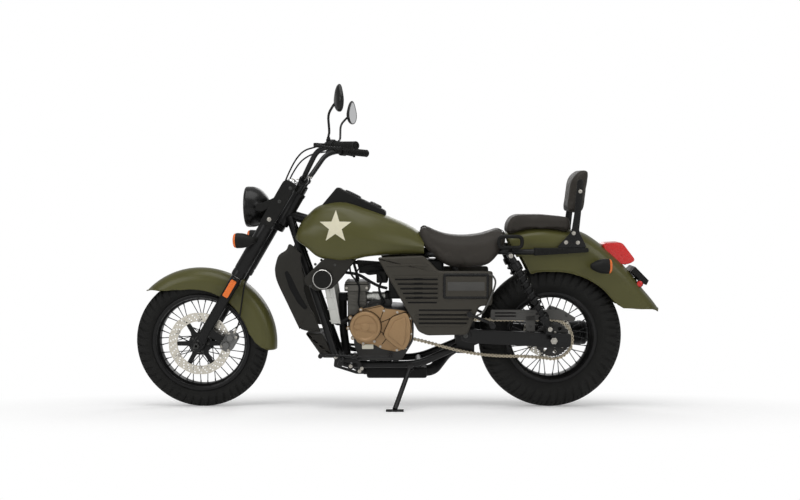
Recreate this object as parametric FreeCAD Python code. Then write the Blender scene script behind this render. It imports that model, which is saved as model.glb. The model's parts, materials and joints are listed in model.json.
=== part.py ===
import FreeCAD, Part
import math
import os

# Cruiser motorcycle, in millimetres. The pieces are drawn upright in the machine's own frame: X runs
# rearwards from the front axle, Y to the rider's right and Z up from the ground. At the end the whole
# machine is leaned to its left onto the side stand and set over the middle of its footprint.

V = FreeCAD.Vector
ACROSS = V(0, 1, 0)
REAR = V(1, 0, 0)

# Driving dimensions
WHEELBASE = 1545.0
FRONT_TYRE_R = 292.0
REAR_TYRE_R = 317.0
FRONT_TYRE_W = 106.0
REAR_TYRE_W = 140.0
FRONT_RIM_R = 203.2
REAR_RIM_R = 190.5
RAKE_DEG = 31.0
LEAN_DEG = 8.0
RUN_GAP = 0.3
REST_GAP = 0.3
OVERRUN = 5.0

FRONT_AXLE = V(0, 0, FRONT_TYRE_R)
REAR_AXLE = V(WHEELBASE, 0, REAR_TYRE_R)
CORNER_SHARE = 0.45
SAME = 1e-6
MANY_FLATS = 14
FEW_FLATS = 8
THIN_R = 13.0


# Small tools for shapes

def prism(points, y0, y1):
    """A side-view polygon of (x, z) points, carried across from y0 to y1."""
    loop = [V(x, y0, z) for x, z in points]
    return Part.Face(Part.makePolygon(loop + loop[:1])).extrude(V(0, y1 - y0, 0))


def corner(before, point, after, radius):
    """Start, middle and end of the arc that rounds a corner, kept within its two sides."""
    to_a = before - point
    to_b = after - point
    half = to_a.getAngle(to_b) / 2
    reach = min(radius / math.tan(half), CORNER_SHARE * min(to_a.Length, to_b.Length))
    to_a.normalize()
    to_b.normalize()
    middle = to_a + to_b
    middle.normalize()
    bow = reach / math.cos(half) - reach * math.tan(half)
    return point + to_a * reach, point + middle * bow, point + to_b * reach


def rounded_points(points, radius):
    """The corners of a closed outline, each cut back to the start, middle and end of its rounding arc."""
    count = len(points)
    cuts = [corner(points[i - 1], points[i], points[(i + 1) % count], radius) for i in range(count)]
    return [p for cut in cuts for p in cut]


def rounded_prism(points, y0, y1, radius):
    """A side-view polygon with eased corners, carried across from y0 to y1."""
    loop = rounded_points([V(x, y0, z) for x, z in points], radius)
    return Part.Face(Part.makePolygon(loop + loop[:1])).extrude(V(0, y1 - y0, 0))


def ease(solid, y, size):
    """Chamfers the rim of the flat face that lies at y."""
    return solid.makeChamfer(size, [e for e in solid.Edges if all(abs(v.Y - y) < SAME for v in e.Vertexes)])


def soft_prism(points, y0, y1, radius, edge):
    """A rounded prism whose face at y1 has its rim chamfered by edge."""
    return ease(rounded_prism(points, y0, y1, radius), y1, edge)


def from_shares(shares, x0, z0, length, height):
    """Turns (share of length, share of height) pairs into (x, z) points."""
    return [(x0 + a * length, z0 + b * height) for a, b in shares]


def box(x0, x1, y0, y1, z0, z1):
    return Part.makeBox(x1 - x0, y1 - y0, z1 - z0, V(x0, y0, z0))


def pin(start, end, radius):
    """A true round bar from one point to another, for fits and bores."""
    return Part.makeCylinder(radius, (end - start).Length, start, end - start)


def flats(radius):
    """How many flats a bar of that radius is drawn with."""
    return FEW_FLATS if radius < THIN_R else MANY_FLATS


def flat_ring(centre, along, radius, sides):
    """A closed polygon round a line through centre."""
    turn = FreeCAD.Rotation(V(0, 0, 1), along)
    loop = []
    for i in range(sides):
        a = 2 * math.pi * (i + 0.5) / sides
        loop.append(centre + turn.multVec(V(radius * math.cos(a), radius * math.sin(a), 0)))
    return Part.makePolygon(loop + loop[:1])


def rod(start, end, radius):
    """A bar from one point to another, drawn with flats."""
    return Part.Face(flat_ring(start, end - start, radius, flats(radius))).extrude(end - start)


def bent_tube(points, radius, bend):
    """A bar along straight runs joined by tangent arcs, drawn with flats."""
    edges = []
    here = points[0]
    for i in range(1, len(points) - 1):
        start, middle, end = corner(points[i - 1], points[i], points[i + 1], bend)
        edges.append(Part.LineSegment(here, start).toShape())
        edges.append(Part.Arc(start, middle, end).toShape())
        here = end
    edges.append(Part.LineSegment(here, points[-1]).toShape())
    profile = flat_ring(points[0], points[1] - points[0], radius, flats(radius))
    return Part.Wire(edges).makePipeShell([profile], True, False)


def closed_line(points):
    return Part.makePolygon(points + points[:1])


def turned(profile, centre):
    """Turns a closed (radius, y) profile about the axle line through centre."""
    loop = [V(centre.x + r, y, centre.z) for r, y in profile]
    face = Part.Face(Part.makePolygon(loop + loop[:1]))
    return face.revolve(centre, ACROSS, 360)


def shell_of_turns(shares, x0, y0, z0, length, radius):
    """A bowl: (share of length, share of radius) pairs turned about the level line at y0, z0."""
    points = [V(x0 + a * length, y0, z0 + b * radius) for a, b in shares]
    feet = [V(points[-1].x, y0, z0), V(points[0].x, y0, z0)]
    return Part.Face(closed_line(points + feet)).revolve(feet[0], REAR, 360)


def fuse(shapes):
    """One solid from several, with no seams left inside."""
    return shapes[0].multiFuse(shapes[1:]).removeSplitter()


def mirrored(shape):
    """The same piece on the other side of the machine."""
    return shape.mirror(V(0, 0, 0), ACROSS)


def flip(p):
    return V(p.x, -p.y, p.z)


def both(shape):
    """A piece and its mirror image on the other side."""
    return [shape, mirrored(shape)]


def section(shares, x, half_width, z0, height):
    """A symmetric closed curve across the machine at x: shares of the half width and the height, from
    the bottom centre up the right side to the top centre."""
    right = [V(x, a * half_width, z0 + b * height) for a, b in shares]
    left = [flip(p) for p in reversed(right) if p.y > 0]
    return closed_line(right + left)


# Wheels: tyre, rim with spokes and hub, disc

TYRE_SHARES = [(0.14, 0.68), (0.48, 1.0), (0.80, 0.86), (0.96, 0.44)]
RIM_SEAT_SHARE = 0.68
RIM_WELL_SHARE = 0.5
RIM_FLANGE = 12.0
RIM_LIP = 4.0
RIM_DROP = 16.0
HUB_R = 30.0
HUB_FLANGE_R = 46.0
HUB_FLANGE_T = 6.0
HUB_FLANGE_Y = 34.0
FRONT_HUB_HALF = 62.0
REAR_HUB_LEFT = 94.0
REAR_HUB_RIGHT = 82.0
AXLE_R = 9.0
AXLE_BORE_R = 6.0
AXLE_COLLAR_R = 15.0
AXLE_END = 14.0
SPOKES_PER_SIDE = 18
SPOKE_R = 2.2
SPOKE_FLATS = 4
SPOKE_SWEEP_DEG = 32.0
SPOKE_RIM_Y = 6.0


def tyre(centre, radius, width, rim_r):
    """A tyre whose beads sit between the rim's flanges."""
    wall = radius - rim_r
    seat = RIM_SEAT_SHARE * width / 2
    right = [(rim_r, seat)] + [(rim_r + a * wall, b * width / 2) for a, b in TYRE_SHARES]
    left = [(r, -y) for r, y in reversed(right)]
    return turned(right + [(radius, 0.0)] + left, centre)


def rim_ring(centre, width, rim_r):
    """The rim with a dropped middle and two flanges."""
    seat = RIM_SEAT_SHARE * width / 2
    lip = seat + RIM_LIP
    right = [(rim_r, seat), (rim_r + RIM_FLANGE, seat), (rim_r + RIM_FLANGE, lip), (rim_r - RIM_LIP, lip),
             (rim_r - RIM_DROP, RIM_WELL_SHARE * seat)]
    left = [(r, -y) for r, y in reversed(right)]
    return turned(right + left, centre)


def around(centre, radius, y, turn):
    """A point at that radius and angle round a wheel."""
    a = math.radians(turn)
    return V(centre.x + radius * math.cos(a), y, centre.z + radius * math.sin(a))


def spokes(centre, rim_r, ends):
    """Laced spokes from both hub flanges to the rim, trimmed where they meet the pieces in ends."""
    pieces = []
    step = 360.0 / SPOKES_PER_SIDE
    for side in (-1, 1):
        for i in range(SPOKES_PER_SIDE):
            turn = (i + side / 4) * step
            sweep = SPOKE_SWEEP_DEG if i % 2 else -SPOKE_SWEEP_DEG
            foot = around(centre, HUB_FLANGE_R - SPOKE_R, side * HUB_FLANGE_Y, turn)
            tip = around(centre, rim_r - RIM_DROP + SPOKE_R, side * SPOKE_RIM_Y, turn + sweep)
            pieces.append(Part.Face(flat_ring(foot, tip - foot, SPOKE_R, SPOKE_FLATS)).extrude(tip - foot))
    return Part.makeCompound(pieces).cut(ends).Solids


def hub(centre, left, right):
    """The hub barrel from y = -left to y = right, with its spoke flanges."""
    pieces = [rod(centre - ACROSS * left, centre + ACROSS * right, HUB_R)]
    for side in (-1, 1):
        middle = centre + ACROSS * side * HUB_FLANGE_Y
        half = ACROSS * (HUB_FLANGE_T / 2)
        pieces.append(rod(middle - half, middle + half, HUB_FLANGE_R))
    return pieces


def spoked_rim(centre, width, rim_r, left, right, carrier):
    """Rim, spokes, and the hub with its disc carrier, bored for the axle."""
    far = ACROSS * (2 * left)
    barrel = fuse(hub(centre, left, right) + carrier).cut(pin(centre - far, centre + far, AXLE_R + RUN_GAP))
    ring = rim_ring(centre, width, rim_r)
    return [ring, barrel] + spokes(centre, rim_r, [ring, barrel])


DISC_T = 5.0
FRONT_DISC_R = 138.0
FRONT_DISC_INNER_R = 100.0
FRONT_DISC_Y = -64.0
REAR_DISC_R = 110.0
REAR_DISC_INNER_R = 76.0
REAR_DISC_Y = 76.0
CARRIER_ARMS = 6
CARRIER_ARM_W = 26.0
CARRIER_T = 7.0
CARRIER_LAP = 8.0
DISC_CLEARANCE = 6.0


def disc(centre, y, outer, inner):
    """A flat brake ring."""
    start = V(centre.x, y - DISC_T / 2, centre.z)
    hole = Part.makeCylinder(inner, DISC_T, start, ACROSS)
    return Part.makeCylinder(outer, DISC_T, start, ACROSS).cut(hole)


def disc_carrier(centre, y, inner):
    """Arms from the hub's end out to the brake ring, on the hub's side of it."""
    side = 1 if y > 0 else -1
    near = y - side * DISC_T / 2
    far = near - side * CARRIER_T
    y0, y1 = min(near, far), max(near, far)
    pieces = [rod(V(centre.x, y0, centre.z), V(centre.x, y1, centre.z), HUB_FLANGE_R)]
    for i in range(CARRIER_ARMS):
        arm = box(0, inner + CARRIER_LAP, y0, y1, -CARRIER_ARM_W / 2, CARRIER_ARM_W / 2)
        arm.rotate(V(0, 0, 0), ACROSS, i * 360.0 / CARRIER_ARMS)
        arm.translate(V(centre.x, 0, centre.z))
        pieces.append(arm)
    return pieces


def carrier_room(centre, y, inner, depth):
    """The space beside a disc, on the hub's side, that the carrier's arms turn in."""
    side = 1 if y > 0 else -1
    return Part.makeCylinder(inner + CARRIER_LAP + DISC_CLEARANCE, 2 * depth, V(centre.x, y, centre.z),
                             ACROSS * -side)


def axle(centre, hub_left, hub_right, seat_left, seat_right, left, right):
    """An axle with a collar each side between the hub and what carries it."""
    pieces = [pin(centre - ACROSS * left, centre + ACROSS * right, AXLE_R),
              rod(centre - ACROSS * seat_left, centre - ACROSS * (hub_left + RUN_GAP), AXLE_COLLAR_R),
              rod(centre + ACROSS * (hub_right + RUN_GAP), centre + ACROSS * seat_right, AXLE_COLLAR_R)]
    return fuse(pieces)


# Steering: s runs up the fork legs from the axle and w runs square to them, towards the rear

RAKE = math.radians(RAKE_DEG)
UP = V(math.sin(RAKE), 0, math.cos(RAKE))
AFT = V(math.cos(RAKE), 0, -math.sin(RAKE))
LEG_Y = 98.0
STEM_W = 42.0
LOWER_YOKE_S = 604.0
UPPER_YOKE_S = 792.0
YOKE_T = 26.0
YOKE_EAR = 29.0
SLIDER_R = 25.0
SLIDER_TOP_S = 346.0
SLIDER_FOOT_S = -30.0
AXLE_LUG_R = 24.0
FORK_TUBE_R = 20.0
FORK_TOP_S = 830.0
STEM_R = 14.0


def at_fork(s, w, y=0.0):
    """A point s up the legs, w behind them and y across."""
    return FRONT_AXLE + UP * s + AFT * w + ACROSS * y


def fork_prism(pairs, s0, s1):
    """A (w, y) polygon carried up the fork from s0 to s1."""
    loop = [at_fork(s0, w, y) for w, y in pairs]
    return Part.Face(Part.makePolygon(loop + loop[:1])).extrude(UP * (s1 - s0))


def fork_box(w0, w1, y0, y1, s0, s1):
    return fork_prism([(w0, y0), (w1, y0), (w1, y1), (w0, y1)], s0, s1)


def leg_rod(y, s0, s1, radius):
    """A round bar on a fork leg's line."""
    return rod(at_fork(s0, 0, y), at_fork(s1, 0, y), radius)


def front_axle():
    """The front axle, bored right through."""
    seat = LEG_Y - SLIDER_R
    end = LEG_Y + SLIDER_R + AXLE_END
    far = ACROSS * (2 * end)
    whole = axle(FRONT_AXLE, FRONT_HUB_HALF, FRONT_HUB_HALF, seat, seat, end, end)
    return whole.cut(pin(FRONT_AXLE - far, FRONT_AXLE + far, AXLE_BORE_R))


CALIPER_S0 = 30.0
CALIPER_LENGTH = 92.0
CALIPER_W0 = 78.0
CALIPER_DEPTH = 58.0
CALIPER_HALF_T = 25.0
CALIPER_ARM_S = 60.0
CALIPER_ARM_L = 30.0


def slider(y):
    """One fork leg's lower half, with the axle lug at its foot."""
    leg = leg_rod(y, SLIDER_FOOT_S, SLIDER_TOP_S, SLIDER_R)
    half = ACROSS * SLIDER_R
    lug = rod(FRONT_AXLE + ACROSS * y - half, FRONT_AXLE + ACROSS * y + half, AXLE_LUG_R)
    far = ACROSS * (2 * LEG_Y)
    return fuse([leg, lug]).cut(pin(FRONT_AXLE - far, FRONT_AXLE + far, AXLE_R))


def fork_sliders():
    """Both sliders. The left one has the arm that holds the caliper."""
    arm_y0 = -LEG_Y - SLIDER_R / 2
    arm_y1 = FRONT_DISC_Y - DISC_T / 2 - DISC_CLEARANCE
    arm = fork_box(0, CALIPER_W0, arm_y0, arm_y1, CALIPER_ARM_S, CALIPER_ARM_S + CALIPER_ARM_L)
    return [fuse([slider(-LEG_Y), arm]), slider(LEG_Y)]


def front_caliper():
    """The caliper behind the left leg, with a slot for the disc."""
    y0, y1 = FRONT_DISC_Y - CALIPER_HALF_T, FRONT_DISC_Y + CALIPER_HALF_T
    body = fork_box(CALIPER_W0, CALIPER_W0 + CALIPER_DEPTH, y0, y1, CALIPER_S0, CALIPER_S0 + CALIPER_LENGTH)
    thick = DISC_T + 2 * DISC_CLEARANCE
    slot = Part.makeCylinder(FRONT_DISC_R + DISC_CLEARANCE, thick,
                             V(0, FRONT_DISC_Y - thick / 2, FRONT_AXLE.z), ACROSS)
    return body.cut([slot, carrier_room(FRONT_AXLE, FRONT_DISC_Y, FRONT_DISC_INNER_R, CALIPER_HALF_T)])


def fork_tubes():
    return [leg_rod(y, SLIDER_TOP_S, FORK_TOP_S, FORK_TUBE_R) for y in (-LEG_Y, LEG_Y)]


YOKE_NOSE_W = -18.0
YOKE_NOSE_Y = 62.0
YOKE_TAIL_W = 62.0
YOKE_TAIL_Y = 26.0
BAR_R = 11.0
RISER_R = 17.0
RISER_Y = 42.0
BAR_CLAMP_S = 850.0
BAR_W = 34.0
BAR_BEND = 60.0


def yoke(s0):
    """One clamp plate across both legs and the stem."""
    ear = LEG_Y + YOKE_EAR
    left = [(YOKE_NOSE_W, -YOKE_NOSE_Y), (-SLIDER_R, -LEG_Y), (-SLIDER_R, -ear), (SLIDER_R, -ear),
            (SLIDER_R, -LEG_Y + YOKE_EAR), (YOKE_TAIL_W, -YOKE_TAIL_Y)]
    right = [(w, -y) for w, y in reversed(left)]
    plate = fork_prism(left + right, s0, s0 + YOKE_T)
    for y in (-LEG_Y, LEG_Y):
        plate = plate.cut(pin(at_fork(s0 - YOKE_T, 0, y), at_fork(s0 + 2 * YOKE_T, 0, y), FORK_TUBE_R))
    return plate


def yokes():
    """Both yokes, the stem through the head tube and the two bar risers."""
    pieces = [yoke(LOWER_YOKE_S), yoke(UPPER_YOKE_S)]
    pieces.append(pin(at_fork(LOWER_YOKE_S, STEM_W), at_fork(UPPER_YOKE_S + YOKE_T, STEM_W), STEM_R))
    for y in (-RISER_Y, RISER_Y):
        pieces.append(rod(at_fork(UPPER_YOKE_S, BAR_W, y), at_fork(BAR_CLAMP_S + RISER_R, BAR_W, y), RISER_R))
    clamp = pin(at_fork(BAR_CLAMP_S, BAR_W, -LEG_Y), at_fork(BAR_CLAMP_S, BAR_W, LEG_Y), BAR_R)
    return fuse(pieces).cut(clamp)


SHROUD_R = 30.0
SHROUD_S0 = 348.0
PLATE_T = 9.0
PLATE_W0 = -30.0
PLATE_W1 = 28.0
PLATE_S0 = 604.0
PLATE_S1 = 822.0
PLATE_ROUND = 5.0
LAMP_X = 208.0
LAMP_Z = 888.0
LAMP_R = 88.0
LAMP_DEPTH = 108.0
LAMP_SHARES = [(0.0, 0.94), (0.08, 1.0), (0.35, 0.97), (0.65, 0.80), (0.88, 0.50), (1.0, 0.22)]
LENS_T = 8.0
LENS_SHARE = 0.9
LAMP_ARM_R = 10.0
LAMP_ARM_X = 288.0
LAMP_EAR_HALF = 18.0


def fork_shrouds():
    """The round covers over the upper tubes, from the sliders to the lower yoke."""
    def one(y):
        cover = leg_rod(y, SHROUD_S0, LOWER_YOKE_S, SHROUD_R)
        return cover.cut(pin(at_fork(SHROUD_S0 - OVERRUN, 0, y), at_fork(LOWER_YOKE_S + OVERRUN, 0, y), FORK_TUBE_R))
    return [one(-LEG_Y), one(LEG_Y)]


def fork_plates():
    """The flat covers outside the yokes, each with an ear that holds the headlight."""
    y0 = LEG_Y + YOKE_EAR
    y1 = y0 + PLATE_T
    slab = fork_box(PLATE_W0, PLATE_W1, y0, y1, PLATE_S0, PLATE_S1)
    slab = ease(slab, y1, PLATE_ROUND)
    leg_s = (LAMP_Z - FRONT_AXLE.z) / UP.z
    ear_x1 = at_fork(leg_s, 0).x
    ear = box(LAMP_ARM_X - LAMP_EAR_HALF, ear_x1, y0, y0 + PLATE_T / 2, LAMP_Z - LAMP_EAR_HALF,
              LAMP_Z + LAMP_EAR_HALF)
    return both(fuse([slab, ear]))


def headlight():
    """The bowl, hollowed for its lens, with an arm each side to the fork plates."""
    bowl = shell_of_turns(LAMP_SHARES, LAMP_X, 0, LAMP_Z, LAMP_DEPTH, LAMP_R)
    reach = LEG_Y + YOKE_EAR
    arms = rod(V(LAMP_ARM_X, -reach, LAMP_Z), V(LAMP_ARM_X, reach, LAMP_Z), LAMP_ARM_R)
    return fuse([bowl, arms]).cut(headlight_lens())


def headlight_lens():
    return pin(V(LAMP_X, 0, LAMP_Z), V(LAMP_X + LENS_T, 0, LAMP_Z), LAMP_R * LENS_SHARE)


# Indicators: bullet shells with an amber lens at the open end

BULLET_R = 32.0
BULLET_LENGTH = 78.0
BULLET_SHARES = [(0.0, 1.0), (0.45, 0.96), (0.80, 0.62), (1.0, 0.30)]
BULLET_LENS_T = 14.0
BULLET_LENS_SHARE = 0.95
BULLET_STEM_R = 9.0
FRONT_BULLET_X = 192.0
FRONT_BULLET_Z = 749.0
FRONT_BULLET_Y = 168.0
REAR_BULLET_X = 1770.0
REAR_BULLET_Z = 640.0
REAR_BULLET_Y = 158.0
REFLECTOR_S = 248.0
REFLECTOR_L = 84.0
REFLECTOR_W = 26.0
REFLECTOR_T = 8.0


def bullet_lens(x, y, z, ahead):
    """A shallow amber drum on the open end. ahead is -1 towards the front and 1 towards the rear."""
    return rod(V(x, y, z), V(x + ahead * BULLET_LENS_T, y, z), BULLET_R * BULLET_LENS_SHARE)


def front_indicators():
    """Each shell, with a stem to the fork shroud."""
    y = FRONT_BULLET_Y
    shell = shell_of_turns(BULLET_SHARES, FRONT_BULLET_X, y, FRONT_BULLET_Z, BULLET_LENGTH, BULLET_R)
    stem_x = at_fork((FRONT_BULLET_Z - FRONT_AXLE.z) / UP.z, 0).x
    stem = rod(V(stem_x, y, FRONT_BULLET_Z), V(stem_x, LEG_Y + FORK_TUBE_R, FRONT_BULLET_Z), BULLET_STEM_R)
    neck = rod(V(FRONT_BULLET_X + BULLET_LENGTH / 2, y, FRONT_BULLET_Z), V(stem_x, y, FRONT_BULLET_Z),
               BULLET_STEM_R)
    return both(fuse([shell, stem, neck]).cut(leg_rod(LEG_Y, SHROUD_S0, LOWER_YOKE_S, SHROUD_R)))


def amber_lenses():
    """The front indicators' lenses and the strip reflectors on the sliders."""
    lens = bullet_lens(FRONT_BULLET_X, FRONT_BULLET_Y, FRONT_BULLET_Z, -1)
    y0 = LEG_Y + SLIDER_R + REST_GAP
    strip = fork_box(-REFLECTOR_W / 2, REFLECTOR_W / 2, y0, y0 + REFLECTOR_T, REFLECTOR_S,
                     REFLECTOR_S + REFLECTOR_L)
    return both(lens) + both(strip)


# Front mudguard: a deep U section round the tyre, trimmed to its side outline

GUARD_R = 330.0
GUARD_HALF = 67.0
GUARD_T = 3.0
GUARD_SKIRT_R = 205.0
GUARD_SHARES = [(1.0, 0.0), (0.985, 0.45), (0.94, 0.80), (0.86, 0.985), (0.78, 1.0)]
GUARD_EDGE_SHARES = [(-40.5, 0.96), (-30.0, 0.824), (-17.0, 0.755), (0.0, 0.724), (12.0, 0.712), (22.0, 0.697),
                     (47.0, 0.676), (61.0, 0.664), (78.0, 0.675), (88.0, 0.735), (94.0, 0.82), (95.5, 0.90)]
GUARD_FRONT_DEG = -44.0
GUARD_REAR_DEG = 95.5
GUARD_OUT_SHARE = 1.3
STAY_S0 = 255.0
STAY_S1 = 325.0
STAY_W = 28.0


def guard_point(degrees, share):
    """A point in side view at that angle rearwards from straight up, at a share of the guard's radius."""
    a = math.radians(degrees)
    return GUARD_R * share * math.sin(a), FRONT_AXLE.z + GUARD_R * share * math.cos(a)


def front_guard():
    """The painted shell and a pad each side to the sliders."""
    outer = [(GUARD_R * a, GUARD_HALF * b) for a, b in GUARD_SHARES] + [(GUARD_SKIRT_R, GUARD_HALF)]
    inner = [(r - GUARD_T, max(y - GUARD_T, 0.0)) for r, y in outer[:-1]]
    inner += [(GUARD_SKIRT_R, GUARD_HALF - GUARD_T)]
    right = outer + inner[::-1]
    left = [(r, -y) for r, y in right]
    shells = [turned(half, FRONT_AXLE) for half in (right, left)]
    edge = [guard_point(a, b) for a, b in GUARD_EDGE_SHARES]
    turns = range(int(GUARD_REAR_DEG), int(GUARD_FRONT_DEG), -20)
    rest = [guard_point(GUARD_REAR_DEG, GUARD_OUT_SHARE)] + [guard_point(a, GUARD_OUT_SHARE) for a in turns]
    rest.append(guard_point(GUARD_FRONT_DEG, GUARD_OUT_SHARE))
    keep = prism(edge + rest, -2 * GUARD_HALF, 2 * GUARD_HALF)
    pads = []
    for side in (-1, 1):
        pad = fork_box(-SLIDER_R / 2, STAY_W, side * (GUARD_HALF - GUARD_T), side * LEG_Y, STAY_S0, STAY_S1)
        pads.append(pad.cut(pin(at_fork(0, 0, side * LEG_Y), at_fork(SLIDER_TOP_S, 0, side * LEG_Y), SLIDER_R)))
    return fuse([fuse(shells).common(keep)] + pads)


# Handlebar, grips, hand controls and mirrors

BAR_RISE = 118.0
BAR_SPREAD_Y = 95.0
KNEE_X = 540.0
KNEE_Y = 190.0
SHOULDER_X = 600.0
SHOULDER_Y = 238.0
SHOULDER_Z = 1140.0
BAR_END_X = 718.0
BAR_END_Y = 385.0
BAR_END_Z = 1133.0
GRIP_R = 17.0
GRIP_START_SHARE = 0.22
GRIP_END_SHARE = 0.98
BAR_BORE_R = 8.0
BAR_BORE_DEPTH = 40.0
BAR_CLAMP = at_fork(BAR_CLAMP_S, BAR_W)
SHOULDER = V(SHOULDER_X, SHOULDER_Y, SHOULDER_Z)
BAR_END = V(BAR_END_X, BAR_END_Y, BAR_END_Z)


def on_grip(share):
    """A point on the right grip's line, as a share of the way from the shoulder to the end."""
    return SHOULDER + (BAR_END - SHOULDER) * share


def forward_of_grip():
    """The level direction square to the right grip, ahead of it."""
    line = BAR_END - SHOULDER
    ahead = V(-line.y, line.x, 0)
    ahead.normalize()
    return ahead


def bar_tube():
    """The bent bar, whole."""
    knee = V(KNEE_X, KNEE_Y, BAR_CLAMP.z + BAR_RISE)
    right = [BAR_CLAMP + ACROSS * BAR_SPREAD_Y, knee, SHOULDER, BAR_END]
    left = [flip(p) for p in reversed(right)]
    return bent_tube(left + right, BAR_R, BAR_BEND)


def handlebar():
    """The bar, bored at both ends for the bar weights."""
    inward = SHOULDER - BAR_END
    inward.normalize()
    bore = pin(BAR_END - inward * OVERRUN, BAR_END + inward * BAR_BORE_DEPTH, BAR_BORE_R)
    return bar_tube().cut([bore, mirrored(bore)])


def grips():
    """Rubber sleeves on the bar's two straight ends."""
    sleeve = rod(on_grip(GRIP_START_SHARE), on_grip(GRIP_END_SHARE), GRIP_R)
    return both(sleeve.cut(bar_tube()))


POD_R = 22.0
POD_START_SHARE = 0.03
POD_END_SHARE = 0.20
PERCH_R = 16.0
PERCH_START_SHARE = -0.14
PERCH_END_SHARE = 0.01
PERCH_MIDDLE_SHARE = -0.06
PERCH_ARM_R = 9.0
LEVER_R = 5.5
LEVER_FORWARD = 60.0
LEVER_DROP = 12.0
LEVER_MIDDLE_SHARE = 0.3
LEVER_TIP_SHARE = 0.86
CUP_R = 19.0
CUP_H = 34.0


def hand_controls():
    """Switch pods, lever perches with their levers, and the right side's fluid cup."""
    forward = forward_of_grip()
    hole = bar_tube()
    pod = rod(on_grip(POD_START_SHARE), on_grip(POD_END_SHARE), POD_R)
    perch = rod(on_grip(PERCH_START_SHARE), on_grip(PERCH_END_SHARE), PERCH_R)
    root = on_grip(PERCH_MIDDLE_SHARE)
    knuckle = root + forward * LEVER_FORWARD
    arm = rod(root, knuckle, PERCH_ARM_R)
    down = V(0, 0, -LEVER_DROP)
    middle = on_grip(LEVER_MIDDLE_SHARE) + forward * LEVER_FORWARD + down / 2
    tip = on_grip(LEVER_TIP_SHARE) + forward * LEVER_FORWARD + down
    lever = bent_tube([knuckle, middle, tip], LEVER_R, BAR_BEND)
    side = fuse([pod, perch, arm, lever])
    cup = Part.makeCylinder(CUP_R, CUP_H, root + forward * (LEVER_FORWARD / 2), V(0, 0, 1))
    return [mirrored(side.cut(hole)), fuse([side, cup]).cut(hole)]


MIRROR_X = 655.0
MIRROR_Y = 352.0
MIRROR_Z = 1308.0
MIRROR_R = 42.0
MIRROR_TIP = 66.0
MIRROR_T = 24.0
MIRROR_YAW_DEG = 22.0
MIRROR_STEM_R = 5.0
MIRROR_STEM_SHARES = [(0.12, 0.30, 0.30), (0.10, 0.62, 0.72), (0.55, 0.92, 0.93)]
MIRROR_STEM_BEND = 30.0
MIRROR_SKIN_SHARES = [(0.0, 1.0), (0.5, 0.92), (1.0, 0.5)]
GLASS_T = 2.0
GLASS_SHARE = 0.86
MIRROR_POINTS = 12


def teardrop(depth, scale):
    """A teardrop wire, round at the foot and pointed at the tip, depth ahead of the glass."""
    points = []
    for i in range(MIRROR_POINTS):
        a = 2 * math.pi * i / MIRROR_POINTS
        reach = MIRROR_R + (MIRROR_TIP - MIRROR_R) * max(math.cos(a), 0.0) ** 3
        points.append(V(-depth, scale * MIRROR_R * math.sin(a), scale * reach * math.cos(a)))
    return closed_line(points)


def mirror_pieces(side):
    """Shell with its stem, and glass, on that side."""
    wires = [teardrop(a * MIRROR_T, b) for a, b in MIRROR_SKIN_SHARES]
    shell = Part.makeLoft(wires, True, True)
    glass = Part.Face(teardrop(0, GLASS_SHARE)).extrude(V(-GLASS_T, 0, 0))
    centre = V(MIRROR_X, side * MIRROR_Y, MIRROR_Z)
    place = FreeCAD.Placement(centre, FreeCAD.Rotation(V(0, 0, 1), -side * MIRROR_YAW_DEG))
    shell.Placement = place
    glass.Placement = place
    root = on_grip(PERCH_MIDDLE_SHARE)
    span = V(MIRROR_X, MIRROR_Y, MIRROR_Z) - root
    stem_points = [root + V(0, 0, PERCH_R + REST_GAP), root + V(0, 0, PERCH_R + MIRROR_T)]
    for a, b, c in MIRROR_STEM_SHARES:
        stem_points.append(V(root.x + a * span.x, root.y + b * span.y, root.z + c * span.z))
    stem_points.append(V(MIRROR_X - MIRROR_T / 2, MIRROR_Y, MIRROR_Z))
    stem_points = [V(p.x, side * p.y, p.z) for p in stem_points]
    stem = bent_tube(stem_points, MIRROR_STEM_R, MIRROR_STEM_BEND)
    return fuse([shell, stem]).cut(glass), glass


def mirrors():
    return [mirror_pieces(side)[0] for side in (-1, 1)]


def mirror_glasses():
    return [mirror_pieces(side)[1] for side in (-1, 1)]


CABLE_R = 3.5
CABLE_BEND = 60.0
CABLE_ROOT_SHARE = 0.75
CABLE_WIDE_X = 482.0
CABLE_WIDE_Y = 165.0
CABLE_WIDE_Z = 1124.0
CABLE_STEPS = [(905.0, -36.0, 84.0), (815.0, -34.0, 52.0), (665.0, -6.0, 48.0),
               (LOWER_YOKE_S + YOKE_T + REST_GAP, -6.0, 48.0)]
HOSE_STEPS = [(LOWER_YOKE_S - REST_GAP, 26.0, -60.0), (575.0, 26.0, -60.0), (520.0, 38.0, -82.0),
              (346.0, 38.0, -98.0), (165.0, 107.0, -85.0), (CALIPER_S0 + CALIPER_LENGTH + REST_GAP, 107.0, -85.0)]


def control_cables():
    """The clutch cable and its like on the right, from the levers in front of the bar down to the lower
    yoke, and the brake hose from there behind the left leg to the caliper."""
    along = BAR_END - SHOULDER
    along.normalize()
    start = on_grip(PERCH_MIDDLE_SHARE) + forward_of_grip() * (LEVER_FORWARD * CABLE_ROOT_SHARE)
    start -= along * (PERCH_ARM_R + 2 * REST_GAP) + V(0, 0, CABLE_R + REST_GAP)
    runs = [start, V(CABLE_WIDE_X, CABLE_WIDE_Y, CABLE_WIDE_Z)] + [at_fork(s, w, y) for s, w, y in CABLE_STEPS]
    hose = [at_fork(s, w, y) for s, w, y in HOSE_STEPS]
    return both(bent_tube(runs, CABLE_R, CABLE_BEND)) + [bent_tube(hose, CABLE_R, CABLE_BEND)]


# Frame: head tube, backbone, twin downtubes with cradle rails, pivot plates and seat rails

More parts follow.
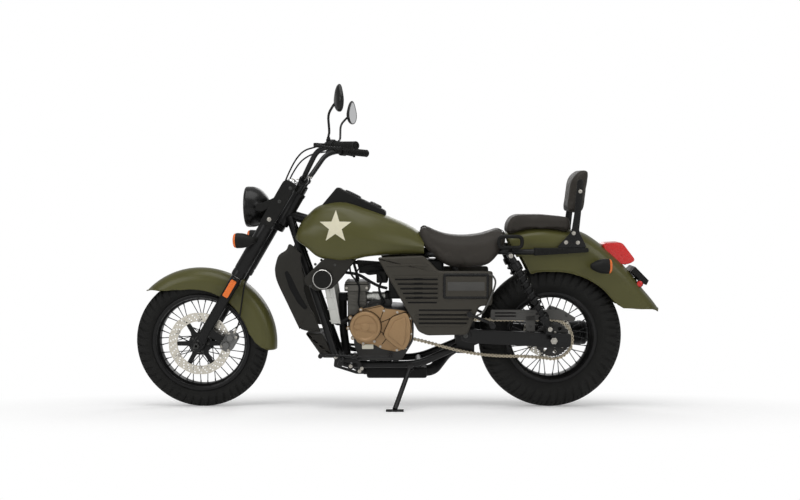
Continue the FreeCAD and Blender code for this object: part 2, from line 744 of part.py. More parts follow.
HEAD_R = 27.0
HEAD_TOP_S = UPPER_YOKE_S - RUN_GAP
HEAD_LOW_S = LOWER_YOKE_S + YOKE_T + RUN_GAP
BACKBONE_R = 22.0
RAIL_R = 16.0
SEAT_RAIL_R = 12.0
FRAME_BEND = 70.0
BACKBONE_END_X = 1000.0
BACKBONE_END_Z = 684.0
DOWNTUBE_TOP_Y = 22.0
DOWNTUBE_TOP_W = 56.0
DOWNTUBE_TOP_S = 680.0
RAIL_Y = 95.0
RAIL_X0 = 612.0
RAIL_Z = 205.0
RAIL_X1 = 960.0
RISER_END_X = 1130.0
RISER_END_Z = 280.0
MOUNT_XS = (760.0, 862.0)
MOUNT_HALF = 16.0
RAD_STAY_ZS = (600.0, 430.0)
RAD_STAY_R = 6.0
PIVOT_X = 1165.0
PIVOT_Z = 338.0
PIVOT_R = 26.0
PIVOT_BOLT_R = 8.0
PIVOT_PLATE_Y0 = 62.0
PIVOT_PLATE_Y1 = 78.0
SEAT_RAIL_Y = 82.0
SEAT_RAIL_END_Y = 118.0
SEAT_RAIL_X1 = 1290.0
SEAT_RAIL_Z = 698.0
STRUT_FOOT_SHARE = 0.35
PLATE_HALF_X = 42.0
PLATE_Z0 = 250.0
PLATE_Z1 = 452.0


def downtubes(radius):
    """Two tubes from the head tube down, back into the cradle rails and up inside the pivot plates."""
    top = at_fork(DOWNTUBE_TOP_S, DOWNTUBE_TOP_W, DOWNTUBE_TOP_Y)
    knee = V(RAIL_X0, RAIL_Y, RAIL_Z)
    tail = V(RAIL_X1, RAIL_Y, RAIL_Z)
    end = V(RISER_END_X, (PIVOT_PLATE_Y0 + PIVOT_PLATE_Y1) / 2, RISER_END_Z)
    return both(bent_tube([top, knee, tail, end], radius, FRAME_BEND))


def on_downtube(z):
    """The middle of the right downtube at a height between the head tube and the cradle."""
    top = at_fork(DOWNTUBE_TOP_S, DOWNTUBE_TOP_W, DOWNTUBE_TOP_Y)
    low = V(RAIL_X0, RAIL_Y, RAIL_Z)
    return top + (low - top) * ((top.z - z) / (top.z - low.z))


def brackets():
    """The stays that hold the radiator and the feet under the engine case."""
    pieces = []
    for z in RAD_STAY_ZS:
        start = on_downtube(z)
        front = RAD_TOP_X + (RAD_LOW_X - RAD_TOP_X) * (RAD_TOP_Z - z - RAD_STAY_R) / (RAD_TOP_Z - RAD_LOW_Z)
        slope = 2 * RAD_STAY_R * (RAD_LOW_X - RAD_TOP_X) / (RAD_TOP_Z - RAD_LOW_Z)
        pieces += both(rod(start, V(front - slope - REST_GAP, start.y, z), RAD_STAY_R))
    for x in MOUNT_XS:
        pieces += both(box(x - MOUNT_HALF, x + MOUNT_HALF, RAIL_Y - RAIL_R / 2, RAIL_Y + RAIL_R / 2, RAIL_Z,
                           CASE_Z0 - REST_GAP))
    return pieces


def seat_rails():
    """The rails under the seats, spreading round the rear tyre to the damper mounts."""
    start = V(BACKBONE_END_X, 0, BACKBONE_END_Z)
    side = V(BACKBONE_END_X, SEAT_RAIL_Y, BACKBONE_END_Z)
    spread = V(SEAT_RAIL_X1, SEAT_RAIL_Y, SEAT_RAIL_Z)
    out = V(SHOCK_TOP_X, SEAT_RAIL_END_Y, SEAT_RAIL_Z)
    end = V(FENDER_RAIL_X0 - REST_GAP, SEAT_RAIL_END_Y, SEAT_RAIL_Z)
    rail = bent_tube([start, side, spread, out, end], SEAT_RAIL_R, BAR_BEND)
    strut = rod(V(PIVOT_X, (PIVOT_PLATE_Y0 + PIVOT_PLATE_Y1) / 2, PLATE_Z1 - SEAT_RAIL_R),
                V(BACKBONE_END_X + STRUT_FOOT_SHARE * (SEAT_RAIL_X1 - BACKBONE_END_X), SEAT_RAIL_Y, SEAT_RAIL_Z),
                SEAT_RAIL_R)
    return both(rail) + both(strut)


def pivot_plates():
    """The plates that carry the swingarm's bolt, joined by a tube across."""
    x0, x1 = PIVOT_X - PLATE_HALF_X, PIVOT_X + PLATE_HALF_X
    plate = box(x0, x1, PIVOT_PLATE_Y0, PIVOT_PLATE_Y1, PLATE_Z0, PLATE_Z1)
    cross = rod(V(x0, -PIVOT_PLATE_Y0, PLATE_Z1 - RAIL_R), V(x0, PIVOT_PLATE_Y0, PLATE_Z1 - RAIL_R), RAIL_R)
    low = rod(V(RAIL_X1, -RAIL_Y, RAIL_Z), V(RAIL_X1, RAIL_Y, RAIL_Z), RAIL_R)
    return both(plate) + [cross, low]


STAND_X = 925.0
STAND_Y = -132.0
STAND_Z = 200.0
STAND_LUG_R = 15.0
STAND_LUG_T = 10.0
STAND_BOLT_R = 6.0


def frame_shell():
    """All tubes and plates of the frame, welded together."""
    head = rod(at_fork(HEAD_LOW_S, STEM_W), at_fork(HEAD_TOP_S, STEM_W), HEAD_R)
    backbone = rod(at_fork((HEAD_LOW_S + HEAD_TOP_S) / 2 - HEAD_R, STEM_W), V(BACKBONE_END_X, 0, BACKBONE_END_Z),
                   BACKBONE_R)
    pieces = [head, backbone] + downtubes(RAIL_R) + brackets() + seat_rails() + pivot_plates() + [stand_lug()]
    bore = pin(at_fork(HEAD_LOW_S - OVERRUN, STEM_W), at_fork(HEAD_TOP_S + OVERRUN, STEM_W), STEM_R + RUN_GAP)
    bolt = pin(V(PIVOT_X, -2 * RAIL_Y, PIVOT_Z), V(PIVOT_X, 2 * RAIL_Y, PIVOT_Z), PIVOT_BOLT_R)
    return fuse(pieces).cut([bore, bolt, stand_pin(STAND_BOLT_R + RUN_GAP, STAND_LUG_T)])


# Side stand. The leg is drawn as it stands on the floor with the machine leaned onto it.

LEAN = math.radians(LEAN_DEG)
FOOT_X = 862.0
FOOT_OUT = 300.0
FOOT_T = 8.0
FOOT_LENGTH = 74.0
FOOT_WIDTH = 46.0
LEG_BAR_R = 11.0
FOLDED_SHARES = (1.0, -0.08, 0.06)


def lean_turn():
    return FreeCAD.Rotation(REAR, LEAN_DEG)


def upright(p):
    """A point given in the leaned machine's frame, back in the upright one."""
    return lean_turn().inverted().multVec(p)


STAND_PIVOT = V(STAND_X, STAND_Y, STAND_Z)
FOOT = upright(V(FOOT_X, -FOOT_OUT, FOOT_T))
STAND_LEG = FOOT - STAND_PIVOT
STAND_AXIS = STAND_LEG.cross(V(*FOLDED_SHARES))
STAND_AXIS.normalize()
STAND_FOLD_DEG = math.degrees(STAND_LEG.getAngle(V(*FOLDED_SHARES)))


def stand_lug():
    """The lug on the left cradle rail that carries the stand's bolt."""
    low = STAND_PIVOT - STAND_AXIS * (STAND_LUG_T / 2)
    lug = Part.makeCylinder(STAND_LUG_R, STAND_LUG_T, low, STAND_AXIS)
    inner = V(STAND_X, -RAIL_Y, RAIL_Z)
    across = (inner - STAND_PIVOT).cross(STAND_AXIS)
    across.normalize()
    inner -= STAND_AXIS * ((inner - STAND_PIVOT).dot(STAND_AXIS) + STAND_LUG_T / 2)
    half = across * STAND_BOLT_R * 2
    loop = [inner - half, inner + half, low + half, low - half]
    arm = Part.Face(closed_line(loop)).extrude(STAND_AXIS * STAND_LUG_T)
    return fuse([lug, arm])


def stand_pin(radius, half):
    """A round bar along the stand's hinge line."""
    return pin(STAND_PIVOT - STAND_AXIS * half, STAND_PIVOT + STAND_AXIS * half, radius)


def stand_clearance():
    """The space round the lug that the stand's fork turns in."""
    low = STAND_PIVOT - STAND_AXIS * (STAND_LUG_T / 2 + RUN_GAP)
    return Part.makeCylinder(STAND_LUG_R + OVERRUN, STAND_LUG_T + 2 * RUN_GAP, low, STAND_AXIS)


def side_stand():
    """The leg with its forked head, bolt and foot plate."""
    half = STAND_LUG_T / 2 + RUN_GAP + STAND_LUG_T / 2
    head = Part.makeCylinder(STAND_LUG_R, 2 * half, STAND_PIVOT - STAND_AXIS * half, STAND_AXIS)
    leg = rod(STAND_PIVOT, FOOT, LEG_BAR_R)
    fork = fuse([head, leg]).cut(stand_clearance())
    bolt = stand_pin(STAND_BOLT_R, half)
    foot = Part.makeBox(FOOT_LENGTH, FOOT_WIDTH, FOOT_T, V(FOOT_X - FOOT_LENGTH / 2, -FOOT_OUT - FOOT_WIDTH / 2, 0))
    foot.rotate(V(0, 0, 0), REAR, -LEAN_DEG)
    return fuse([fork, bolt, foot])


# Engine

CASE_X0 = 680.0
CASE_LENGTH = 262.0
CASE_Z0 = 228.0
CASE_HEIGHT = 248.0
CASE_LEFT_Y = -128.0
CASE_RIGHT_Y = 130.0
CASE_ROUND = 12.0
CASE_SHARES = [(0.0, 0.28), (0.10, 0.0), (0.80, 0.0), (1.0, 0.36), (0.98, 0.80), (0.86, 0.90), (0.52, 0.93),
               (0.46, 1.0), (0.12, 0.92), (0.0, 0.78)]
GEN_X = 733.0
GEN_Z = 378.0
GEN_R = 67.0
GEN_T = 34.0
GEN_ROUND = 12.0
COVER_SHARES = [(0.0, 0.40), (0.30, 0.86), (0.86, 1.0), (1.0, 0.72), (0.98, 0.30), (0.78, 0.0), (0.42, 0.12)]
COVER_X0 = 806.0
COVER_Z0 = 272.0
COVER_LENGTH = 124.0
COVER_HEIGHT = 172.0
COVER_T = 24.0
COVER_ROUND = 8.0
CLUTCH_X = 850.0
CLUTCH_Z = 345.0
CLUTCH_R = 82.0
CLUTCH_T = 30.0
CYL_X0 = 650.0
CYL_W = 84.0
CYL_HALF = 62.0
CYL_TOP_Z = 552.0
HEAD_T = 28.0
HEAD_LAP = 13.0
CHAIN_Y = -100.0
CHAIN_W = 17.0
DRIVE_X = 892.0
DRIVE_Z = 366.0
DRIVE_R = 38.0
POCKET_CLEAR = 10.0


def case_block():
    """The crankcase and gearbox as one plain block."""
    outline = from_shares(CASE_SHARES, CASE_X0, CASE_Z0, CASE_LENGTH, CASE_HEIGHT)
    return rounded_prism(outline, CASE_LEFT_Y, CASE_RIGHT_Y, CASE_ROUND)


def engine_case():
    """The block with the chain's pocket and the drive sprocket in it."""
    reach = DRIVE_R + POCKET_CLEAR
    inner_y = CHAIN_Y + CHAIN_W / 2 + POCKET_CLEAR
    pocket = fuse([Part.makeCylinder(reach, inner_y - CASE_LEFT_Y, V(DRIVE_X, CASE_LEFT_Y, DRIVE_Z), ACROSS),
                   box(DRIVE_X, CASE_X0 + CASE_LENGTH + OVERRUN, CASE_LEFT_Y, inner_y, DRIVE_Z - reach - POCKET_CLEAR,
                       DRIVE_Z + reach)])
    drive = Part.makeCylinder(DRIVE_R - CHAIN_PLATE_H / 2 - REST_GAP, inner_y - CHAIN_Y + CHAIN_W / 4,
                              V(DRIVE_X, CHAIN_Y - CHAIN_W / 4, DRIVE_Z), ACROSS)
    return fuse([case_block().cut(pocket), drive])


def engine_covers():
    """Generator cover and sprocket cover on the left, clutch cover on the right."""
    gen = turned([(0, CASE_LEFT_Y), (GEN_R, CASE_LEFT_Y), (GEN_R, CASE_LEFT_Y - GEN_T + GEN_ROUND),
                  (GEN_R - GEN_ROUND, CASE_LEFT_Y - GEN_T), (0, CASE_LEFT_Y - GEN_T)], V(GEN_X, 0, GEN_Z))
    outline = from_shares(COVER_SHARES, COVER_X0, COVER_Z0, COVER_LENGTH, COVER_HEIGHT)
    cover = soft_prism(outline, CASE_LEFT_Y, CASE_LEFT_Y - COVER_T, CASE_ROUND, COVER_ROUND)
    clutch = Part.makeCylinder(CLUTCH_R, CLUTCH_T, V(CLUTCH_X, CASE_RIGHT_Y, CLUTCH_Z), ACROSS)
    return [gen, cover, clutch]


def cylinder():
    """Barrel and head above the case, with the head cover on top."""
    barrel = box(CYL_X0, CYL_X0 + CYL_W, -CYL_HALF, CYL_HALF, CASE_Z0 + CASE_HEIGHT / 2, CYL_TOP_Z)
    top = box(CYL_X0 - HEAD_LAP, CYL_X0 + CYL_W + HEAD_LAP, -CYL_HALF - HEAD_LAP, CYL_HALF + HEAD_LAP,
              CYL_TOP_Z - HEAD_T, CYL_TOP_Z + HEAD_T / 2)
    return fuse([barrel, top]).cut(case_block())


THROTTLE_R = 22.0
THROTTLE_Z = 497.0
THROTTLE_Y = -30.0
AIRBOX_X0 = 830.0
AIRBOX_X1 = 1072.0
AIRBOX_HALF = 78.0
AIRBOX_Z0 = 490.0
AIRBOX_Z1 = 660.0


def intake():
    """Throttle body and duct between the cylinder and the airbox."""
    tube = rod(V(CYL_X0 + CYL_W, THROTTLE_Y, THROTTLE_Z), V(AIRBOX_X0, THROTTLE_Y, THROTTLE_Z), THROTTLE_R)
    body = box(AIRBOX_X0, AIRBOX_X1, -AIRBOX_HALF, AIRBOX_HALF, AIRBOX_Z0, AIRBOX_Z1)
    return fuse([tube, body])


RAD_TOP_X = 540.0
RAD_TOP_Z = 640.0
RAD_LOW_X = 582.0
RAD_LOW_Z = 384.0
RAD_T = 20.0
RAD_HALF = 108.0
TANK_END_T = 44.0
TANK_END_W = 20.0


def radiator():
    """The core behind the downtubes, with an end tank on each side."""
    def slab(thick, y0, y1):
        points = [(RAD_TOP_X, RAD_TOP_Z), (RAD_TOP_X + thick, RAD_TOP_Z), (RAD_LOW_X + thick, RAD_LOW_Z),
                  (RAD_LOW_X, RAD_LOW_Z)]
        return prism(points, y0, y1)
    core = slab(RAD_T, -RAD_HALF, RAD_HALF)
    ends = [slab(TANK_END_T, side * RAD_HALF, side * (RAD_HALF - TANK_END_W)) for side in (-1, 1)]
    return fuse([core] + ends)


# Body: tank, console, cowls, seats, side covers

TANK_X0 = 430.0
TANK_LENGTH = 555.0
TANK_HALF = 152.0
TANK_Z0 = 655.0
TANK_HEIGHT = 258.0
TANK_SHARES = [(0.0, 0.50, 0.37, 0.44), (0.03, 0.68, 0.31, 0.62), (0.09, 0.79, 0.22, 0.78),
               (0.19, 0.91, 0.06, 0.94), (0.37, 1.0, 0.0, 1.0), (0.56, 0.96, 0.08, 0.88),
               (0.74, 0.82, 0.105, 0.74), (0.90, 0.67, 0.11, 0.58), (1.0, 0.56, 0.115, 0.42)]
TANK_SECTION_SHARES = [(0.0, 0.0), (0.55, 0.0), (0.93, 0.07), (1.0, 0.32), (0.93, 0.62), (0.70, 0.87),
                       (0.36, 0.98), (0.0, 1.0)]


def tank_body():
    """The tank's outer skin as one solid, with nothing cut from it."""
    wires = []
    for x, half, low, high in TANK_SHARES:
        wires.append(section(TANK_SECTION_SHARES, TANK_X0 + x * TANK_LENGTH, half * TANK_HALF,
                             TANK_Z0 + low * TANK_HEIGHT, (high - low) * TANK_HEIGHT))
    return Part.makeLoft(wires, True, True)


def tunnel():
    """The space along the tank's underside that the backbone runs in."""
    start = at_fork((HEAD_LOW_S + HEAD_TOP_S) / 2 - HEAD_R, STEM_W)
    rise = BACKBONE_R + 2 * REST_GAP
    x1 = TANK_X0 + TANK_LENGTH + OVERRUN
    slope = (BACKBONE_END_Z - start.z) / (BACKBONE_END_X - start.x)
    top1 = start.z + slope * (x1 - start.x) + rise
    points = [(start.x, TANK_Z0 - TANK_HEIGHT), (start.x, start.z + rise), (x1, top1), (x1, TANK_Z0 - TANK_HEIGHT)]
    return prism(points, -rise, rise)


def fuel_tank(body):
    """The tank, open below for the backbone and at the nose for the downtubes."""
    return body.cut([tunnel()] + downtubes(RAIL_R + REST_GAP))


CONSOLE_X0 = 533.0
CONSOLE_LENGTH = 288.0
CONSOLE_Z0 = 857.0
CONSOLE_HEIGHT = 117.0
CONSOLE_HALF = 52.0
CONSOLE_SHARES = [(0.0, 0.28), (0.27, 1.0), (0.36, 0.89), (0.71, 0.47), (1.0, 0.11), (1.0, -0.3), (0.2, -0.1)]
CONSOLE_EDGE = 10.0


def tank_console(body):
    """The wedge on top of the tank, seated on the tank's skin."""
    outline = from_shares(CONSOLE_SHARES, CONSOLE_X0, CONSOLE_Z0, CONSOLE_LENGTH, CONSOLE_HEIGHT)
    wedge = prism(outline, -CONSOLE_HALF, CONSOLE_HALF)
    return wedge.cut(body)


SEAT_X0 = 966.0
SEAT_LENGTH = 370.0
SEAT_Z0 = 634.0
SEAT_HEIGHT = 173.0
SEAT_HALF = 145.0
SEAT_SHARES = [(0.0, 0.48, 0.74, 0.93), (0.06, 0.62, 0.50, 1.0), (0.17, 0.74, 0.26, 0.88), (0.31, 0.86, 0.05, 0.78),
               (0.50, 0.96, 0.0, 0.74), (0.69, 1.0, 0.02, 0.775), (0.82, 0.97, 0.09, 0.85), (0.93, 0.86, 0.38, 0.93),
               (1.0, 0.74, 0.62, 0.86)]
SEAT_SECTION_SHARES = [(0.0, 0.0), (0.6, 0.0), (0.94, 0.08), (1.0, 0.42), (0.94, 0.76), (0.70, 0.96),
                       (0.35, 1.0), (0.0, 0.99)]
SEAT_TUNNEL_Y = 106.0
SEAT_TUNNEL_Z = SEAT_RAIL_Z + SEAT_RAIL_R + REST_GAP


def rider_seat(body):
    """The dished saddle against the tank, hollow below where the frame's rails run."""
    wires = []
    for x, half, low, high in SEAT_SHARES:
        wires.append(section(SEAT_SECTION_SHARES, SEAT_X0 + x * SEAT_LENGTH, half * SEAT_HALF,
                             SEAT_Z0 + low * SEAT_HEIGHT, (high - low) * SEAT_HEIGHT))
    pad = Part.makeLoft(wires, True, True)
    x1 = SEAT_X0 + SEAT_LENGTH + OVERRUN
    under = box(SEAT_X0 - OVERRUN, x1, -SEAT_TUNNEL_Y, SEAT_TUNNEL_Y, SEAT_Z0 - OVERRUN, SEAT_TUNNEL_Z)
    return pad.cut([under, body])


PILLION_X0 = 1340.0
PILLION_LENGTH = 288.0
PILLION_Z0 = 740.0
PILLION_HEIGHT = 114.0
PILLION_HALF = 92.0
PILLION_ROUND = 16.0
PILLION_SHARES = [(0.0, 0.10), (0.0, 0.66), (0.06, 0.90), (0.14, 1.0), (0.54, 1.0), (0.76, 0.95), (0.96, 0.91),
                  (1.0, 0.44), (0.92, 0.10)]


def pillion_seat():
    """The flat pad on the rear mudguard."""
    outline = from_shares(PILLION_SHARES, PILLION_X0, PILLION_Z0, PILLION_LENGTH, PILLION_HEIGHT)
    pad = prism(outline, -PILLION_HALF, PILLION_HALF)
    top_z = PILLION_Z0 + PILLION_HEIGHT / 2
    rims = [e for e in pad.Edges if abs(abs(e.CenterOfMass.y) - PILLION_HALF) < SAME and e.CenterOfMass.z > top_z]
    return pad.makeChamfer(PILLION_ROUND, rims).cut(rear_guard_solid(REST_GAP))


PAD_X = 1600.0
PAD_Z0 = 864.0
PAD_T = 68.0
PAD_HEIGHT = 184.0
PAD_HALF = 92.0
PAD_LEAN_SHARE = 0.24
PAD_ROUND = 16.0
PAD_SHARES = [(0.0, 0.0), (1.0, 0.0), (1.0, 1.0), (0.10, 1.0)]
PAD_CORNER = 22.0


def sheared(shares):
    """The pad's side outline, leaning back as it rises."""
    points = []
    for a, b in shares:
        points.append((PAD_X + a * PAD_T + b * PAD_HEIGHT * PAD_LEAN_SHARE / 2, PAD_Z0 + b * PAD_HEIGHT))
    return points


def backrest_pad():
    pad = rounded_prism(sheared(PAD_SHARES), -PAD_HALF, PAD_HALF, PAD_CORNER)
    return ease(ease(pad, PAD_HALF, PAD_ROUND), -PAD_HALF, PAD_ROUND)


FLAT_T = 6.0
FLAT_Y = 112.0
FLAT_X0 = 1552.0
FLAT_LENGTH = 130.0
FLAT_Z0 = 715.3
FLAT_HEIGHT = 290.0
FLAT_SHARES = [(0.0, 0.0), (1.0, 0.0), (0.73, 0.24), (0.78, 0.50), (0.84, 1.0), (0.64, 1.0), (0.56, 0.50), (0.48, 0.24)]
CROSS_R = 7.0
PAD_BRACE_Z = 955.0


def backrest_frame():
    """Two flat uprights outside the mudguard, joined by a bar behind the pad."""
    outline = from_shares(FLAT_SHARES, FLAT_X0, FLAT_Z0, FLAT_LENGTH, FLAT_HEIGHT)
    plate = prism(outline, FLAT_Y, FLAT_Y + FLAT_T)
    back_x = PAD_X + PAD_T + PAD_HEIGHT * PAD_LEAN_SHARE / 2 * (PAD_BRACE_Z - PAD_Z0) / PAD_HEIGHT
    x = back_x + CROSS_R + REST_GAP
    cross = rod(V(x, -FLAT_Y - FLAT_T, PAD_BRACE_Z), V(x, FLAT_Y + FLAT_T, PAD_BRACE_Z), CROSS_R)
    half = FLAT_X0 + FLAT_LENGTH * 0.78
    tabs = box(half - FLAT_T, x + CROSS_R, FLAT_Y, FLAT_Y + FLAT_T, PAD_BRACE_Z - 2 * CROSS_R,
               PAD_BRACE_Z + 2 * CROSS_R)
    return fuse([plate, mirrored(plate), tabs, mirrored(tabs), cross])


COWL_Y0 = 92.0
COWL_Y1 = 124.0
COWL_X0 = 343.0
COWL_LENGTH = 354.0
COWL_Z0 = 350.0
COWL_HEIGHT = 384.0
COWL_ROUND = 10.0
COWL_EDGE = 8.0
COWL_SHARES = [(0.19, 1.0), (0.14, 0.93), (0.05, 0.87), (0.01, 0.77), (0.0, 0.69), (0.025, 0.56), (0.285, 0.03),
               (0.37, 0.01), (0.55, 0.0), (0.47, 0.20), (0.345, 0.50), (0.57, 0.81), (0.33, 0.90)]
CAP_SHARES = [(0.57, 0.81), (0.97, 0.815), (0.757, 0.555), (0.70, 0.495), (0.50, 0.47), (0.36, 0.545), (0.345, 0.60)]
CAP_X = 550.0
CAP_Z = 582.0
CAP_R = 46.0
CAP_T = 16.0
CHIN_X0 = 465.0
CHIN_LENGTH = 122.0
CHIN_Z0 = 230.0
CHIN_HEIGHT = 112.0
CHIN_SHARES = [(0.0, 1.0), (0.62, 1.0), (1.12, 0.0), (0.62, 0.0)]


def side_cowls():
    """On each side the shroud in front of the radiator with the round cap, and the chin below."""
    shroud = rounded_prism(from_shares(COWL_SHARES, COWL_X0, COWL_Z0, COWL_LENGTH, COWL_HEIGHT), COWL_Y0 + RAIL_R,
                           COWL_Y1, COWL_ROUND)
    cap_plate = rounded_prism(from_shares(CAP_SHARES, COWL_X0, COWL_Z0, COWL_LENGTH, COWL_HEIGHT),
                              COWL_Y0 + RAIL_R, COWL_Y1 + CAP_T / 2, COWL_ROUND)
    cap = rod(V(CAP_X, COWL_Y0 + RAIL_R, CAP_Z), V(CAP_X, COWL_Y1 + CAP_T, CAP_Z), CAP_R)
    side = fuse([shroud, cap_plate, cap])
    chin = rounded_prism(from_shares(CHIN_SHARES, CHIN_X0, CHIN_Z0, CHIN_LENGTH, CHIN_HEIGHT), -COWL_Y0, COWL_Y0,
                         COWL_ROUND)
    return both(side) + [chin.cut(downtubes(RAIL_R))]


COVER_PANEL_X0 = 785.0
COVER_PANEL_LENGTH = 495.0
COVER_PANEL_Z0 = 339.0
COVER_PANEL_HEIGHT = 346.0
COVER_PANEL_Y0 = 112.0
COVER_PANEL_Y1 = 152.0
COVER_PANEL_ROUND = 14.0
COVER_PANEL_SHARES = [(0.0, 0.975), (0.40, 1.0), (0.53, 0.805), (1.0, 0.805), (0.995, 0.38), (0.883, 0.37),
                      (0.78, 0.01), (0.43, 0.0), (0.355, 0.05), (0.305, 0.19)]
BADGE_SHARES = [(0.58, 0.765), (0.95, 0.765), (0.95, 0.48), (0.58, 0.48)]
BADGE_T = 8.0


def side_covers():
    """The big moulded covers below the seat, with a raised panel."""
    outline = from_shares(COVER_PANEL_SHARES, COVER_PANEL_X0, COVER_PANEL_Z0, COVER_PANEL_LENGTH, COVER_PANEL_HEIGHT)
    panel = from_shares(BADGE_SHARES, COVER_PANEL_X0, COVER_PANEL_Z0, COVER_PANEL_LENGTH, COVER_PANEL_HEIGHT)
    cover = soft_prism(outline, COVER_PANEL_Y0, COVER_PANEL_Y1, COVER_PANEL_ROUND, COVER_ROUND)
    raised = soft_prism(panel, COVER_PANEL_Y1 - BADGE_T, COVER_PANEL_Y1 + BADGE_T, COVER_PANEL_ROUND, BADGE_T / 2)
    outer = ARM_Y + ARM_T / 2 + REST_GAP
    arm_room = box(PIVOT_X - ARM_H, COVER_PANEL_X0 + COVER_PANEL_LENGTH, COVER_PANEL_Y0, outer, COVER_PANEL_Z0,
                   PIVOT_Z + ARM_H)
    case_room = box(CASE_X0, CASE_X0 + CASE_LENGTH + REST_GAP, COVER_PANEL_Y0, CASE_RIGHT_Y + REST_GAP, CASE_Z0,
                    CASE_Z0 + CASE_HEIGHT + REST_GAP)
    peg_room = rod(V(REAR_PEG_BR_X, COVER_PANEL_Y0, REAR_PEG_BR_Z), V(REAR_PEG_BR_X, 2 * COVER_PANEL_Y1, REAR_PEG_BR_Z),
                   PEG_R + RUN_GAP)
    return both(fuse([cover, raised]).cut([arm_room, case_room, peg_room]))


# Rear mudguard: arched sections fanned about the rear axle

FENDER_R = 480.0
FENDER_HALF = 103.0
FENDER_T = 4.0
FENDER_FOOT_R = 250.0
FENDER_SHARES = [(-24.0, 1.052, 0.86), (-8.0, 1.03, 0.95), (3.0, 1.003, 0.98), (15.0, 1.005, 1.0), (26.0, 0.972, 1.0),
                 (37.0, 0.944, 1.0), (53.0, 0.942, 0.96), (63.0, 0.963, 0.92), (75.0, 1.031, 0.85)]
FENDER_ARCH_SHARES = [(1.0, 0.0), (1.0, 0.80), (0.985, 0.88), (0.86, 0.945), (0.5, 0.985), (0.0, 1.0)]
FENDER_EDGE_X = 1341.0
FENDER_EDGE_LENGTH = 682.0
FENDER_EDGE_Z = 440.0
FENDER_EDGE_HEIGHT = 240.0
FENDER_EDGE_SHARES = [(-0.05, 1.0), (0.115, 1.0), (0.125, 0.67), (0.19, 0.705), (0.29, 0.716), (0.44, 0.663),
                      (0.54, 0.545), (0.605, 0.42), (0.667, 0.24), (0.71, 0.12), (0.75, 0.054), (1.1, 0.02)]


def arch_points(degrees, radius, half):
    """The points of an arch in the plane through the rear axle at that angle rearwards from straight up."""
    a = math.radians(degrees)
    out = V(math.sin(a), 0, math.cos(a))
    right = [REAR_AXLE + out * (radius * b if b else FENDER_FOOT_R) + ACROSS * (half * s)
             for s, b in FENDER_ARCH_SHARES]
    return right + [flip(p) for p in reversed(right[:-1])]


def rear_guard_solid(grow):
    """The mudguard's outer form as a full solid, made larger by grow."""
    wires = []
    for degrees, r, h in FENDER_SHARES:
        points = arch_points(degrees, FENDER_R * r + grow, FENDER_HALF * h + grow)
        wires.append(closed_line(points))
    return Part.makeLoft(wires, True, True)


def rear_guard():
    """The painted shell, trimmed to its side outline."""
    wires = []
    for degrees, r, h in FENDER_SHARES:
        outer = arch_points(degrees, FENDER_R * r, FENDER_HALF * h)
        inner = arch_points(degrees, FENDER_R * r - FENDER_T, FENDER_HALF * h - FENDER_T)[::-1]
        wires.append(closed_line(outer + inner))
    shell = Part.makeLoft(wires, True, True)
    edge = from_shares(FENDER_EDGE_SHARES, FENDER_EDGE_X, FENDER_EDGE_Z, FENDER_EDGE_LENGTH, FENDER_EDGE_HEIGHT)
    top = REAR_AXLE.z + 2 * FENDER_R
    loop = edge + [(edge[-1][0], top), (edge[0][0], top)]
    return shell.common(prism(loop, -2 * FENDER_HALF, 2 * FENDER_HALF))


FENDER_RAIL_Y0 = 90.0
FENDER_RAIL_Y1 = 128.0
FENDER_RAIL_X0 = 1456.0
FENDER_RAIL_X1 = 1688.0
FENDER_RAIL_Z0 = 682.0
FENDER_RAIL_Z1 = 715.0
LOOP_X0 = 1299.0
LOOP_X1 = 1406.0
LOOP_Z = 741.0
LOOP_HALF_H = 28.0
LOOP_R = 8.0
LOOP_Y = 140.0
LOOP_BEND = 26.0


def fender_rails():
    """A tapering rail on each side of the mudguard and the grab loop ahead of it."""
    rail = prism([(FENDER_RAIL_X0, FENDER_RAIL_Z0), (FENDER_RAIL_X1, FENDER_RAIL_Z1 - FENDER_RAIL_Y1 / 7),
                  (FENDER_RAIL_X1, FENDER_RAIL_Z1), (FENDER_RAIL_X0, FENDER_RAIL_Z1)], FENDER_RAIL_Y0, FENDER_RAIL_Y1)
    rail = rail.cut(rear_guard_solid(REST_GAP))
    corners = [V(LOOP_X0, LOOP_Y, LOOP_Z - LOOP_HALF_H), V(LOOP_X0, LOOP_Y, LOOP_Z + LOOP_HALF_H),
               V(LOOP_X1, LOOP_Y, LOOP_Z + LOOP_HALF_H), V(LOOP_X1, LOOP_Y, LOOP_Z - LOOP_HALF_H)]
    start = (corners[0] + corners[3]) / 2
    path = bent_tube([start] + [corners[0], corners[1], corners[2], corners[3]] + [start], LOOP_R, LOOP_BEND)
    foot = rod(start, V(start.x, SEAT_RAIL_END_Y, SEAT_RAIL_Z), LOOP_R)
    return both(rail) + both(fuse([path, foot]).cut(seat_rails()))


LIGHT_X0 = 1758.0
LIGHT_LENGTH = 150.0
LIGHT_Z0 = 640.0
LIGHT_HEIGHT = 96.0
LIGHT_HALF = 52.0
LIGHT_SHARES = [(0.0, 0.95), (0.59, 1.0), (1.0, 0.18), (0.80, 0.0), (0.30, 0.0)]
REFLECTOR_R = 15.0
REFLECTOR_X = 1908.0
REFLECTOR_Z = 541.0


def tail_light():
    """The red lamp on the mudguard's slope, seated on its skin."""
    lamp = prism(from_shares(LIGHT_SHARES, LIGHT_X0, LIGHT_Z0, LIGHT_LENGTH, LIGHT_HEIGHT), -LIGHT_HALF, LIGHT_HALF)
    return lamp.cut(rear_guard_solid(REST_GAP))


def red_reflectors():
    """The round side reflectors low on the mudguard."""
    y1 = FENDER_HALF + REFLECTOR_T
    y0 = FENDER_HALF / 2
    puck = rod(V(REFLECTOR_X, y0, REFLECTOR_Z), V(REFLECTOR_X, y1, REFLECTOR_Z), REFLECTOR_R)
    return both(puck.cut(rear_guard_solid(REST_GAP)))


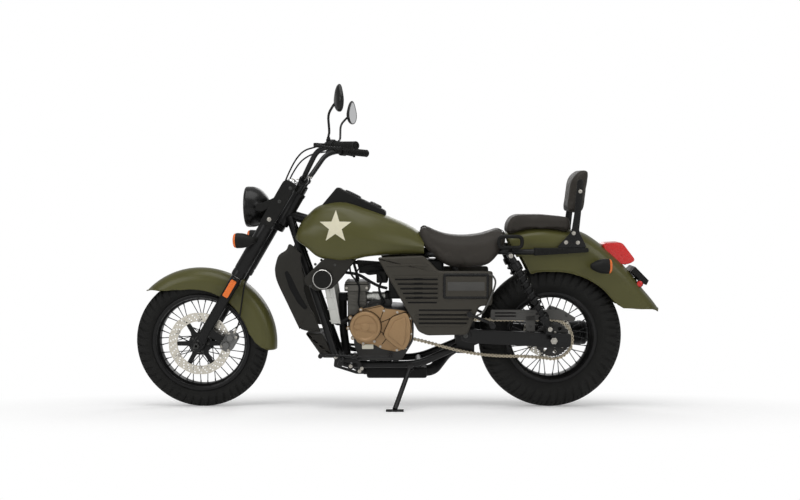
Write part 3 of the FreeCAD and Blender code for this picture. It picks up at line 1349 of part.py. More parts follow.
PLATE_BR_X0 = 1895.0
PLATE_BR_X1 = 1965.0
PLATE_BR_Z0 = 560.0
PLATE_BR_Z1 = 620.0
PLATE_BR_HALF = 62.0
PLATE_BR_T = 10.0


def plate_bracket():
    """The number plate's bracket with its small lamp, standing off the mudguard's rear."""
    arm = prism([(PLATE_BR_X0 - PLATE_BR_T, PLATE_BR_Z1 - PLATE_BR_T), (PLATE_BR_X0 + PLATE_BR_T, PLATE_BR_Z1 + PLATE_BR_T),
                 (PLATE_BR_X1, PLATE_BR_Z0 + PLATE_BR_T), (PLATE_BR_X1 - PLATE_BR_T, PLATE_BR_Z0 - PLATE_BR_T)],
                -PLATE_BR_HALF, PLATE_BR_HALF)
    return arm.cut(rear_guard_solid(REST_GAP))


def rear_indicators():
    """Each shell on a stem to the mudguard's side, lens to the rear."""
    y = REAR_BULLET_Y
    shell = shell_of_turns(BULLET_SHARES, REAR_BULLET_X, y, REAR_BULLET_Z, -BULLET_LENGTH, BULLET_R)
    x = REAR_BULLET_X - BULLET_LENGTH / 2
    stem = rod(V(x, y, REAR_BULLET_Z), V(x, FENDER_HALF / 2, REAR_BULLET_Z), BULLET_STEM_R)
    return both(fuse([shell, stem]).cut(rear_guard_solid(REST_GAP)))


def rear_lenses():
    return both(bullet_lens(REAR_BULLET_X, REAR_BULLET_Y, REAR_BULLET_Z, 1))


# Swingarm, dampers, chain and brake

ARM_Y = 129.0
ARM_T = 22.0
ARM_H = 62.0
ARM_TAIL = 76.0
ARM_PIVOT_R = 34.0
SHOCK_TOP_X = 1351.0
SHOCK_TOP_Z = 685.0
SHOCK_LOW_X = 1523.0
SHOCK_LOW_Z = 372.0
SHOCK_Y = 168.0
SHOCK_R = 24.0
SHOCK_EYE_R = 15.0
SHOCK_EYE_T = 26.0
SHOCK_ROD_R = 9.0
SHOCK_STUD_R = 8.0


def swingarm():
    """Two arms from the pivot tube back past the axle, with the dampers' lower studs."""
    y0, y1 = ARM_Y - ARM_T / 2, ARM_Y + ARM_T / 2
    h = ARM_H / 2
    tail_x = WHEELBASE + ARM_TAIL
    outline = [(PIVOT_X, PIVOT_Z + h), (PIVOT_X - h, PIVOT_Z), (PIVOT_X, PIVOT_Z - h), (WHEELBASE, REAR_AXLE.z - h),
               (tail_x, REAR_AXLE.z - h), (tail_x, REAR_AXLE.z + h), (WHEELBASE, REAR_AXLE.z + h)]
    arm = rounded_prism(outline, y0, y1, h / 2)
    boss_low = V(SHOCK_LOW_X, y0, SHOCK_LOW_Z)
    boss = rod(boss_low, V(SHOCK_LOW_X, y1, SHOCK_LOW_Z), SHOCK_EYE_R)
    web = box(SHOCK_LOW_X - SHOCK_EYE_R, SHOCK_LOW_X + SHOCK_EYE_R, y0, y1, REAR_AXLE.z, SHOCK_LOW_Z)
    stud = rod(boss_low, V(SHOCK_LOW_X, SHOCK_Y + SHOCK_EYE_T / 2, SHOCK_LOW_Z), SHOCK_STUD_R)
    side = fuse([arm, boss, web, stud])
    tube = rod(V(PIVOT_X, -y1, PIVOT_Z), V(PIVOT_X, y1, PIVOT_Z), PIVOT_R)
    slots = tube.cut(box(PIVOT_X - PIVOT_R, PIVOT_X + PIVOT_R, PIVOT_PLATE_Y0 - REST_GAP, PIVOT_PLATE_Y1 + REST_GAP,
                         PIVOT_Z - PIVOT_R, PIVOT_Z + PIVOT_R))
    slots = slots.cut(box(PIVOT_X - PIVOT_R, PIVOT_X + PIVOT_R, -PIVOT_PLATE_Y1 - REST_GAP,
                          -PIVOT_PLATE_Y0 + REST_GAP, PIVOT_Z - PIVOT_R, PIVOT_Z + PIVOT_R))
    bolt = pin(V(PIVOT_X, -y1, PIVOT_Z), V(PIVOT_X, y1, PIVOT_Z), PIVOT_BOLT_R)
    hole = pin(REAR_AXLE - ACROSS * (2 * ARM_Y), REAR_AXLE + ACROSS * (2 * ARM_Y), AXLE_R)
    return fuse([side, mirrored(side), slots, bolt]).cut(hole)


def rear_axle():
    seat = ARM_Y - ARM_T / 2
    face = ARM_Y + ARM_T / 2
    return axle(REAR_AXLE, -CHAIN_Y + SPROCKET_T / 2, REAR_HUB_RIGHT, seat, seat, face + AXLE_END, face)


def shocks():
    """Two spring dampers between the seat rails and the swingarm."""
    top = V(SHOCK_TOP_X, SHOCK_Y, SHOCK_TOP_Z)
    low = V(SHOCK_LOW_X, SHOCK_Y, SHOCK_LOW_Z)
    along = low - top
    along.normalize()
    pieces = [rod(top + along * (2 * SHOCK_EYE_R), low - along * (2 * SHOCK_EYE_R), SHOCK_R),
              rod(top, low, SHOCK_ROD_R)]
    half = ACROSS * (SHOCK_EYE_T / 2)
    for p in (top, low):
        pieces.append(rod(p - half, p + half, SHOCK_EYE_R))
    damper = fuse(pieces).cut(pin(low - half - half, low + half + half, SHOCK_STUD_R))
    stud = rod(V(SHOCK_TOP_X, SEAT_RAIL_END_Y, SHOCK_TOP_Z), top, SHOCK_STUD_R)
    return both(fuse([damper, stud]).cut(seat_rails()))


CHAIN_PITCH = 15.875
CHAIN_PLATE_H = 15.0
CHAIN_WAIST_SHARE = 0.72
CHAIN_SAG = 26.0
SPROCKET_R = 86.0
SPROCKET_T = 7.0
SPROCKET_TEETH = 34
SPROCKET_TIP_GAP = 3.0
SPROCKET_ROOT = 7.0


def chain_centre_line():
    """The chain's pitch line as a list of points and outward normals, one per pin."""
    span = V(WHEELBASE - DRIVE_X, 0, REAR_AXLE.z - DRIVE_Z)
    tilt = math.atan2(span.z, span.x)
    spread = math.acos((DRIVE_R - SPROCKET_R) / span.Length)
    up_a, low_a = tilt + spread, tilt - spread
    run = math.sqrt(span.Length ** 2 - (SPROCKET_R - DRIVE_R) ** 2)
    rear_arc = (2 * math.pi - 2 * spread) * SPROCKET_R
    front_arc = 2 * spread * DRIVE_R
    total = 2 * run + rear_arc + front_arc
    count = 2 * round(total / CHAIN_PITCH / 2)
    pins = []
    for i in range(count):
        d = total * i / count
        if d < run:
            t = d / run
            foot = V(DRIVE_X, 0, DRIVE_Z) + V(math.cos(up_a), 0, math.sin(up_a)) * DRIVE_R
            tip = REAR_AXLE + V(math.cos(up_a), 0, math.sin(up_a)) * SPROCKET_R
            pins.append((foot + (tip - foot) * t, up_a))
        elif d < run + rear_arc:
            a = up_a - (d - run) / SPROCKET_R
            pins.append((REAR_AXLE + V(math.cos(a), 0, math.sin(a)) * SPROCKET_R, a))
        elif d < 2 * run + rear_arc:
            t = (d - run - rear_arc) / run
            foot = REAR_AXLE + V(math.cos(low_a), 0, math.sin(low_a)) * SPROCKET_R
            tip = V(DRIVE_X, 0, DRIVE_Z) + V(math.cos(low_a), 0, math.sin(low_a)) * DRIVE_R
            sag = V(0, 0, -CHAIN_SAG * math.sin(math.pi * t) ** 2)
            pins.append((foot + (tip - foot) * t + sag, low_a))
        else:
            a = low_a - (d - 2 * run - rear_arc) / DRIVE_R
            pins.append((V(DRIVE_X, 0, DRIVE_Z) + V(math.cos(a), 0, math.sin(a)) * DRIVE_R, a))
    return pins


def chain():
    """The roller chain as one band with a scallop at every link."""
    pins = chain_centre_line()
    loops = []
    for sign in (1, -1):
        loop = []
        for i, (p, a) in enumerate(pins):
            q, b = pins[(i + 1) % len(pins)]
            half = CHAIN_PLATE_H / 2
            loop.append(p + V(math.cos(a), 0, math.sin(a)) * (sign * half))
            gap = a - b
            turn = b + math.atan2(math.sin(gap), math.cos(gap)) / 2
            waist = (p + q) / 2 + V(math.cos(turn), 0, math.sin(turn)) * (sign * half * CHAIN_WAIST_SHARE)
            loop.append(waist)
        for p in loop:
            p.y = CHAIN_Y - CHAIN_W / 2
        loops.append(Part.Face(Part.makePolygon(loop + loop[:1])))
    return loops[0].cut(loops[1]).extrude(ACROSS * CHAIN_W)


def rear_sprocket():
    """The toothed wheel inside the chain, with lightening holes."""
    tip = SPROCKET_R - CHAIN_PLATE_H / 2 - SPROCKET_TIP_GAP
    loop = []
    for i in range(2 * SPROCKET_TEETH):
        r = tip if i % 2 else tip - SPROCKET_ROOT
        loop.append(around(REAR_AXLE, r, CHAIN_Y - SPROCKET_T / 2, i * 180.0 / SPROCKET_TEETH))
    plate = Part.Face(Part.makePolygon(loop + loop[:1])).extrude(ACROSS * SPROCKET_T)
    boss = rod(V(WHEELBASE, CHAIN_Y, REAR_AXLE.z), V(WHEELBASE, -REAR_HUB_LEFT, REAR_AXLE.z), HUB_R)
    bore = pin(REAR_AXLE + ACROSS * (2 * CHAIN_Y), REAR_AXLE, AXLE_R + RUN_GAP)
    return fuse([plate, boss]).cut(bore)


GUARD_PLATE_X0 = 1272.0
GUARD_PLATE_LENGTH = 370.0
GUARD_PLATE_Z0 = 398.0
GUARD_PLATE_HEIGHT = 52.0
GUARD_PLATE_Y0 = -122.0
GUARD_PLATE_T = 6.0
GUARD_PLATE_SHARES = [(0.0, 0.16), (0.0, 1.0), (0.84, 1.0), (1.0, 0.30), (0.98, 0.0), (0.69, 0.18), (0.5, 0.05)]
GUARD_LEG_X = 1445.0


def chain_guard():
    """The plate over the chain's upper run, on a leg to the swingarm."""
    plate = prism(from_shares(GUARD_PLATE_SHARES, GUARD_PLATE_X0, GUARD_PLATE_Z0, GUARD_PLATE_LENGTH,
                              GUARD_PLATE_HEIGHT), GUARD_PLATE_Y0, GUARD_PLATE_Y0 + GUARD_PLATE_T)
    slope = (PIVOT_Z - REAR_AXLE.z) / (WHEELBASE - PIVOT_X)
    x0, x1 = GUARD_LEG_X - ARM_T, GUARD_LEG_X + ARM_T
    seat = REAR_AXLE.z + ARM_H / 2 + REST_GAP
    top = GUARD_PLATE_Z0 + GUARD_PLATE_HEIGHT / 2
    leg = prism([(x0, top), (x0, seat + slope * (WHEELBASE - x0)), (x1, seat + slope * (WHEELBASE - x1)), (x1, top)],
                GUARD_PLATE_Y0, GUARD_PLATE_Y0 + GUARD_PLATE_T)
    return fuse([plate, leg])


CAL_REAR_DEG = 68.0
CAL_REAR_L = 90.0
CAL_REAR_H = 46.0
CAL_REAR_HALF_T = 24.0


def rear_caliper():
    """The caliper over the rear disc, on an arm from the axle's collar."""
    y0, y1 = REAR_DISC_Y - CAL_REAR_HALF_T, REAR_DISC_Y + CAL_REAR_HALF_T
    r0 = REAR_DISC_INNER_R
    body = box(-CAL_REAR_L / 2, CAL_REAR_L / 2, y0, y1, r0, r0 + CAL_REAR_H + DISC_CLEARANCE)
    thick = DISC_T + 2 * DISC_CLEARANCE
    body = body.cut(box(-CAL_REAR_L, CAL_REAR_L, REAR_DISC_Y - thick / 2, REAR_DISC_Y + thick / 2, 0,
                        REAR_DISC_R + DISC_CLEARANCE))
    seat = ARM_Y - ARM_T / 2
    arm = box(-AXLE_COLLAR_R, AXLE_COLLAR_R, REAR_DISC_Y + thick / 2, REAR_DISC_Y + thick / 2 + 2 * DISC_T, 0,
              r0 + CAL_REAR_H / 2)
    eye = rod(V(0, REAR_DISC_Y + thick / 2, 0), V(0, REAR_DISC_Y + thick / 2 + 2 * DISC_T, 0), 2 * AXLE_COLLAR_R)
    room = carrier_room(V(0, 0, 0), REAR_DISC_Y, REAR_DISC_INNER_R, CAL_REAR_HALF_T)
    piece = fuse([body, arm, eye]).cut([room, pin(V(0, 0, 0), V(0, seat, 0), AXLE_COLLAR_R)])
    piece.rotate(V(0, 0, 0), ACROSS, CAL_REAR_DEG - 90)
    piece.translate(REAR_AXLE)
    return piece


# Exhaust

HEADER_R = 18.0
HEADER_X = 626.0
HEADER_Z0 = 512.0
PORT_LAP = 6.0
BOX_X0 = 730.0
BOX_X1 = 1000.0
BOX_Y0 = -46.0
BOX_Y1 = 70.0
BOX_Z0 = 132.0
BOX_Z1 = 184.0
BOX_ROUND = 14.0
LINK_R = 25.0
LINK_Y = 124.0
SILENCER_X0 = 1330.0
SILENCER_X1 = 1760.0
SILENCER_Y = 198.0
SILENCER_Z = 303.0
SILENCER_R = 55.0
SILENCER_SHARES = [(0.0, 0.48), (0.10, 0.86), (0.22, 1.0), (1.0, 1.0), (1.03, 0.72)]
OUTLET_R = 20.0
OUTLET_DEPTH = 60.0
EXHAUST_BEND = 55.0


def exhaust():
    """Header down and under the engine, chamber, link pipe and silencer on the right."""
    middle_y = (BOX_Y0 + BOX_Y1) / 2
    middle_z = (BOX_Z0 + BOX_Z1) / 2
    port = box(HEADER_X - HEADER_R, CYL_X0, -HEADER_R - PORT_LAP, HEADER_R + PORT_LAP, HEADER_Z0 - 2 * HEADER_R,
               HEADER_Z0)
    header = bent_tube([V(HEADER_X, 0, HEADER_Z0 - HEADER_R), V(HEADER_X, 0, CASE_Z0 + CASE_HEIGHT / 2),
                        V(HEADER_X + HEADER_R, middle_y, RAIL_Z), V(BOX_X0 - HEADER_R, middle_y, middle_z),
                        V(BOX_X0 + HEADER_R, middle_y, middle_z)], HEADER_R, EXHAUST_BEND)
    chamber = rounded_prism([(BOX_X0, BOX_Z0), (BOX_X1, BOX_Z0), (BOX_X1, BOX_Z1), (BOX_X0, BOX_Z1)], BOX_Y0,
                            BOX_Y1, BOX_ROUND)
    link = bent_tube([V(BOX_X1 - 2 * LINK_R, middle_y, middle_z), V(BOX_X1 + LINK_R, middle_y, middle_z),
                      V(BOX_X1 + 4 * LINK_R, LINK_Y, middle_z + 3 * LINK_R),
                      V(SILENCER_X0 - LINK_R, SILENCER_Y, SILENCER_Z), V(SILENCER_X0 + LINK_R, SILENCER_Y, SILENCER_Z)],
                     LINK_R, EXHAUST_BEND)
    can = [(SILENCER_X0 + a * (SILENCER_X1 - SILENCER_X0 - LINK_R), b * SILENCER_R) for a, b in SILENCER_SHARES]
    loop = [V(x, SILENCER_Y, SILENCER_Z + r) for x, r in can]
    feet = [V(can[-1][0], SILENCER_Y, SILENCER_Z), V(can[0][0], SILENCER_Y, SILENCER_Z)]
    body = Part.Face(Part.makePolygon(loop + feet + loop[:1])).revolve(feet[1], REAR, 360)
    end_x = can[-1][0]
    outlet = pin(V(end_x - OUTLET_DEPTH, SILENCER_Y, SILENCER_Z), V(end_x + OVERRUN, SILENCER_Y, SILENCER_Z), OUTLET_R)
    return fuse([port, header, chamber, link, body]).cut(outlet)


# Footpegs and foot controls

PEG_X = 632.0
PEG_Z = 235.0
PEG_Y1 = 250.0
PEG_R = 12.0
BRACKET_X0 = 593.0
BRACKET_LENGTH = 134.0
BRACKET_Z0 = 171.0
BRACKET_HEIGHT = 90.0
BRACKET_Y0 = 138.0
BRACKET_T = 8.0
BRACKET_SHARES = [(0.06, 1.0), (0.0, 0.36), (0.75, 0.0), (1.0, 0.0), (0.86, 0.66)]
BRACKET_ARM_X = 668.0
BRACKET_ARM_R = 14.0
REAR_PEG_X = 1273.0
REAR_PEG_Z = 395.0
REAR_PEG_BR_Z = 434.0
REAR_PEG_BR_X = 1180.0
REAR_PEG_Y = 160.0


def peg(x, root_y, z):
    """A round peg on a thin root."""
    y0 = root_y + PEG_R
    return [rod(V(x, root_y, z), V(x, y0, z), PEG_R / 2), rod(V(x, y0, z), V(x, PEG_Y1, z), PEG_R)]


def footpegs():
    """The rider's pegs on their brackets and the passenger's pegs on arms from the pivot plates."""
    bracket = prism(from_shares(BRACKET_SHARES, BRACKET_X0, BRACKET_Z0, BRACKET_LENGTH, BRACKET_HEIGHT), BRACKET_Y0,
                    BRACKET_Y0 + BRACKET_T)
    arm = rod(V(BRACKET_ARM_X, RAIL_Y + RAIL_R + REST_GAP, RAIL_Z), V(BRACKET_ARM_X, BRACKET_Y0 + BRACKET_T, RAIL_Z),
              BRACKET_ARM_R)
    front = fuse([bracket, arm] + peg(PEG_X, BRACKET_Y0, PEG_Z))
    root = V(REAR_PEG_BR_X, PIVOT_PLATE_Y1 + REST_GAP, REAR_PEG_BR_Z)
    out = V(REAR_PEG_BR_X, REAR_PEG_Y + PEG_R / 2, REAR_PEG_BR_Z)
    strut = rod(V(REAR_PEG_BR_X, REAR_PEG_Y, REAR_PEG_BR_Z), V(REAR_PEG_X, REAR_PEG_Y, REAR_PEG_Z), PEG_R / 2)
    rear = fuse([rod(root, out, PEG_R), strut] + peg(REAR_PEG_X, REAR_PEG_Y, REAR_PEG_Z))
    return both(front) + both(rear)


SHIFT_X = 841.0
SHIFT_Z = 252.0
SHIFT_Y = 172.0
SHIFT_R = 4.5
PEDAL_X = 690.0
PEDAL_TIP_X = 545.0
PEDAL_TIP_Z = 262.0
PEDAL_R = 6.0
PEDAL_PAD_R = 10.0
PEDAL_PAD_L = 48.0


def foot_controls():
    """The gear lever with its linkage on the left, and the brake pedal on the right."""
    shaft = rod(V(SHIFT_X, CASE_LEFT_Y - REST_GAP, SHIFT_Z), V(SHIFT_X, -SHIFT_Y, SHIFT_Z), PEDAL_R)
    link = rod(V(SHIFT_X, -SHIFT_Y, SHIFT_Z), V(PEDAL_X, -SHIFT_Y, SHIFT_Z), SHIFT_R)
    lever = rod(V(PEDAL_X, -SHIFT_Y, SHIFT_Z), V(PEDAL_TIP_X, -SHIFT_Y, PEDAL_TIP_Z), PEDAL_R)
    pad = rod(V(PEDAL_TIP_X, -SHIFT_Y, PEDAL_TIP_Z), V(PEDAL_TIP_X, -SHIFT_Y - PEDAL_PAD_L, PEDAL_TIP_Z), PEDAL_PAD_R)
    gear = fuse([shaft, link, lever, pad])
    root = rod(V(PEDAL_X, BRACKET_Y0 + BRACKET_T + REST_GAP, SHIFT_Z - PEDAL_R), V(PEDAL_X, SHIFT_Y, SHIFT_Z - PEDAL_R),
               PEDAL_R)
    pedal = rod(V(PEDAL_X, SHIFT_Y, SHIFT_Z - PEDAL_R), V(PEDAL_TIP_X, SHIFT_Y, PEDAL_TIP_Z), PEDAL_R)
    foot = rod(V(PEDAL_TIP_X, SHIFT_Y, PEDAL_TIP_Z), V(PEDAL_TIP_X, SHIFT_Y + PEDAL_PAD_L, PEDAL_TIP_Z), PEDAL_PAD_R)
    return [gear, fuse([root, pedal, foot])]


# Every node's shape, upright

def all_pieces():
    body = tank_body()
    front_carrier = disc_carrier(FRONT_AXLE, FRONT_DISC_Y, FRONT_DISC_INNER_R)
    rear_carrier = disc_carrier(REAR_AXLE, REAR_DISC_Y, REAR_DISC_INNER_R)
    return {
        "front_tyre": tyre(FRONT_AXLE, FRONT_TYRE_R, FRONT_TYRE_W, FRONT_RIM_R),
        "front_rim": spoked_rim(FRONT_AXLE, FRONT_TYRE_W, FRONT_RIM_R, FRONT_HUB_HALF, FRONT_HUB_HALF, front_carrier),
        "front_disc": disc(FRONT_AXLE, FRONT_DISC_Y, FRONT_DISC_R, FRONT_DISC_INNER_R),
        "rear_tyre": tyre(REAR_AXLE, REAR_TYRE_R, REAR_TYRE_W, REAR_RIM_R),
        "rear_rim": spoked_rim(REAR_AXLE, REAR_TYRE_W, REAR_RIM_R, REAR_HUB_LEFT, REAR_HUB_RIGHT, rear_carrier),
        "rear_disc": disc(REAR_AXLE, REAR_DISC_Y, REAR_DISC_R, REAR_DISC_INNER_R),
        "rear_sprocket": rear_sprocket(),
        "front_axle": front_axle(),
        "fork_sliders": fork_sliders(),
        "fork_tubes": fork_tubes(),
        "fork_shrouds": fork_shrouds(),
        "fork_yokes": yokes(),
        "fork_plates": fork_plates(),
        "headlight": headlight(),
        "headlight_lens": headlight_lens(),
        "front_indicators": front_indicators(),
        "amber_lenses": amber_lenses(),
        "front_mudguard": front_guard(),
        "front_caliper": front_caliper(),
        "handlebar": handlebar(),
        "grips": grips(),
        "hand_controls": hand_controls(),
        "mirrors": mirrors(),
        "mirror_glasses": mirror_glasses(),
        "control_cables": control_cables(),
        "frame": frame_shell(),
        "side_stand": side_stand(),
        "engine_case": engine_case(),
        "engine_covers": engine_covers(),
        "cylinder": cylinder(),
        "intake": intake(),
        "radiator": radiator(),
        "fuel_tank": fuel_tank(body),
        "tank_console": tank_console(body),
        "rider_seat": rider_seat(body),
        "pillion_seat": pillion_seat(),
        "backrest_pad": backrest_pad(),
        "backrest_frame": backrest_frame(),
        "side_cowls": side_cowls(),
        "side_covers": side_covers(),
        "rear_mudguard": rear_guard(),
        "mudguard_rails": fender_rails(),
        "tail_light": [tail_light()] + red_reflectors(),
        "plate_bracket": plate_bracket(),
        "rear_indicators": rear_indicators(),
        "rear_lenses": rear_lenses(),
        "swingarm": swingarm(),
        "rear_axle": rear_axle(),
        "shocks": shocks(),
        "chain": chain(),
        "chain_guard": chain_guard(),
        "rear_caliper": rear_caliper(),
        "exhaust": exhaust(),
        "footpegs": footpegs(),
        "foot_controls": foot_controls(),
    }


# Lean the machine onto its stand and set the origin under the middle of its box

BOX_STEP = 0.2


def leaned(shape):
    copy = Part.makeCompound(shape) if isinstance(shape, list) else shape.copy()
    copy.rotate(V(0, 0, 0), REAR, LEAN_DEG)
    return copy


def middle(shapes):
    """The middle of all the shapes' common box, seen from above."""
    points = [p for shape in shapes for p in shape.tessellate(BOX_STEP)[0]]
    xs = [p.x for p in points]
    ys = [p.y for p in points]
    return V((min(xs) + max(xs)) / 2, (min(ys) + max(ys)) / 2, 0)


def main():
    os.makedirs("parts", exist_ok=True)
    shapes = {name: leaned(shape) for name, shape in all_pieces().items()}
    shift = middle(shapes.values())
    print("origin shift", shift)
    for name, shape in shapes.items():
        shape.translate(-shift)
        shape.exportStep("parts/" + name + ".step")


main()
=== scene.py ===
# %% Load the construction
import json
import math

import bmesh
import bpy
import numpy as np
from mathutils import Matrix, Vector


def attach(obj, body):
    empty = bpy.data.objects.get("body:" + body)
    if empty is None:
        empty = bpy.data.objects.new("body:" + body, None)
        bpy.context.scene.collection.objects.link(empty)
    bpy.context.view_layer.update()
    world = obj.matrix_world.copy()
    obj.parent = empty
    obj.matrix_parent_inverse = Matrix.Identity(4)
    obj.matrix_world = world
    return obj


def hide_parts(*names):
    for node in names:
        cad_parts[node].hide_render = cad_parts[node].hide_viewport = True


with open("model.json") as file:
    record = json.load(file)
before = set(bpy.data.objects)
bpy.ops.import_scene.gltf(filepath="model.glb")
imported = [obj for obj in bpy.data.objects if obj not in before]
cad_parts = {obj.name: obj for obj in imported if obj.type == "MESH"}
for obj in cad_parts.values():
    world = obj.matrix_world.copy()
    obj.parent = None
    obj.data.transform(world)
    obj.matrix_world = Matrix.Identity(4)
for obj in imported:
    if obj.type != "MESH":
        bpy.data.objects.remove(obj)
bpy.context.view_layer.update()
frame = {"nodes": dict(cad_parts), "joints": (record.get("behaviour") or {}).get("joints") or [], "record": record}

WORLD_LIGHT = 0.28
GLOSS_SKY = 0.36

# %% [markdown]
# # A cruiser motorcycle on its side stand
# The construction brings every piece at its true size: tubes, wheels, tank, seats and joints. This lesson
# dresses it. Each piece is drawn in the machine's own upright frame in millimetres, X from the front axle to
# the rear, Y to the rider's right and Z up from the ground, and one function leans it onto the stand. That
# keeps the drawing as simple as a side view, although the finished machine stands 8 degrees over.

# %% Lean a drawn point onto the stand
LEAN = math.radians(8.0)
WHEELBASE = 1545.0
FRONT_AXLE = np.array([0.0, 0.0, 292.0])
REAR_AXLE = np.array([WHEELBASE, 0.0, 317.0])
JOINTS = {joint["name"]: joint for joint in frame["joints"]}
TO_LEANED = np.array([[1, 0, 0], [0, math.cos(LEAN), -math.sin(LEAN)], [0, math.sin(LEAN), math.cos(LEAN)]])
SHIFT = TO_LEANED @ FRONT_AXLE / 1000 - np.array(JOINTS["front_wheel_spin"]["pos_m"])


def stand_over(points):
    """Upright millimetres to leaned metres: turn about X by the lean, divide by 1000, take off the shift."""
    return np.asarray(points, float) @ TO_LEANED.T / 1000 - SHIFT


print("shift of the drawing frame", SHIFT.round(4))

# %% [markdown]
# ## A surface is a grid of points
# A tank, a tube, a tyre and a turned cover are all one thing to a mesh: rows of points joined by four-sided
# faces. So one small class holds points and faces, and each maker below only works out where a grid's points
# lie. Working on whole arrays keeps a tyre of fifty thousand points as short as a tube of twenty.

# %% Shapes made of grids
class Shape:
    """Points in upright millimetres, and faces as lists of point numbers."""

    def __init__(self, points, faces):
        self.points = np.asarray(points, float).reshape(-1, 3)
        self.faces = faces

    def __add__(self, other):
        shift = len(self.points)
        return Shape(np.vstack([self.points, other.points]), self.faces + [f + shift for f in other.faces])

    def moved(self, offset):
        return Shape(self.points + np.asarray(offset, float), self.faces)

    def mirrored(self):
        """The same shape on the machine's other side: Y changes sign and each face runs the other way."""
        return Shape(self.points * [1, -1, 1], [f[::-1] for f in self.faces])

    def both(self):
        return self + self.mirrored()


def join(shapes):
    """One shape from many."""
    shapes = list(shapes)
    total = shapes[0]
    for shape in shapes[1:]:
        total = total + shape
    return total


def surface(grid, close_rows=False, close_columns=True, caps=True):
    """A grid of points (rows, columns, 3) as faces between each point, its right neighbour and the next row.
    Closed columns make each row a loop, and caps close the first and last loop."""
    rows, columns = grid.shape[:2]
    number = np.arange(rows * columns).reshape(rows, columns)
    wrap_rows = np.vstack([number, number[:1]]) if close_rows else number
    wrap = np.hstack([wrap_rows, wrap_rows[:, :1]]) if close_columns else wrap_rows
    quads = np.stack([wrap[:-1, :-1], wrap[:-1, 1:], wrap[1:, 1:], wrap[1:, :-1]], -1).reshape(-1, 4)
    faces = list(quads)
    if caps and close_columns and not close_rows:
        faces += [number[0][::-1], number[-1]]
    return Shape(grid.reshape(-1, 3), faces)


def spline(points, steps):
    """A smooth line through every given point: between two of them, the cubic whose slope at each point is
    half the way from the point before to the point after."""
    p = np.asarray(points, float)
    ends = np.vstack([2 * p[:1] - p[1:2], p, 2 * p[-1:] - p[-2:-1]])
    slope = (ends[2:] - ends[:-2]) / 2
    t = np.linspace(0, 1, steps, endpoint=False)[None, :, None]
    a, b, m, n = p[:-1, None], p[1:, None], slope[:-1, None], slope[1:, None]
    near, far = 2 * t**3 - 3 * t**2 + 1, 3 * t**2 - 2 * t**3
    line = near * a + (t**3 - 2 * t**2 + t) * m + far * b + (t**3 - t**2) * n
    return np.vstack([line.reshape(-1, p.shape[1]), p[-1:]])


def eased(points, radius, closed=True, steps=5):
    """An outline whose corners are replaced by quadratic bows that start and end at most radius away."""
    p = np.asarray(points, float)
    before, after = np.roll(p, 1, 0), np.roll(p, -1, 0)
    sizes = [np.linalg.norm(q - p, axis=1) for q in (before, after)]
    reach = np.minimum(radius, 0.45 * np.minimum(sizes[0], sizes[1]))[:, None]
    start = p + (before - p) * reach / sizes[0][:, None]
    end = p + (after - p) * reach / sizes[1][:, None]
    t = np.linspace(0, 1, steps)[None, :, None]
    bows = (1 - t) ** 2 * start[:, None] + 2 * t * (1 - t) * p[:, None] + t**2 * end[:, None]
    if closed:
        return bows.reshape(-1, p.shape[1])
    return np.vstack([p[:1], bows[1:-1].reshape(-1, p.shape[1]), p[-1:]])


def along(line):
    """Unit directions along a line of points, by differences of neighbours."""
    way = np.gradient(np.asarray(line, float), axis=0)
    return way / np.linalg.norm(way, axis=1, keepdims=True)


def tube(line, radius, sides=16, caps=True, flat=1.0):
    """A round bar along a line: each point carries a circle square to the line's direction. radius is one
    number or one for each point, and flat squeezes the circle across its second direction."""
    line = np.asarray(line, float)
    way = along(line)
    axes = np.eye(3)[np.argsort(np.abs(way).max(0))[:1]]
    one = np.cross(way, axes)
    one /= np.linalg.norm(one, axis=1, keepdims=True)
    two = np.cross(way, one)
    turn = np.linspace(0, 2 * math.pi, sides, endpoint=False)[None, :, None]
    size = np.broadcast_to(np.asarray(radius, float), len(line))[:, None, None]
    grid = line[:, None] + size * (np.cos(turn) * one[:, None] + flat * np.sin(turn) * two[:, None])
    return surface(grid, caps=caps)


def bars(starts, ends, radius, sides=8):
    """Many straight round bars at once, from each start to its end."""
    starts, ends = np.atleast_2d(starts).astype(float), np.atleast_2d(ends).astype(float)
    way = ends - starts
    way /= np.linalg.norm(way, axis=1, keepdims=True)
    helper = np.where(np.abs(way[:, :1]) < 0.7, [[1.0, 0, 0]], [[0, 0, 1.0]])
    one = np.cross(way, helper)
    one /= np.linalg.norm(one, axis=1, keepdims=True)
    two = np.cross(way, one)
    turn = np.linspace(0, 2 * math.pi, sides, endpoint=False)[None, :, None]
    ring = radius * (np.cos(turn) * one[:, None] + np.sin(turn) * two[:, None])
    grid = np.stack([starts[:, None] + ring, ends[:, None] + ring], 1)
    number = np.arange(grid.size // 3).reshape(len(starts), 2, sides)
    near, far = number[:, 0], number[:, 1]
    quads = np.stack([near, np.roll(near, -1, 1), np.roll(far, -1, 1), far], -1).reshape(-1, 4)
    return Shape(grid.reshape(-1, 3), list(quads) + list(near[:, ::-1]) + list(far))


def hose(points, radius, sides):
    """A smooth tube through points."""
    return tube(spline(points, 8), radius, sides)


def bent(points, bend, radius, sides, steps=9):
    """A straight tube with a bend at each inner point, which starts and ends at most bend away."""
    return tube(eased(points, bend, closed=False, steps=steps), radius, sides)


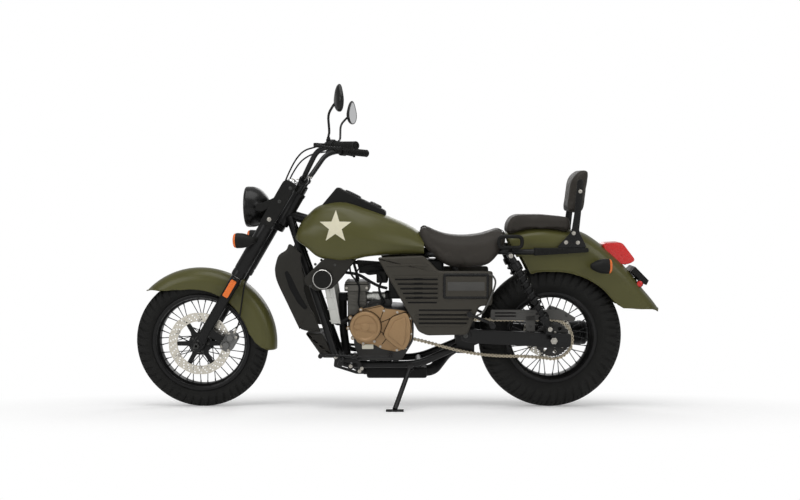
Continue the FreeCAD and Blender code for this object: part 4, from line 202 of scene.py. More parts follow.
def turned(profile, centre, axis=(0, 1, 0), steps=48, closed=False):
    """A turned piece: (distance along the axis, radius) pairs carried round the axis through centre."""
    profile = np.asarray(profile, float)
    axis = np.asarray(axis, float) / np.linalg.norm(axis)
    helper = np.array([0, 0, 1.0]) if abs(axis[2]) < 0.9 else np.array([1.0, 0, 0])
    one = np.cross(axis, helper)
    one /= np.linalg.norm(one)
    two = np.cross(axis, one)
    turn = np.linspace(0, 2 * math.pi, steps, endpoint=False)[None, :, None]
    away = np.cos(turn) * one + np.sin(turn) * two
    grid = np.asarray(centre) + profile[:, :1, None] * axis + profile[:, 1:, None] * away
    return surface(grid, close_rows=closed, caps=True)


def slab(outline, y0, y1):
    """A flat piece: a side-view outline of (x, z) points carried across from y0 to y1."""
    outline = np.asarray(outline, float)
    loop = np.stack([outline[:, 0], np.full(len(outline), y0), outline[:, 1]], -1)
    grid = np.stack([loop, loop + [0, y1 - y0, 0]])
    return surface(grid)


def oblong(x0, x1, z0, z1):
    """The corners of a level rectangle, from x0 to x1 and z0 to z1."""
    return [(x0, z0), (x1, z0), (x1, z1), (x0, z1)]


def circle(x, z, radius, steps=24):
    """A side-view circle as an outline."""
    turn = np.linspace(0, 2 * math.pi, steps, endpoint=False)
    return np.stack([x + radius * np.cos(turn), z + radius * np.sin(turn)], -1)


def pierced(outlines, y0, y1, edge=0.0):
    """A flat plate with holes. A filled flat curve knows how to leave holes between its loops, and its
    extrusion gives the thickness, so the loops go into one curve, which is then read back as a mesh."""
    curve = bpy.data.curves.new("plate", "CURVE")
    curve.dimensions = "2D"
    curve.fill_mode = "BOTH"
    curve.extrude = abs(y1 - y0) / 2 - edge
    curve.bevel_depth = edge
    curve.offset = -edge
    curve.bevel_resolution = 1
    for outline in outlines:
        loop = curve.splines.new("POLY")
        loop.points.add(len(outline) - 1)
        flat = np.hstack([outline, np.zeros((len(outline), 1)), np.ones((len(outline), 1))])
        loop.points.foreach_set("co", flat.ravel())
        loop.use_cyclic_u = True
    holder = bpy.data.objects.new("plate", curve)
    mesh = bpy.data.meshes.new_from_object(holder)
    points = np.empty(len(mesh.vertices) * 3)
    mesh.vertices.foreach_get("co", points)
    points = points.reshape(-1, 3)
    faces = [np.array(face.vertices) for face in mesh.polygons]
    bpy.data.objects.remove(holder)
    bpy.data.meshes.remove(mesh)
    return Shape(np.stack([points[:, 0], points[:, 2] + (y0 + y1) / 2, points[:, 1]], -1), faces)


def ribbed(start, pitch, count, ring):
    """Profile points of many ribs: the few points of one ring, again at every pitch from start."""
    return [(start + pitch * k + d, r) for k in range(count) for d, r in ring]


def bolts(places, way, radius=5.0, height=4.0):
    """Small domed bolt heads with a washer each, standing on the given points and facing along way."""
    head = [(0, 1.35), (0.2, 1.35), (0.2, 1.0), (0.8, 0.95), (1.0, 0.7), (1.0, 0.45), (0.7, 0.4), (0.7, 0.0)]
    profile = [(a * height, b * radius) for a, b in head]
    return join(turned(profile, place, way, steps=12) for place in np.atleast_2d(places))


# %% [markdown]
# ## Along the fork
# The fork leans back by its rake, so everything on it is drawn in the fork's own directions: s runs up the
# legs from the axle, w square to them towards the rear, and y across. The same three numbers then place a
# slider, a yoke or a cable clip without working out the slope each time.

# %% The fork's directions
RAKE = math.radians(31.0)
UP = np.array([math.sin(RAKE), 0, math.cos(RAKE)])
AFT = np.array([math.cos(RAKE), 0, -math.sin(RAKE)])
ACROSS = np.array([0.0, 1.0, 0.0])
ABOVE = np.array([0.0, 0.0, 1.0])
LEG_Y = 98.0


def on_fork(s, w=0.0, y=0.0):
    """The point s up the legs, w behind their line and y across."""
    return FRONT_AXLE + s * UP + w * AFT + y * ACROSS


def fork_slab(outline, y0, y1):
    """A flat piece square across the fork: an outline of (w, s) pairs carried from y0 to y1."""
    outline = np.asarray(outline, float)
    loop = FRONT_AXLE + outline[:, 1:] * UP + outline[:, :1] * AFT + y0 * ACROSS
    return surface(np.stack([loop, loop + (y1 - y0) * ACROSS]))


def fork_plate(outline, s0, s1):
    """A plate square to the legs: an outline of (w, y) pairs carried up from s0 to s1."""
    outline = np.asarray(outline, float)
    loop = FRONT_AXLE + s0 * UP + outline[:, :1] * AFT + outline[:, 1:] * ACROSS
    return surface(np.stack([loop, loop + (s1 - s0) * UP]))


# %% [markdown]
# ## From points to a finished object
# Each shape becomes one object that rides on a body of the construction. Points that meet at a pole or a
# seam are merged and the normals turned outwards, a Bevel modifier rounds machined edges as a file would, and
# edges sharper than a set angle stay crisp while the rest is shaded smooth.

# %% Make the object
MERGE = 1e-6


def placed(name, shape, merge=0.0):
    """An object in metres, leaned over, with its faces outward. Points nearer than merge become one."""
    mesh = bpy.data.meshes.new(name)
    mesh.from_pydata(stand_over(shape.points), [], [list(map(int, face)) for face in shape.faces])
    work = bmesh.new()
    work.from_mesh(mesh)
    if merge:
        bmesh.ops.remove_doubles(work, verts=work.verts, dist=merge)
    bmesh.ops.recalc_face_normals(work, faces=work.faces)
    work.to_mesh(mesh)
    work.free()
    made = bpy.data.objects.new(name, mesh)
    bpy.context.scene.collection.objects.link(made)
    return made


def piece(name, shape, slot, stands_for="", body="chassis", paint="", bevel=0.0, crease=30.0, wall=0.0):
    """A finished piece with its body, slot and finish, which is its slot's own unless paint names another.
    bevel and wall are in millimetres, and an edge sharper than crease in degrees stays sharp."""
    made = placed(name, shape, MERGE)
    made.data.shade_smooth()
    made.data.set_sharp_from_angle(angle=math.radians(crease))
    made.data.materials.append(PAINTS[paint or slot])
    if wall:
        thick = made.modifiers.new("wall", "SOLIDIFY")
        thick.thickness = wall / 1000
        thick.offset = -1
    if bevel:
        soften = made.modifiers.new("edges", "BEVEL")
        soften.width = bevel / 1000
        soften.segments = 2
        soften.limit_method = "ANGLE"
        soften.angle_limit = math.radians(crease)
        soften.harden_normals = True
    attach(made, body)
    if stands_for:
        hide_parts(stands_for)
    return made


def fork_piece(*values, **named):
    """A piece that turns with the steering."""
    return piece(*values, body="steering", **named)


# %% [markdown]
# ## Writing finishes as sums
# A finish is arithmetic on position: how much grain, how much wear, where the painted figure lies. The small
# class below wraps one output of a node, so that a + b or 1 - a adds the Math node that does it, and one
# method makes every other node. The finish then reads as the sum that it is.

# %% A socket with arithmetic
class Wire:
    """One output of a node in a finish's tree. Sums with numbers or other wires add Math nodes."""

    def __init__(self, tree, socket):
        self.tree = tree
        self.socket = socket

    def maths(self, operation, *values):
        inputs = dict(enumerate(values))
        return node(self.tree, "ShaderNodeMath", {"operation": operation}, inputs)

    def __add__(self, other):
        return self.maths("ADD", self, other)

    def __radd__(self, other):
        return self.maths("ADD", other, self)

    def __sub__(self, other):
        return self.maths("SUBTRACT", self, other)

    def __rsub__(self, other):
        return self.maths("SUBTRACT", other, self)

    def __mul__(self, other):
        return self.maths("MULTIPLY", self, other)

    def __rmul__(self, other):
        return self.maths("MULTIPLY", other, self)

    def __truediv__(self, other):
        return self.maths("DIVIDE", self, other)

    def __pow__(self, other):
        return self.maths("POWER", self, other)

    def band(self, low, high):
        """0 below low, 1 above high, and a smooth step between them."""
        return node(self.tree, "ShaderNodeMapRange", {"interpolation_type": "SMOOTHSTEP"},
                    {"Value": self, "From Min": low, "From Max": high})


def node(tree, kind, settings=None, inputs=None, output=0):
    """Makes a node: its settings first, then a value or a wire for each named or numbered input."""
    made = tree.nodes.new(kind)
    for key, value in (settings or {}).items():
        setattr(made, key, value)
    for key, value in (inputs or {}).items():
        if isinstance(value, Wire):
            tree.links.new(value.socket, made.inputs[key])
        else:
            made.inputs[key].default_value = value
    return Wire(tree, made.outputs[output])


def blended(share, first, second):
    """One colour turning into another by a share, through a colour Mix node."""
    colours = {0: share, 6: rgba(first), 7: rgba(second)}
    return node(share.tree, "ShaderNodeMix", {"data_type": "RGBA"}, colours, 2)


def rgba(colour):
    """A colour of three numbers with full cover, or a wire as it is."""
    return colour if isinstance(colour, Wire) else (*colour, 1.0)


def place_of(tree, scale=(1, 1, 1)):
    """The surface's own place in metres, stretched by scale."""
    here = node(tree, "ShaderNodeTexCoord", output=3)
    return node(tree, "ShaderNodeMapping", {}, {"Vector": here, "Scale": scale})


def noise(tree, where, scale, detail=3.0):
    """Cloudy noise from 0 to 1, scale being clouds for each metre."""
    return node(tree, "ShaderNodeTexNoise", {}, {"Vector": where, "Scale": scale, "Detail": detail})


def cells(tree, where, scale):
    """The distance to the nearest of many scattered points, scale of them for each metre."""
    return node(tree, "ShaderNodeTexVoronoi", {}, {"Vector": where, "Scale": scale})


# %% [markdown]
# ## The plain part of every finish
# Real paint, rubber and cast metal are never one flat value. Each finish starts from a colour with slow
# clouds in it, a roughness that wanders a little, and a fine grain as bump: the clouds read from a step away
# and the grain from close by. Steadier values, such as how metallic it is, are set on the shader itself.

# %% Start a finish
CLOUDS_PER_METRE = 14.0
WANDER_PER_METRE = 55.0
WANDER = 0.16
GRAIN_HEIGHT = 0.0006
DULL_SPECULAR = 0.14


def finish(name, colour, rough, metal=0.0, coat=0.0, clouds=0.14, grain=900.0, depth=0.15, leather=False,
           stretch=(1, 1, 1)):
    """A material with clouded colour, wandering roughness and a fine grain. Returns it with its parts."""
    material = bpy.data.materials.new(name)
    material.use_nodes = True
    tree = material.node_tree
    shader = tree.nodes["Principled BSDF"]
    shader.inputs["Metallic"].default_value = metal
    shader.inputs["Coat Weight"].default_value = coat
    shader.inputs["Coat Roughness"].default_value = 0.25
    shader.inputs["Specular IOR Level"].default_value = 0.5 if metal or max(colour) > 0.1 else DULL_SPECULAR
    where = place_of(tree)
    cloud = noise(tree, where, CLOUDS_PER_METRE)
    dark = tuple(c * (1 - clouds) for c in colour)
    light = tuple(min(c * (1 + clouds), 1.0) for c in colour)
    shade = blended(cloud, dark, light)
    roughness = rough + (noise(tree, where, WANDER_PER_METRE) - 0.5) * WANDER
    if leather:
        relief = cells(tree, place_of(tree, stretch), grain).band(0.0, 0.7)
    else:
        relief = noise(tree, place_of(tree, stretch), grain, 2.0)
    bump = node(tree, "ShaderNodeBump", {}, {"Strength": depth, "Distance": GRAIN_HEIGHT, "Height": relief})
    connect(shader, {"Base Color": shade, "Roughness": roughness, "Normal": bump})
    return {"material": material, "tree": tree, "shader": shader, "where": where, "shade": shade}


def connect(shader, links):
    """Feeds the shader's named inputs from wires, over what was there."""
    for key, wire in links.items():
        wire.tree.links.new(wire.socket, shader.inputs[key])


PAINTS = {}


def plain(name, colour, rough, **more):
    """A finish that needs nothing beyond its start. A single number as colour means a neutral grey."""
    colour = colour if isinstance(colour, tuple) else (colour,) * 3
    PAINTS[name] = finish(name, colour, rough, **more)["material"]


# %% Blacks, metals and plastics
plain("tyre_rubber", (0.0112, 0.0112, 0.0105), 0.72, clouds=0.3, grain=1500, depth=0.4)
plain("wheel_black", 0.0072, 0.3, coat=0.1, depth=0.05)
plain("axle_steel", (0.5, 0.49, 0.47), 0.35, metal=1.0, stretch=(1, 8, 1))
plain("fork_black", 0.0072, 0.32, coat=0.1, depth=0.05)
plain("fork_chrome", (0.75, 0.75, 0.74), 0.12, metal=1.0, clouds=0.04, depth=0.02)
plain("matte_black", (0.0084, 0.0084, 0.0078), 0.52, clouds=0.2, grain=1400, depth=0.22)
plain("gloss_black", (0.0066, 0.0066, 0.0063), 0.28, coat=0.2, depth=0.04)
plain("caliper_grey", (0.13, 0.13, 0.125), 0.5, metal=0.4, grain=700, depth=0.3)
plain("bar_black", 0.0078, 0.38, coat=0.2, depth=0.08)
plain("cable_black", 0.0072, 0.5, depth=0.1)
plain("frame_black", 0.0084, 0.42, coat=0.15, depth=0.12)
plain("cylinder_alloy", (0.105, 0.10, 0.088), 0.55, metal=0.55, grain=500, depth=0.35)
plain("shock_black", 0.0066, 0.3, coat=0.1, depth=0.05)
plain("guard_grey", (0.068, 0.0664, 0.0624), 0.5, clouds=0.12, grain=1200, depth=0.2)
plain("exhaust_black", 0.0078, 0.48, grain=900, depth=0.25)
plain("cowl_plastic", (0.02232, 0.02108, 0.01798), 0.42, clouds=0.1, grain=1700, depth=0.3)
plain("cover_plastic", (0.046, 0.042, 0.034), 0.42, clouds=0.1, grain=1700, depth=0.3)
plain("case_dark", (0.0154, 0.0147, 0.0133), 0.5, metal=0.3, grain=500, depth=0.35)
plain("bolt_steel", (0.42, 0.40, 0.36), 0.35, metal=1.0, grain=800, depth=0.1)
plain("bolt_dark", (0.05, 0.05, 0.048), 0.4, metal=0.8, grain=800, depth=0.1)
plain("ring_chrome", (0.62, 0.61, 0.58), 0.2, metal=1.0, clouds=0.05, depth=0.03)
plain("switch_red", (0.55, 0.02, 0.015), 0.4, depth=0.05)
plain("cream_face", (0.62, 0.6, 0.5), 0.4, clouds=0.04, depth=0.05)
# The darkest black is both a real dark lining for joints, gaskets, seal and loom, and painted shade in the covers'
# rib gaps, vent slots and the cowls' recesses.
plain("lining_and_painted_shade", 0.0048, 0.7, grain=600, depth=0.3)
print(len(PAINTS), "plain finishes")

# %% [markdown]
# ## Olive paint with a painted star
# The tank and both mudguards are satin olive, and the tank's sides carry a cream five-pointed star. A decal
# mesh could float over the skin, but paint has no thickness, so the figure is worked out in the finish: the
# place is turned back to the upright frame, folded five times about the star's middle, and a point is inside
# where it lies on the inner side of the one straight edge that is left.

# %% The olive and its star
STAR_MIDDLE = (609.0, 805.0)
STAR_REACH = 71.0
STAR_WAIST = 28.5
OLIVE = (0.074, 0.071, 0.0215)
CREAM = (0.70, 0.66, 0.50)


def upright_place(tree):
    """The surface's place back in upright millimetres: x and z as wires."""
    back = tuple(1000 * TO_LEANED.T @ SHIFT)
    here = node(tree, "ShaderNodeTexCoord", output=3)
    upright = {"Vector": here, "Location": back, "Rotation": (-LEAN, 0, 0), "Scale": (1000, 1000, 1000)}
    turned_back = node(tree, "ShaderNodeMapping", {"vector_type": "POINT"}, upright)
    return [node(tree, "ShaderNodeSeparateXYZ", {}, {0: turned_back}, k) for k in (0, 2)]


def star_cover(tree):
    """1 inside the star and 0 outside, with an edge half a millimetre wide."""
    x, z = upright_place(tree)
    u = x - STAR_MIDDLE[0]
    v = z - STAR_MIDDLE[1]
    reach = (u * u + v * v) ** 0.5
    fifth = 2 * math.pi / 5
    turn = v.maths("ARCTAN2", u, v)
    folded = turn.maths("ABSOLUTE", turn.maths("WRAP", turn, fifth / 2, -fifth / 2))
    flat = reach * folded.maths("COSINE", folded)
    side = reach * folded.maths("SINE", folded)
    notch = (STAR_WAIST * math.cos(fifth / 2), STAR_WAIST * math.sin(fifth / 2))
    length = math.hypot(notch[1], STAR_REACH - notch[0])
    square = (notch[1] / length, (STAR_REACH - notch[0]) / length)
    inside = STAR_REACH * square[0] - flat * square[0] - side * square[1]
    return inside.band(-0.25, 0.25)


def olive_paint(name, star):
    """Satin olive with dust clouds, and the star if it is asked for."""
    made = finish(name, OLIVE, 0.37, coat=0.22, clouds=0.07, grain=2600, depth=0.05)
    if star:
        worn = star_cover(made["tree"]) * (1 - 0.12 * noise(made["tree"], made["where"], 90.0))
        connect(made["shader"], {"Base Color": blended(worn, made["shade"], CREAM)})
    return made["material"]


PAINTS["olive_paint"] = olive_paint("olive_paint", False)
PAINTS["olive_star"] = olive_paint("olive_star", True)

# %% [markdown]
# ## Vinyl, bronze, steel and lenses
# The seats' vinyl has a leather pattern of small cells. The engine covers are painted a warm bronze over a
# coarse casting. Brushed steel takes its grain stretched across the piece, as the brush ran. A lens is tinted
# glass to the eye with the lamp's own bowl behind it. Here it is a tinted gloss plastic with a painted glow of
# its own colour in place of the light that the bowl sends back through it, which looks the same and renders
# quickly. The reflectors that share these lenses carry the same painted glow.

# %% Seats, engine and brakes
plain("seat_vinyl", (0.034, 0.030, 0.0255), 0.55, clouds=0.12, grain=620, depth=0.35, leather=True)
plain("grip_rubber", (0.0105, 0.0105, 0.0098), 0.6, grain=420, depth=0.5, leather=True)
plain("case_bronze", (0.29, 0.178, 0.082), 0.48, metal=0.35, coat=0.1, clouds=0.12, grain=420, depth=0.3)
plain("disc_steel", (0.58, 0.55, 0.48), 0.32, metal=1.0, clouds=0.1, grain=300, depth=0.15)
plain("chain_steel", (0.36, 0.315, 0.235), 0.38, metal=0.85, clouds=0.25, grain=600, depth=0.2)


def lens(name, colour, glow, cells_per_metre):
    """Tinted lens: gloss plastic whose moulded cells show as bump, with a little painted glow of its own colour.
    """
    made = finish(name, colour, 0.28, coat=0.1, clouds=0.1, grain=cells_per_metre, depth=0.5, leather=True)
    shader = made["shader"]
    # The emission in the lens's own colour is a painted glow, not a lamp.
    connect(shader, {"Emission Color": made["shade"]})
    shader.inputs["Emission Strength"].default_value = glow
    return made["material"]


PAINTS["amber_lens"] = lens("amber_lens", (0.66, 0.13, 0.008), 0.12, 160.0)
PAINTS["red_lens"] = lens("red_lens", (0.50, 0.008, 0.006), 0.12, 150.0)


FIN_PITCH = 3.0


def radiator_fins():
    """Bare aluminium with a fine stripe for each fin of the core, by the height of the place."""
    made = finish("radiator_alloy", (0.50, 0.50, 0.47), 0.4, metal=0.9, clouds=0.1, grain=500, depth=0.2)
    z = upright_place(made["tree"])[1]
    stripe = z.maths("FRACT", z / FIN_PITCH).band(0.25, 0.5)
    sockets = {"Strength": 0.3, "Distance": GRAIN_HEIGHT, "Height": stripe}
    bump = node(made["tree"], "ShaderNodeBump", {}, sockets)
    connect(made["shader"], {"Normal": bump})
    return made["material"]


PAINTS["radiator_alloy"] = radiator_fins()

# %% Glass and mirror
def clear_glass():
    """The headlight's glass: nearly all light goes through a thin plate, so it is mixed with clear air."""
    made = finish("clear_lens", (0.85, 0.88, 0.9), 0.06, clouds=0.02, depth=0.05)
    made["shader"].inputs["Alpha"].default_value = 0.28
    made["shader"].inputs["Coat Weight"].default_value = 1.0
    return made["material"]


PAINTS["clear_lens"] = clear_glass()
plain("mirror_glass", (0.86, 0.87, 0.88), 0.03, metal=1.0, clouds=0.01, depth=0.01)
plain("bowl_silver", 0.8, 0.15, metal=1.0, clouds=0.03, depth=0.05)
print(len(PAINTS), "finishes in all")

# %% [markdown]
# ## Tyres
# A tyre is a bulging section carried round the wheel, and its tread is cut into it. A texture could only
# pretend the blocks, and they show at the tyre's outline, so the cuts are real: each point of a fine grid is
# lowered by a depth worked out from how far it lies round the wheel and across the tread.

# %% Tyre
TYRE_SHARES = np.array([(0, 0.68), (0.14, 0.70), (0.30, 0.90), (0.48, 1), (0.66, 0.965), (0.80, 0.86),
                        (0.90, 0.66), (0.97, 0.36), (1, 0)])
TREAD_BLOCKS = 46
TREAD_REACH = 0.74
TREAD_DEPTH = 6.5


def step(value, low, high):
    """0 below low, 1 above high and a smooth step between, on whole arrays."""
    t = np.clip((value - low) / (high - low), 0, 1)
    return t * t * (3 - 2 * t)


def tread_cut(round_share, across):
    """Depth of cut, 0 to 1: slanting gaps across each shoulder, a zigzag groove each side of the middle, and
    a short knife cut in each block. round_share counts blocks and across runs from -1 to 1 over the tread."""
    side = np.sign(across)
    far = np.abs(across)
    bend = 0.22 * np.sin(far * 5)
    phase = (round_share + 0.25 * side + bend * side) % 1
    gap = 1 - step(np.abs(phase - 0.5), 0.10, 0.17)
    shoulder = gap * step(far, 0.30, 0.36)
    zigzag = np.abs(round_share % 1 - 0.5) * 0.12
    groove = 1 - step(np.abs(far - 0.24 - zigzag), 0.025, 0.05)
    half = (phase + 0.5) % 1
    knife = (1 - step(np.abs(half - 0.5), 0.02, 0.05)) * step(far, 0.34, 0.38) * (1 - step(far, 0.52, 0.58))
    return np.maximum(np.maximum(shoulder, groove), 0.6 * knife)


def tyre(axle, radius, width, rim_radius, steps=920):
    """A ring of sections. Each section runs from bead to bead through the shares, and every point is lowered
    towards the axle by the cut at its place. Two thin ridges run round each wall."""
    half = spline(TYRE_SHARES, 5)
    section = np.vstack([half, half[-2::-1] * [1, -1]])
    out, y = rim_radius + section[:, 0] * (radius - rim_radius), section[:, 1] * width / 2
    path = np.concatenate([[0], np.cumsum(np.hypot(np.diff(out), np.diff(y)))])
    across = (path / path[-1] * 2 - 1)[None, :] / TREAD_REACH
    turn = np.linspace(0, 2 * math.pi, steps, endpoint=False)[:, None]
    worn = (np.abs(across) < 1) * (1 - step(np.abs(across), 0.93, 1))
    depth = TREAD_DEPTH * worn * tread_cut(turn / (2 * math.pi) * TREAD_BLOCKS, across)
    ridge = 1.2 * sum(np.exp(-((out - rim_radius - share * (radius - rim_radius)) / 1.6) ** 2)
                      for share in (0.2, 0.5))
    reach = out[None, :] - depth
    shoulder = np.abs(y) > 0.3 * width
    sideways = y + np.sign(y) * ridge - np.sign(y) * 0.55 * depth * shoulder
    grid = np.stack([axle[0] + reach * np.cos(turn), sideways, axle[2] + reach * np.sin(turn)], -1)
    return surface(grid, close_rows=True, close_columns=True)


FRONT_TYRE_R, FRONT_TYRE_W, FRONT_RIM_R = 292, 106, 203.2
REAR_TYRE_R, REAR_TYRE_W, REAR_RIM_R = 317, 140, 190.5
for side, axle, radius, width, rim_radius in (("front", FRONT_AXLE, FRONT_TYRE_R, FRONT_TYRE_W, FRONT_RIM_R),
                                              ("rear", REAR_AXLE, REAR_TYRE_R, REAR_TYRE_W, REAR_RIM_R)):
    made = piece(side + "_tyre_treaded", tyre(axle, radius, width, rim_radius), "tyre_rubber", side + "_tyre",
                 body=side + "_wheel", crease=35)
    print(side, "tyre points", len(made.data.vertices))

# %% [markdown]
# ## Laced wheels
# The rim is one turned section with a dropped middle. Spokes leave two hub flanges, lean forwards and
# backwards in turn and cross on their way to the rim, where each is screwed into a nipple. They are all made
# at once: arrays of feet and tips, joined by round bars.

# %% Rims, spokes and hubs
SPOKES_PER_SIDE = 18
SPOKE_SWEEP = math.radians(40)
SPOKE_FOOT_R = 42
SPOKE_FOOT_Y = 34


def round_wheel(axle, radius, y, turn):
    """Points at a radius and at angles round a wheel."""
    turn = np.atleast_1d(turn)
    x, z = axle[0] + radius * np.cos(turn), axle[2] + radius * np.sin(turn)
    return np.stack([x, np.broadcast_to(y, turn.shape), z], -1)


def rim_of(centre, radius, angles):
    """Points on a circle of the side view at the given angles."""
    return centre + radius * np.stack([np.cos(angles), np.sin(angles)], -1)


def laced(axle, rim_radius):
    """Spokes and nipples of both sides."""
    number = np.arange(SPOKES_PER_SIDE)
    shapes = []
    for side in (-1, 1):
        turn = (number + side / 4) * 2 * math.pi / SPOKES_PER_SIDE
        sweep = np.where(number % 2, SPOKE_SWEEP, -SPOKE_SWEEP)
        feet = round_wheel(axle, SPOKE_FOOT_R, side * SPOKE_FOOT_Y + np.where(number % 2, 3, -3), turn)
        tips = round_wheel(axle, rim_radius - 15, side * 6, turn + sweep)
        way = tips - feet
        way /= np.linalg.norm(way, axis=1, keepdims=True)
        shapes.append(bars(feet, tips, 1.9, 8))
        shapes.append(bars(tips - way * 12, tips, 2.7, 8))
        shapes.append(bars(feet - [0, 2.5, 0], feet + [0, 2.5, 0], 3.4, 8))
    return join(shapes)


def rim(axle, width, rim_radius):
    """The rim's closed section, turned: two rolled flanges, two seats and a dropped middle."""
    seat = 0.68 * width / 2
    half = [(seat - 8, rim_radius), (seat, rim_radius + 2), (seat + 1, rim_radius + 11),
            (seat + 5, rim_radius + 13), (seat + 8, rim_radius + 9), (seat + 6, rim_radius - 3),
            (seat - 6, rim_radius - 6), (0.55 * seat, rim_radius - 15), (0, rim_radius - 17)]
    inner = [(0, rim_radius - 12), (0.5 * seat, rim_radius - 11), (seat - 14, rim_radius - 3)]
    right = np.array(inner[1:] + half)
    loop = np.vstack([right, (right * [-1, 1])[::-1][1:], [inner[0]]])
    return turned(eased(loop, 2.5, steps=3), axle, steps=144, closed=True)


def hub(axle, left, right, barrel):
    """The hub barrel with cooling rings between its two spoke flanges, turned in one go."""
    half = [(34.5, barrel - 6), (34.5, 46), (36, 47.5), (40, 47.5), (41.5, 46), (41.5, barrel + 4)]
    start = [(-left, 0), (-left, barrel - 10), (-left + 2, barrel - 8), (-46, barrel - 4)]
    end = [(46, barrel - 4), (right - 2, barrel - 8), (right, barrel - 10), (right, 0)]
    left_flange = [(-a, b) for a, b in reversed(half)]
    rings = [(x + d, barrel - 6 + r) for x in range(-27, 28, 9) for d, r in ((-3, 0), (-2, 5), (2, 5), (3, 0))]
    return turned(start + left_flange + rings + half + end, axle, steps=56)


front_hub = hub(FRONT_AXLE, 61.5, 61.5, 31)
rear_hub = hub(REAR_AXLE, 93.5, 81.5, 36)
piece("front_wheel_laced", rim(FRONT_AXLE, FRONT_TYRE_W, FRONT_RIM_R) + laced(FRONT_AXLE, FRONT_RIM_R),
      "wheel_black", body="front_wheel", crease=35)
piece("rear_wheel_laced", rim(REAR_AXLE, REAR_TYRE_W, REAR_RIM_R) + laced(REAR_AXLE, REAR_RIM_R), "wheel_black",
      body="rear_wheel", crease=35)

# %% [markdown]
# ## Brake discs
# The front disc is pale ground steel with drilled rows, held by a black spider on the hub. A flat curve that
# is filled between its loops cuts all the holes at once, which a grid could not do.

# %% Discs and their spiders
HOLE_R = 3.6
SPIDER_HUB_R = 50


def drilled_disc(axle, y, outer, inner, holes):
    """A ring with slanting rows of holes, scalloped a little at its rim."""
    turn = np.linspace(0, 2 * math.pi, 240, endpoint=False)
    scallop = outer - 1.6 * (1 + np.cos(turn * 12)) / 2
    middle = axle[[0, 2]]
    loops = [rim_of(middle, scallop[:, None], turn), circle(*middle, inner, 96)]
    for k in range(holes):
        for row in range(3):
            reach = inner + (outer - inner) * (0.25 + 0.25 * row)
            a = 2 * math.pi * (k + 0.28 * row) / holes
            loops.append(circle(*rim_of(middle, reach, a), HOLE_R, 10))
    return pierced(loops, y - 2.5, y + 2.5)


def spider(axle, y, reach, arms, thick):
    """Tapering arms from the hub out to the disc, as one outline with a window between each pair."""
    turn = np.linspace(0, 2 * math.pi, arms * 12, endpoint=False)
    wave = np.abs((turn * arms / (2 * math.pi)) % 1 - 0.5) * 2
    radius = SPIDER_HUB_R + (reach - SPIDER_HUB_R) * step(wave, 0.62, 0.82)
    return slab(rim_of(axle[[0, 2]], radius[:, None], turn), y, y + thick)


piece("front_disc_drilled", drilled_disc(FRONT_AXLE, -64, 137.5, 99, 30), "disc_steel", "front_disc",
      body="front_wheel")
piece("rear_disc_drilled", drilled_disc(REAR_AXLE, 76, 109.5, 75, 24), "disc_steel", "rear_disc",
      body="rear_wheel")
front_hub = front_hub + spider(FRONT_AXLE, -61.2, 108, 6, 6.5)
rear_hub = rear_hub + spider(REAR_AXLE, 66.5, 84, 6, 6.5)
piece("front_hub_turned", front_hub, "wheel_black", "front_rim", body="front_wheel", bevel=0.8, crease=35)
piece("rear_hub_turned", rear_hub, "wheel_black", "rear_rim", body="rear_wheel", bevel=0.8, crease=35)
rivets = round_wheel(FRONT_AXLE, 104, -67.5, np.arange(6) * math.pi / 3 + math.pi / 6)
piece("front_disc_rivets", bolts(rivets, -ACROSS, 6, 3), "axle_steel", body="front_wheel",
      paint="bolt_steel", crease=35)
nuts = round_wheel(FRONT_AXLE, 36, -61, np.arange(5) * 2 * math.pi / 5)
piece("front_hub_nuts", bolts(nuts, -ACROSS, 5, 4), "axle_steel", body="front_wheel",
      paint="bolt_dark", crease=35)

# %% Axles, nuts and bores
def sleeve(axle, y0, y1, outer, inner):
    """A ring between two radii, as a closed section turned about the axle."""
    return turned([(y0, inner), (y0, outer - 1), (y0 + 1, outer), (y1 - 1, outer), (y1, outer - 1),
                   (y1, inner)], axle, steps=32, closed=True)


def hexagon(axle, y0, y1, across_flats, inner):
    """A six-sided nut with a round hole."""
    outline = rim_of(axle[[0, 2]], across_flats / math.sqrt(3), np.arange(6) * math.pi / 3)
    return pierced([outline, circle(axle[0], axle[2], inner, 24)], y0, y1, 0.8)


axle_collars = join(sleeve(FRONT_AXLE, y - 5, y + 5, 14.5, 9.2) for y in (-67, 67))
axle_front = sleeve(FRONT_AXLE, -136.5, 136.5, 9, 6) + axle_collars
axle_front = axle_front + hexagon(FRONT_AXLE, -134, -124.5, 24, 9) + hexagon(FRONT_AXLE, 124.5, 134, 24, 9)
fork_piece("front_axle_bored", axle_front, "axle_steel", "front_axle", paint="bolt_dark")
axle_rear = turned([(-153, 0), (-153, 8), (-152, 9), (139, 9), (139.5, 8), (139.5, 0)], REAR_AXLE, steps=32)
axle_rear = axle_rear + hexagon(REAR_AXLE, -151, -141, 27, 9) + hexagon(REAR_AXLE, 140.2, 141, 10, 3)
axle_rear = axle_rear + sleeve(REAR_AXLE, -117.5, -104, 14.5, 9.2) + sleeve(REAR_AXLE, 82.5, 117.5, 14.5, 9.2)
piece("rear_axle_turned", axle_rear, "axle_steel", "rear_axle", paint="bolt_steel")

# %% [markdown]
# ## Fuel tank
# A pressed steel tank is a row of sections, widest a third of the way back and drawn in towards the seat. A
# presser would want the sections smooth both along and round the tank, so both run through splines. The
# pressing's one sharp line falls along the side to the rear: there the skin turns by a few degrees, which
# catches the light as a crease.

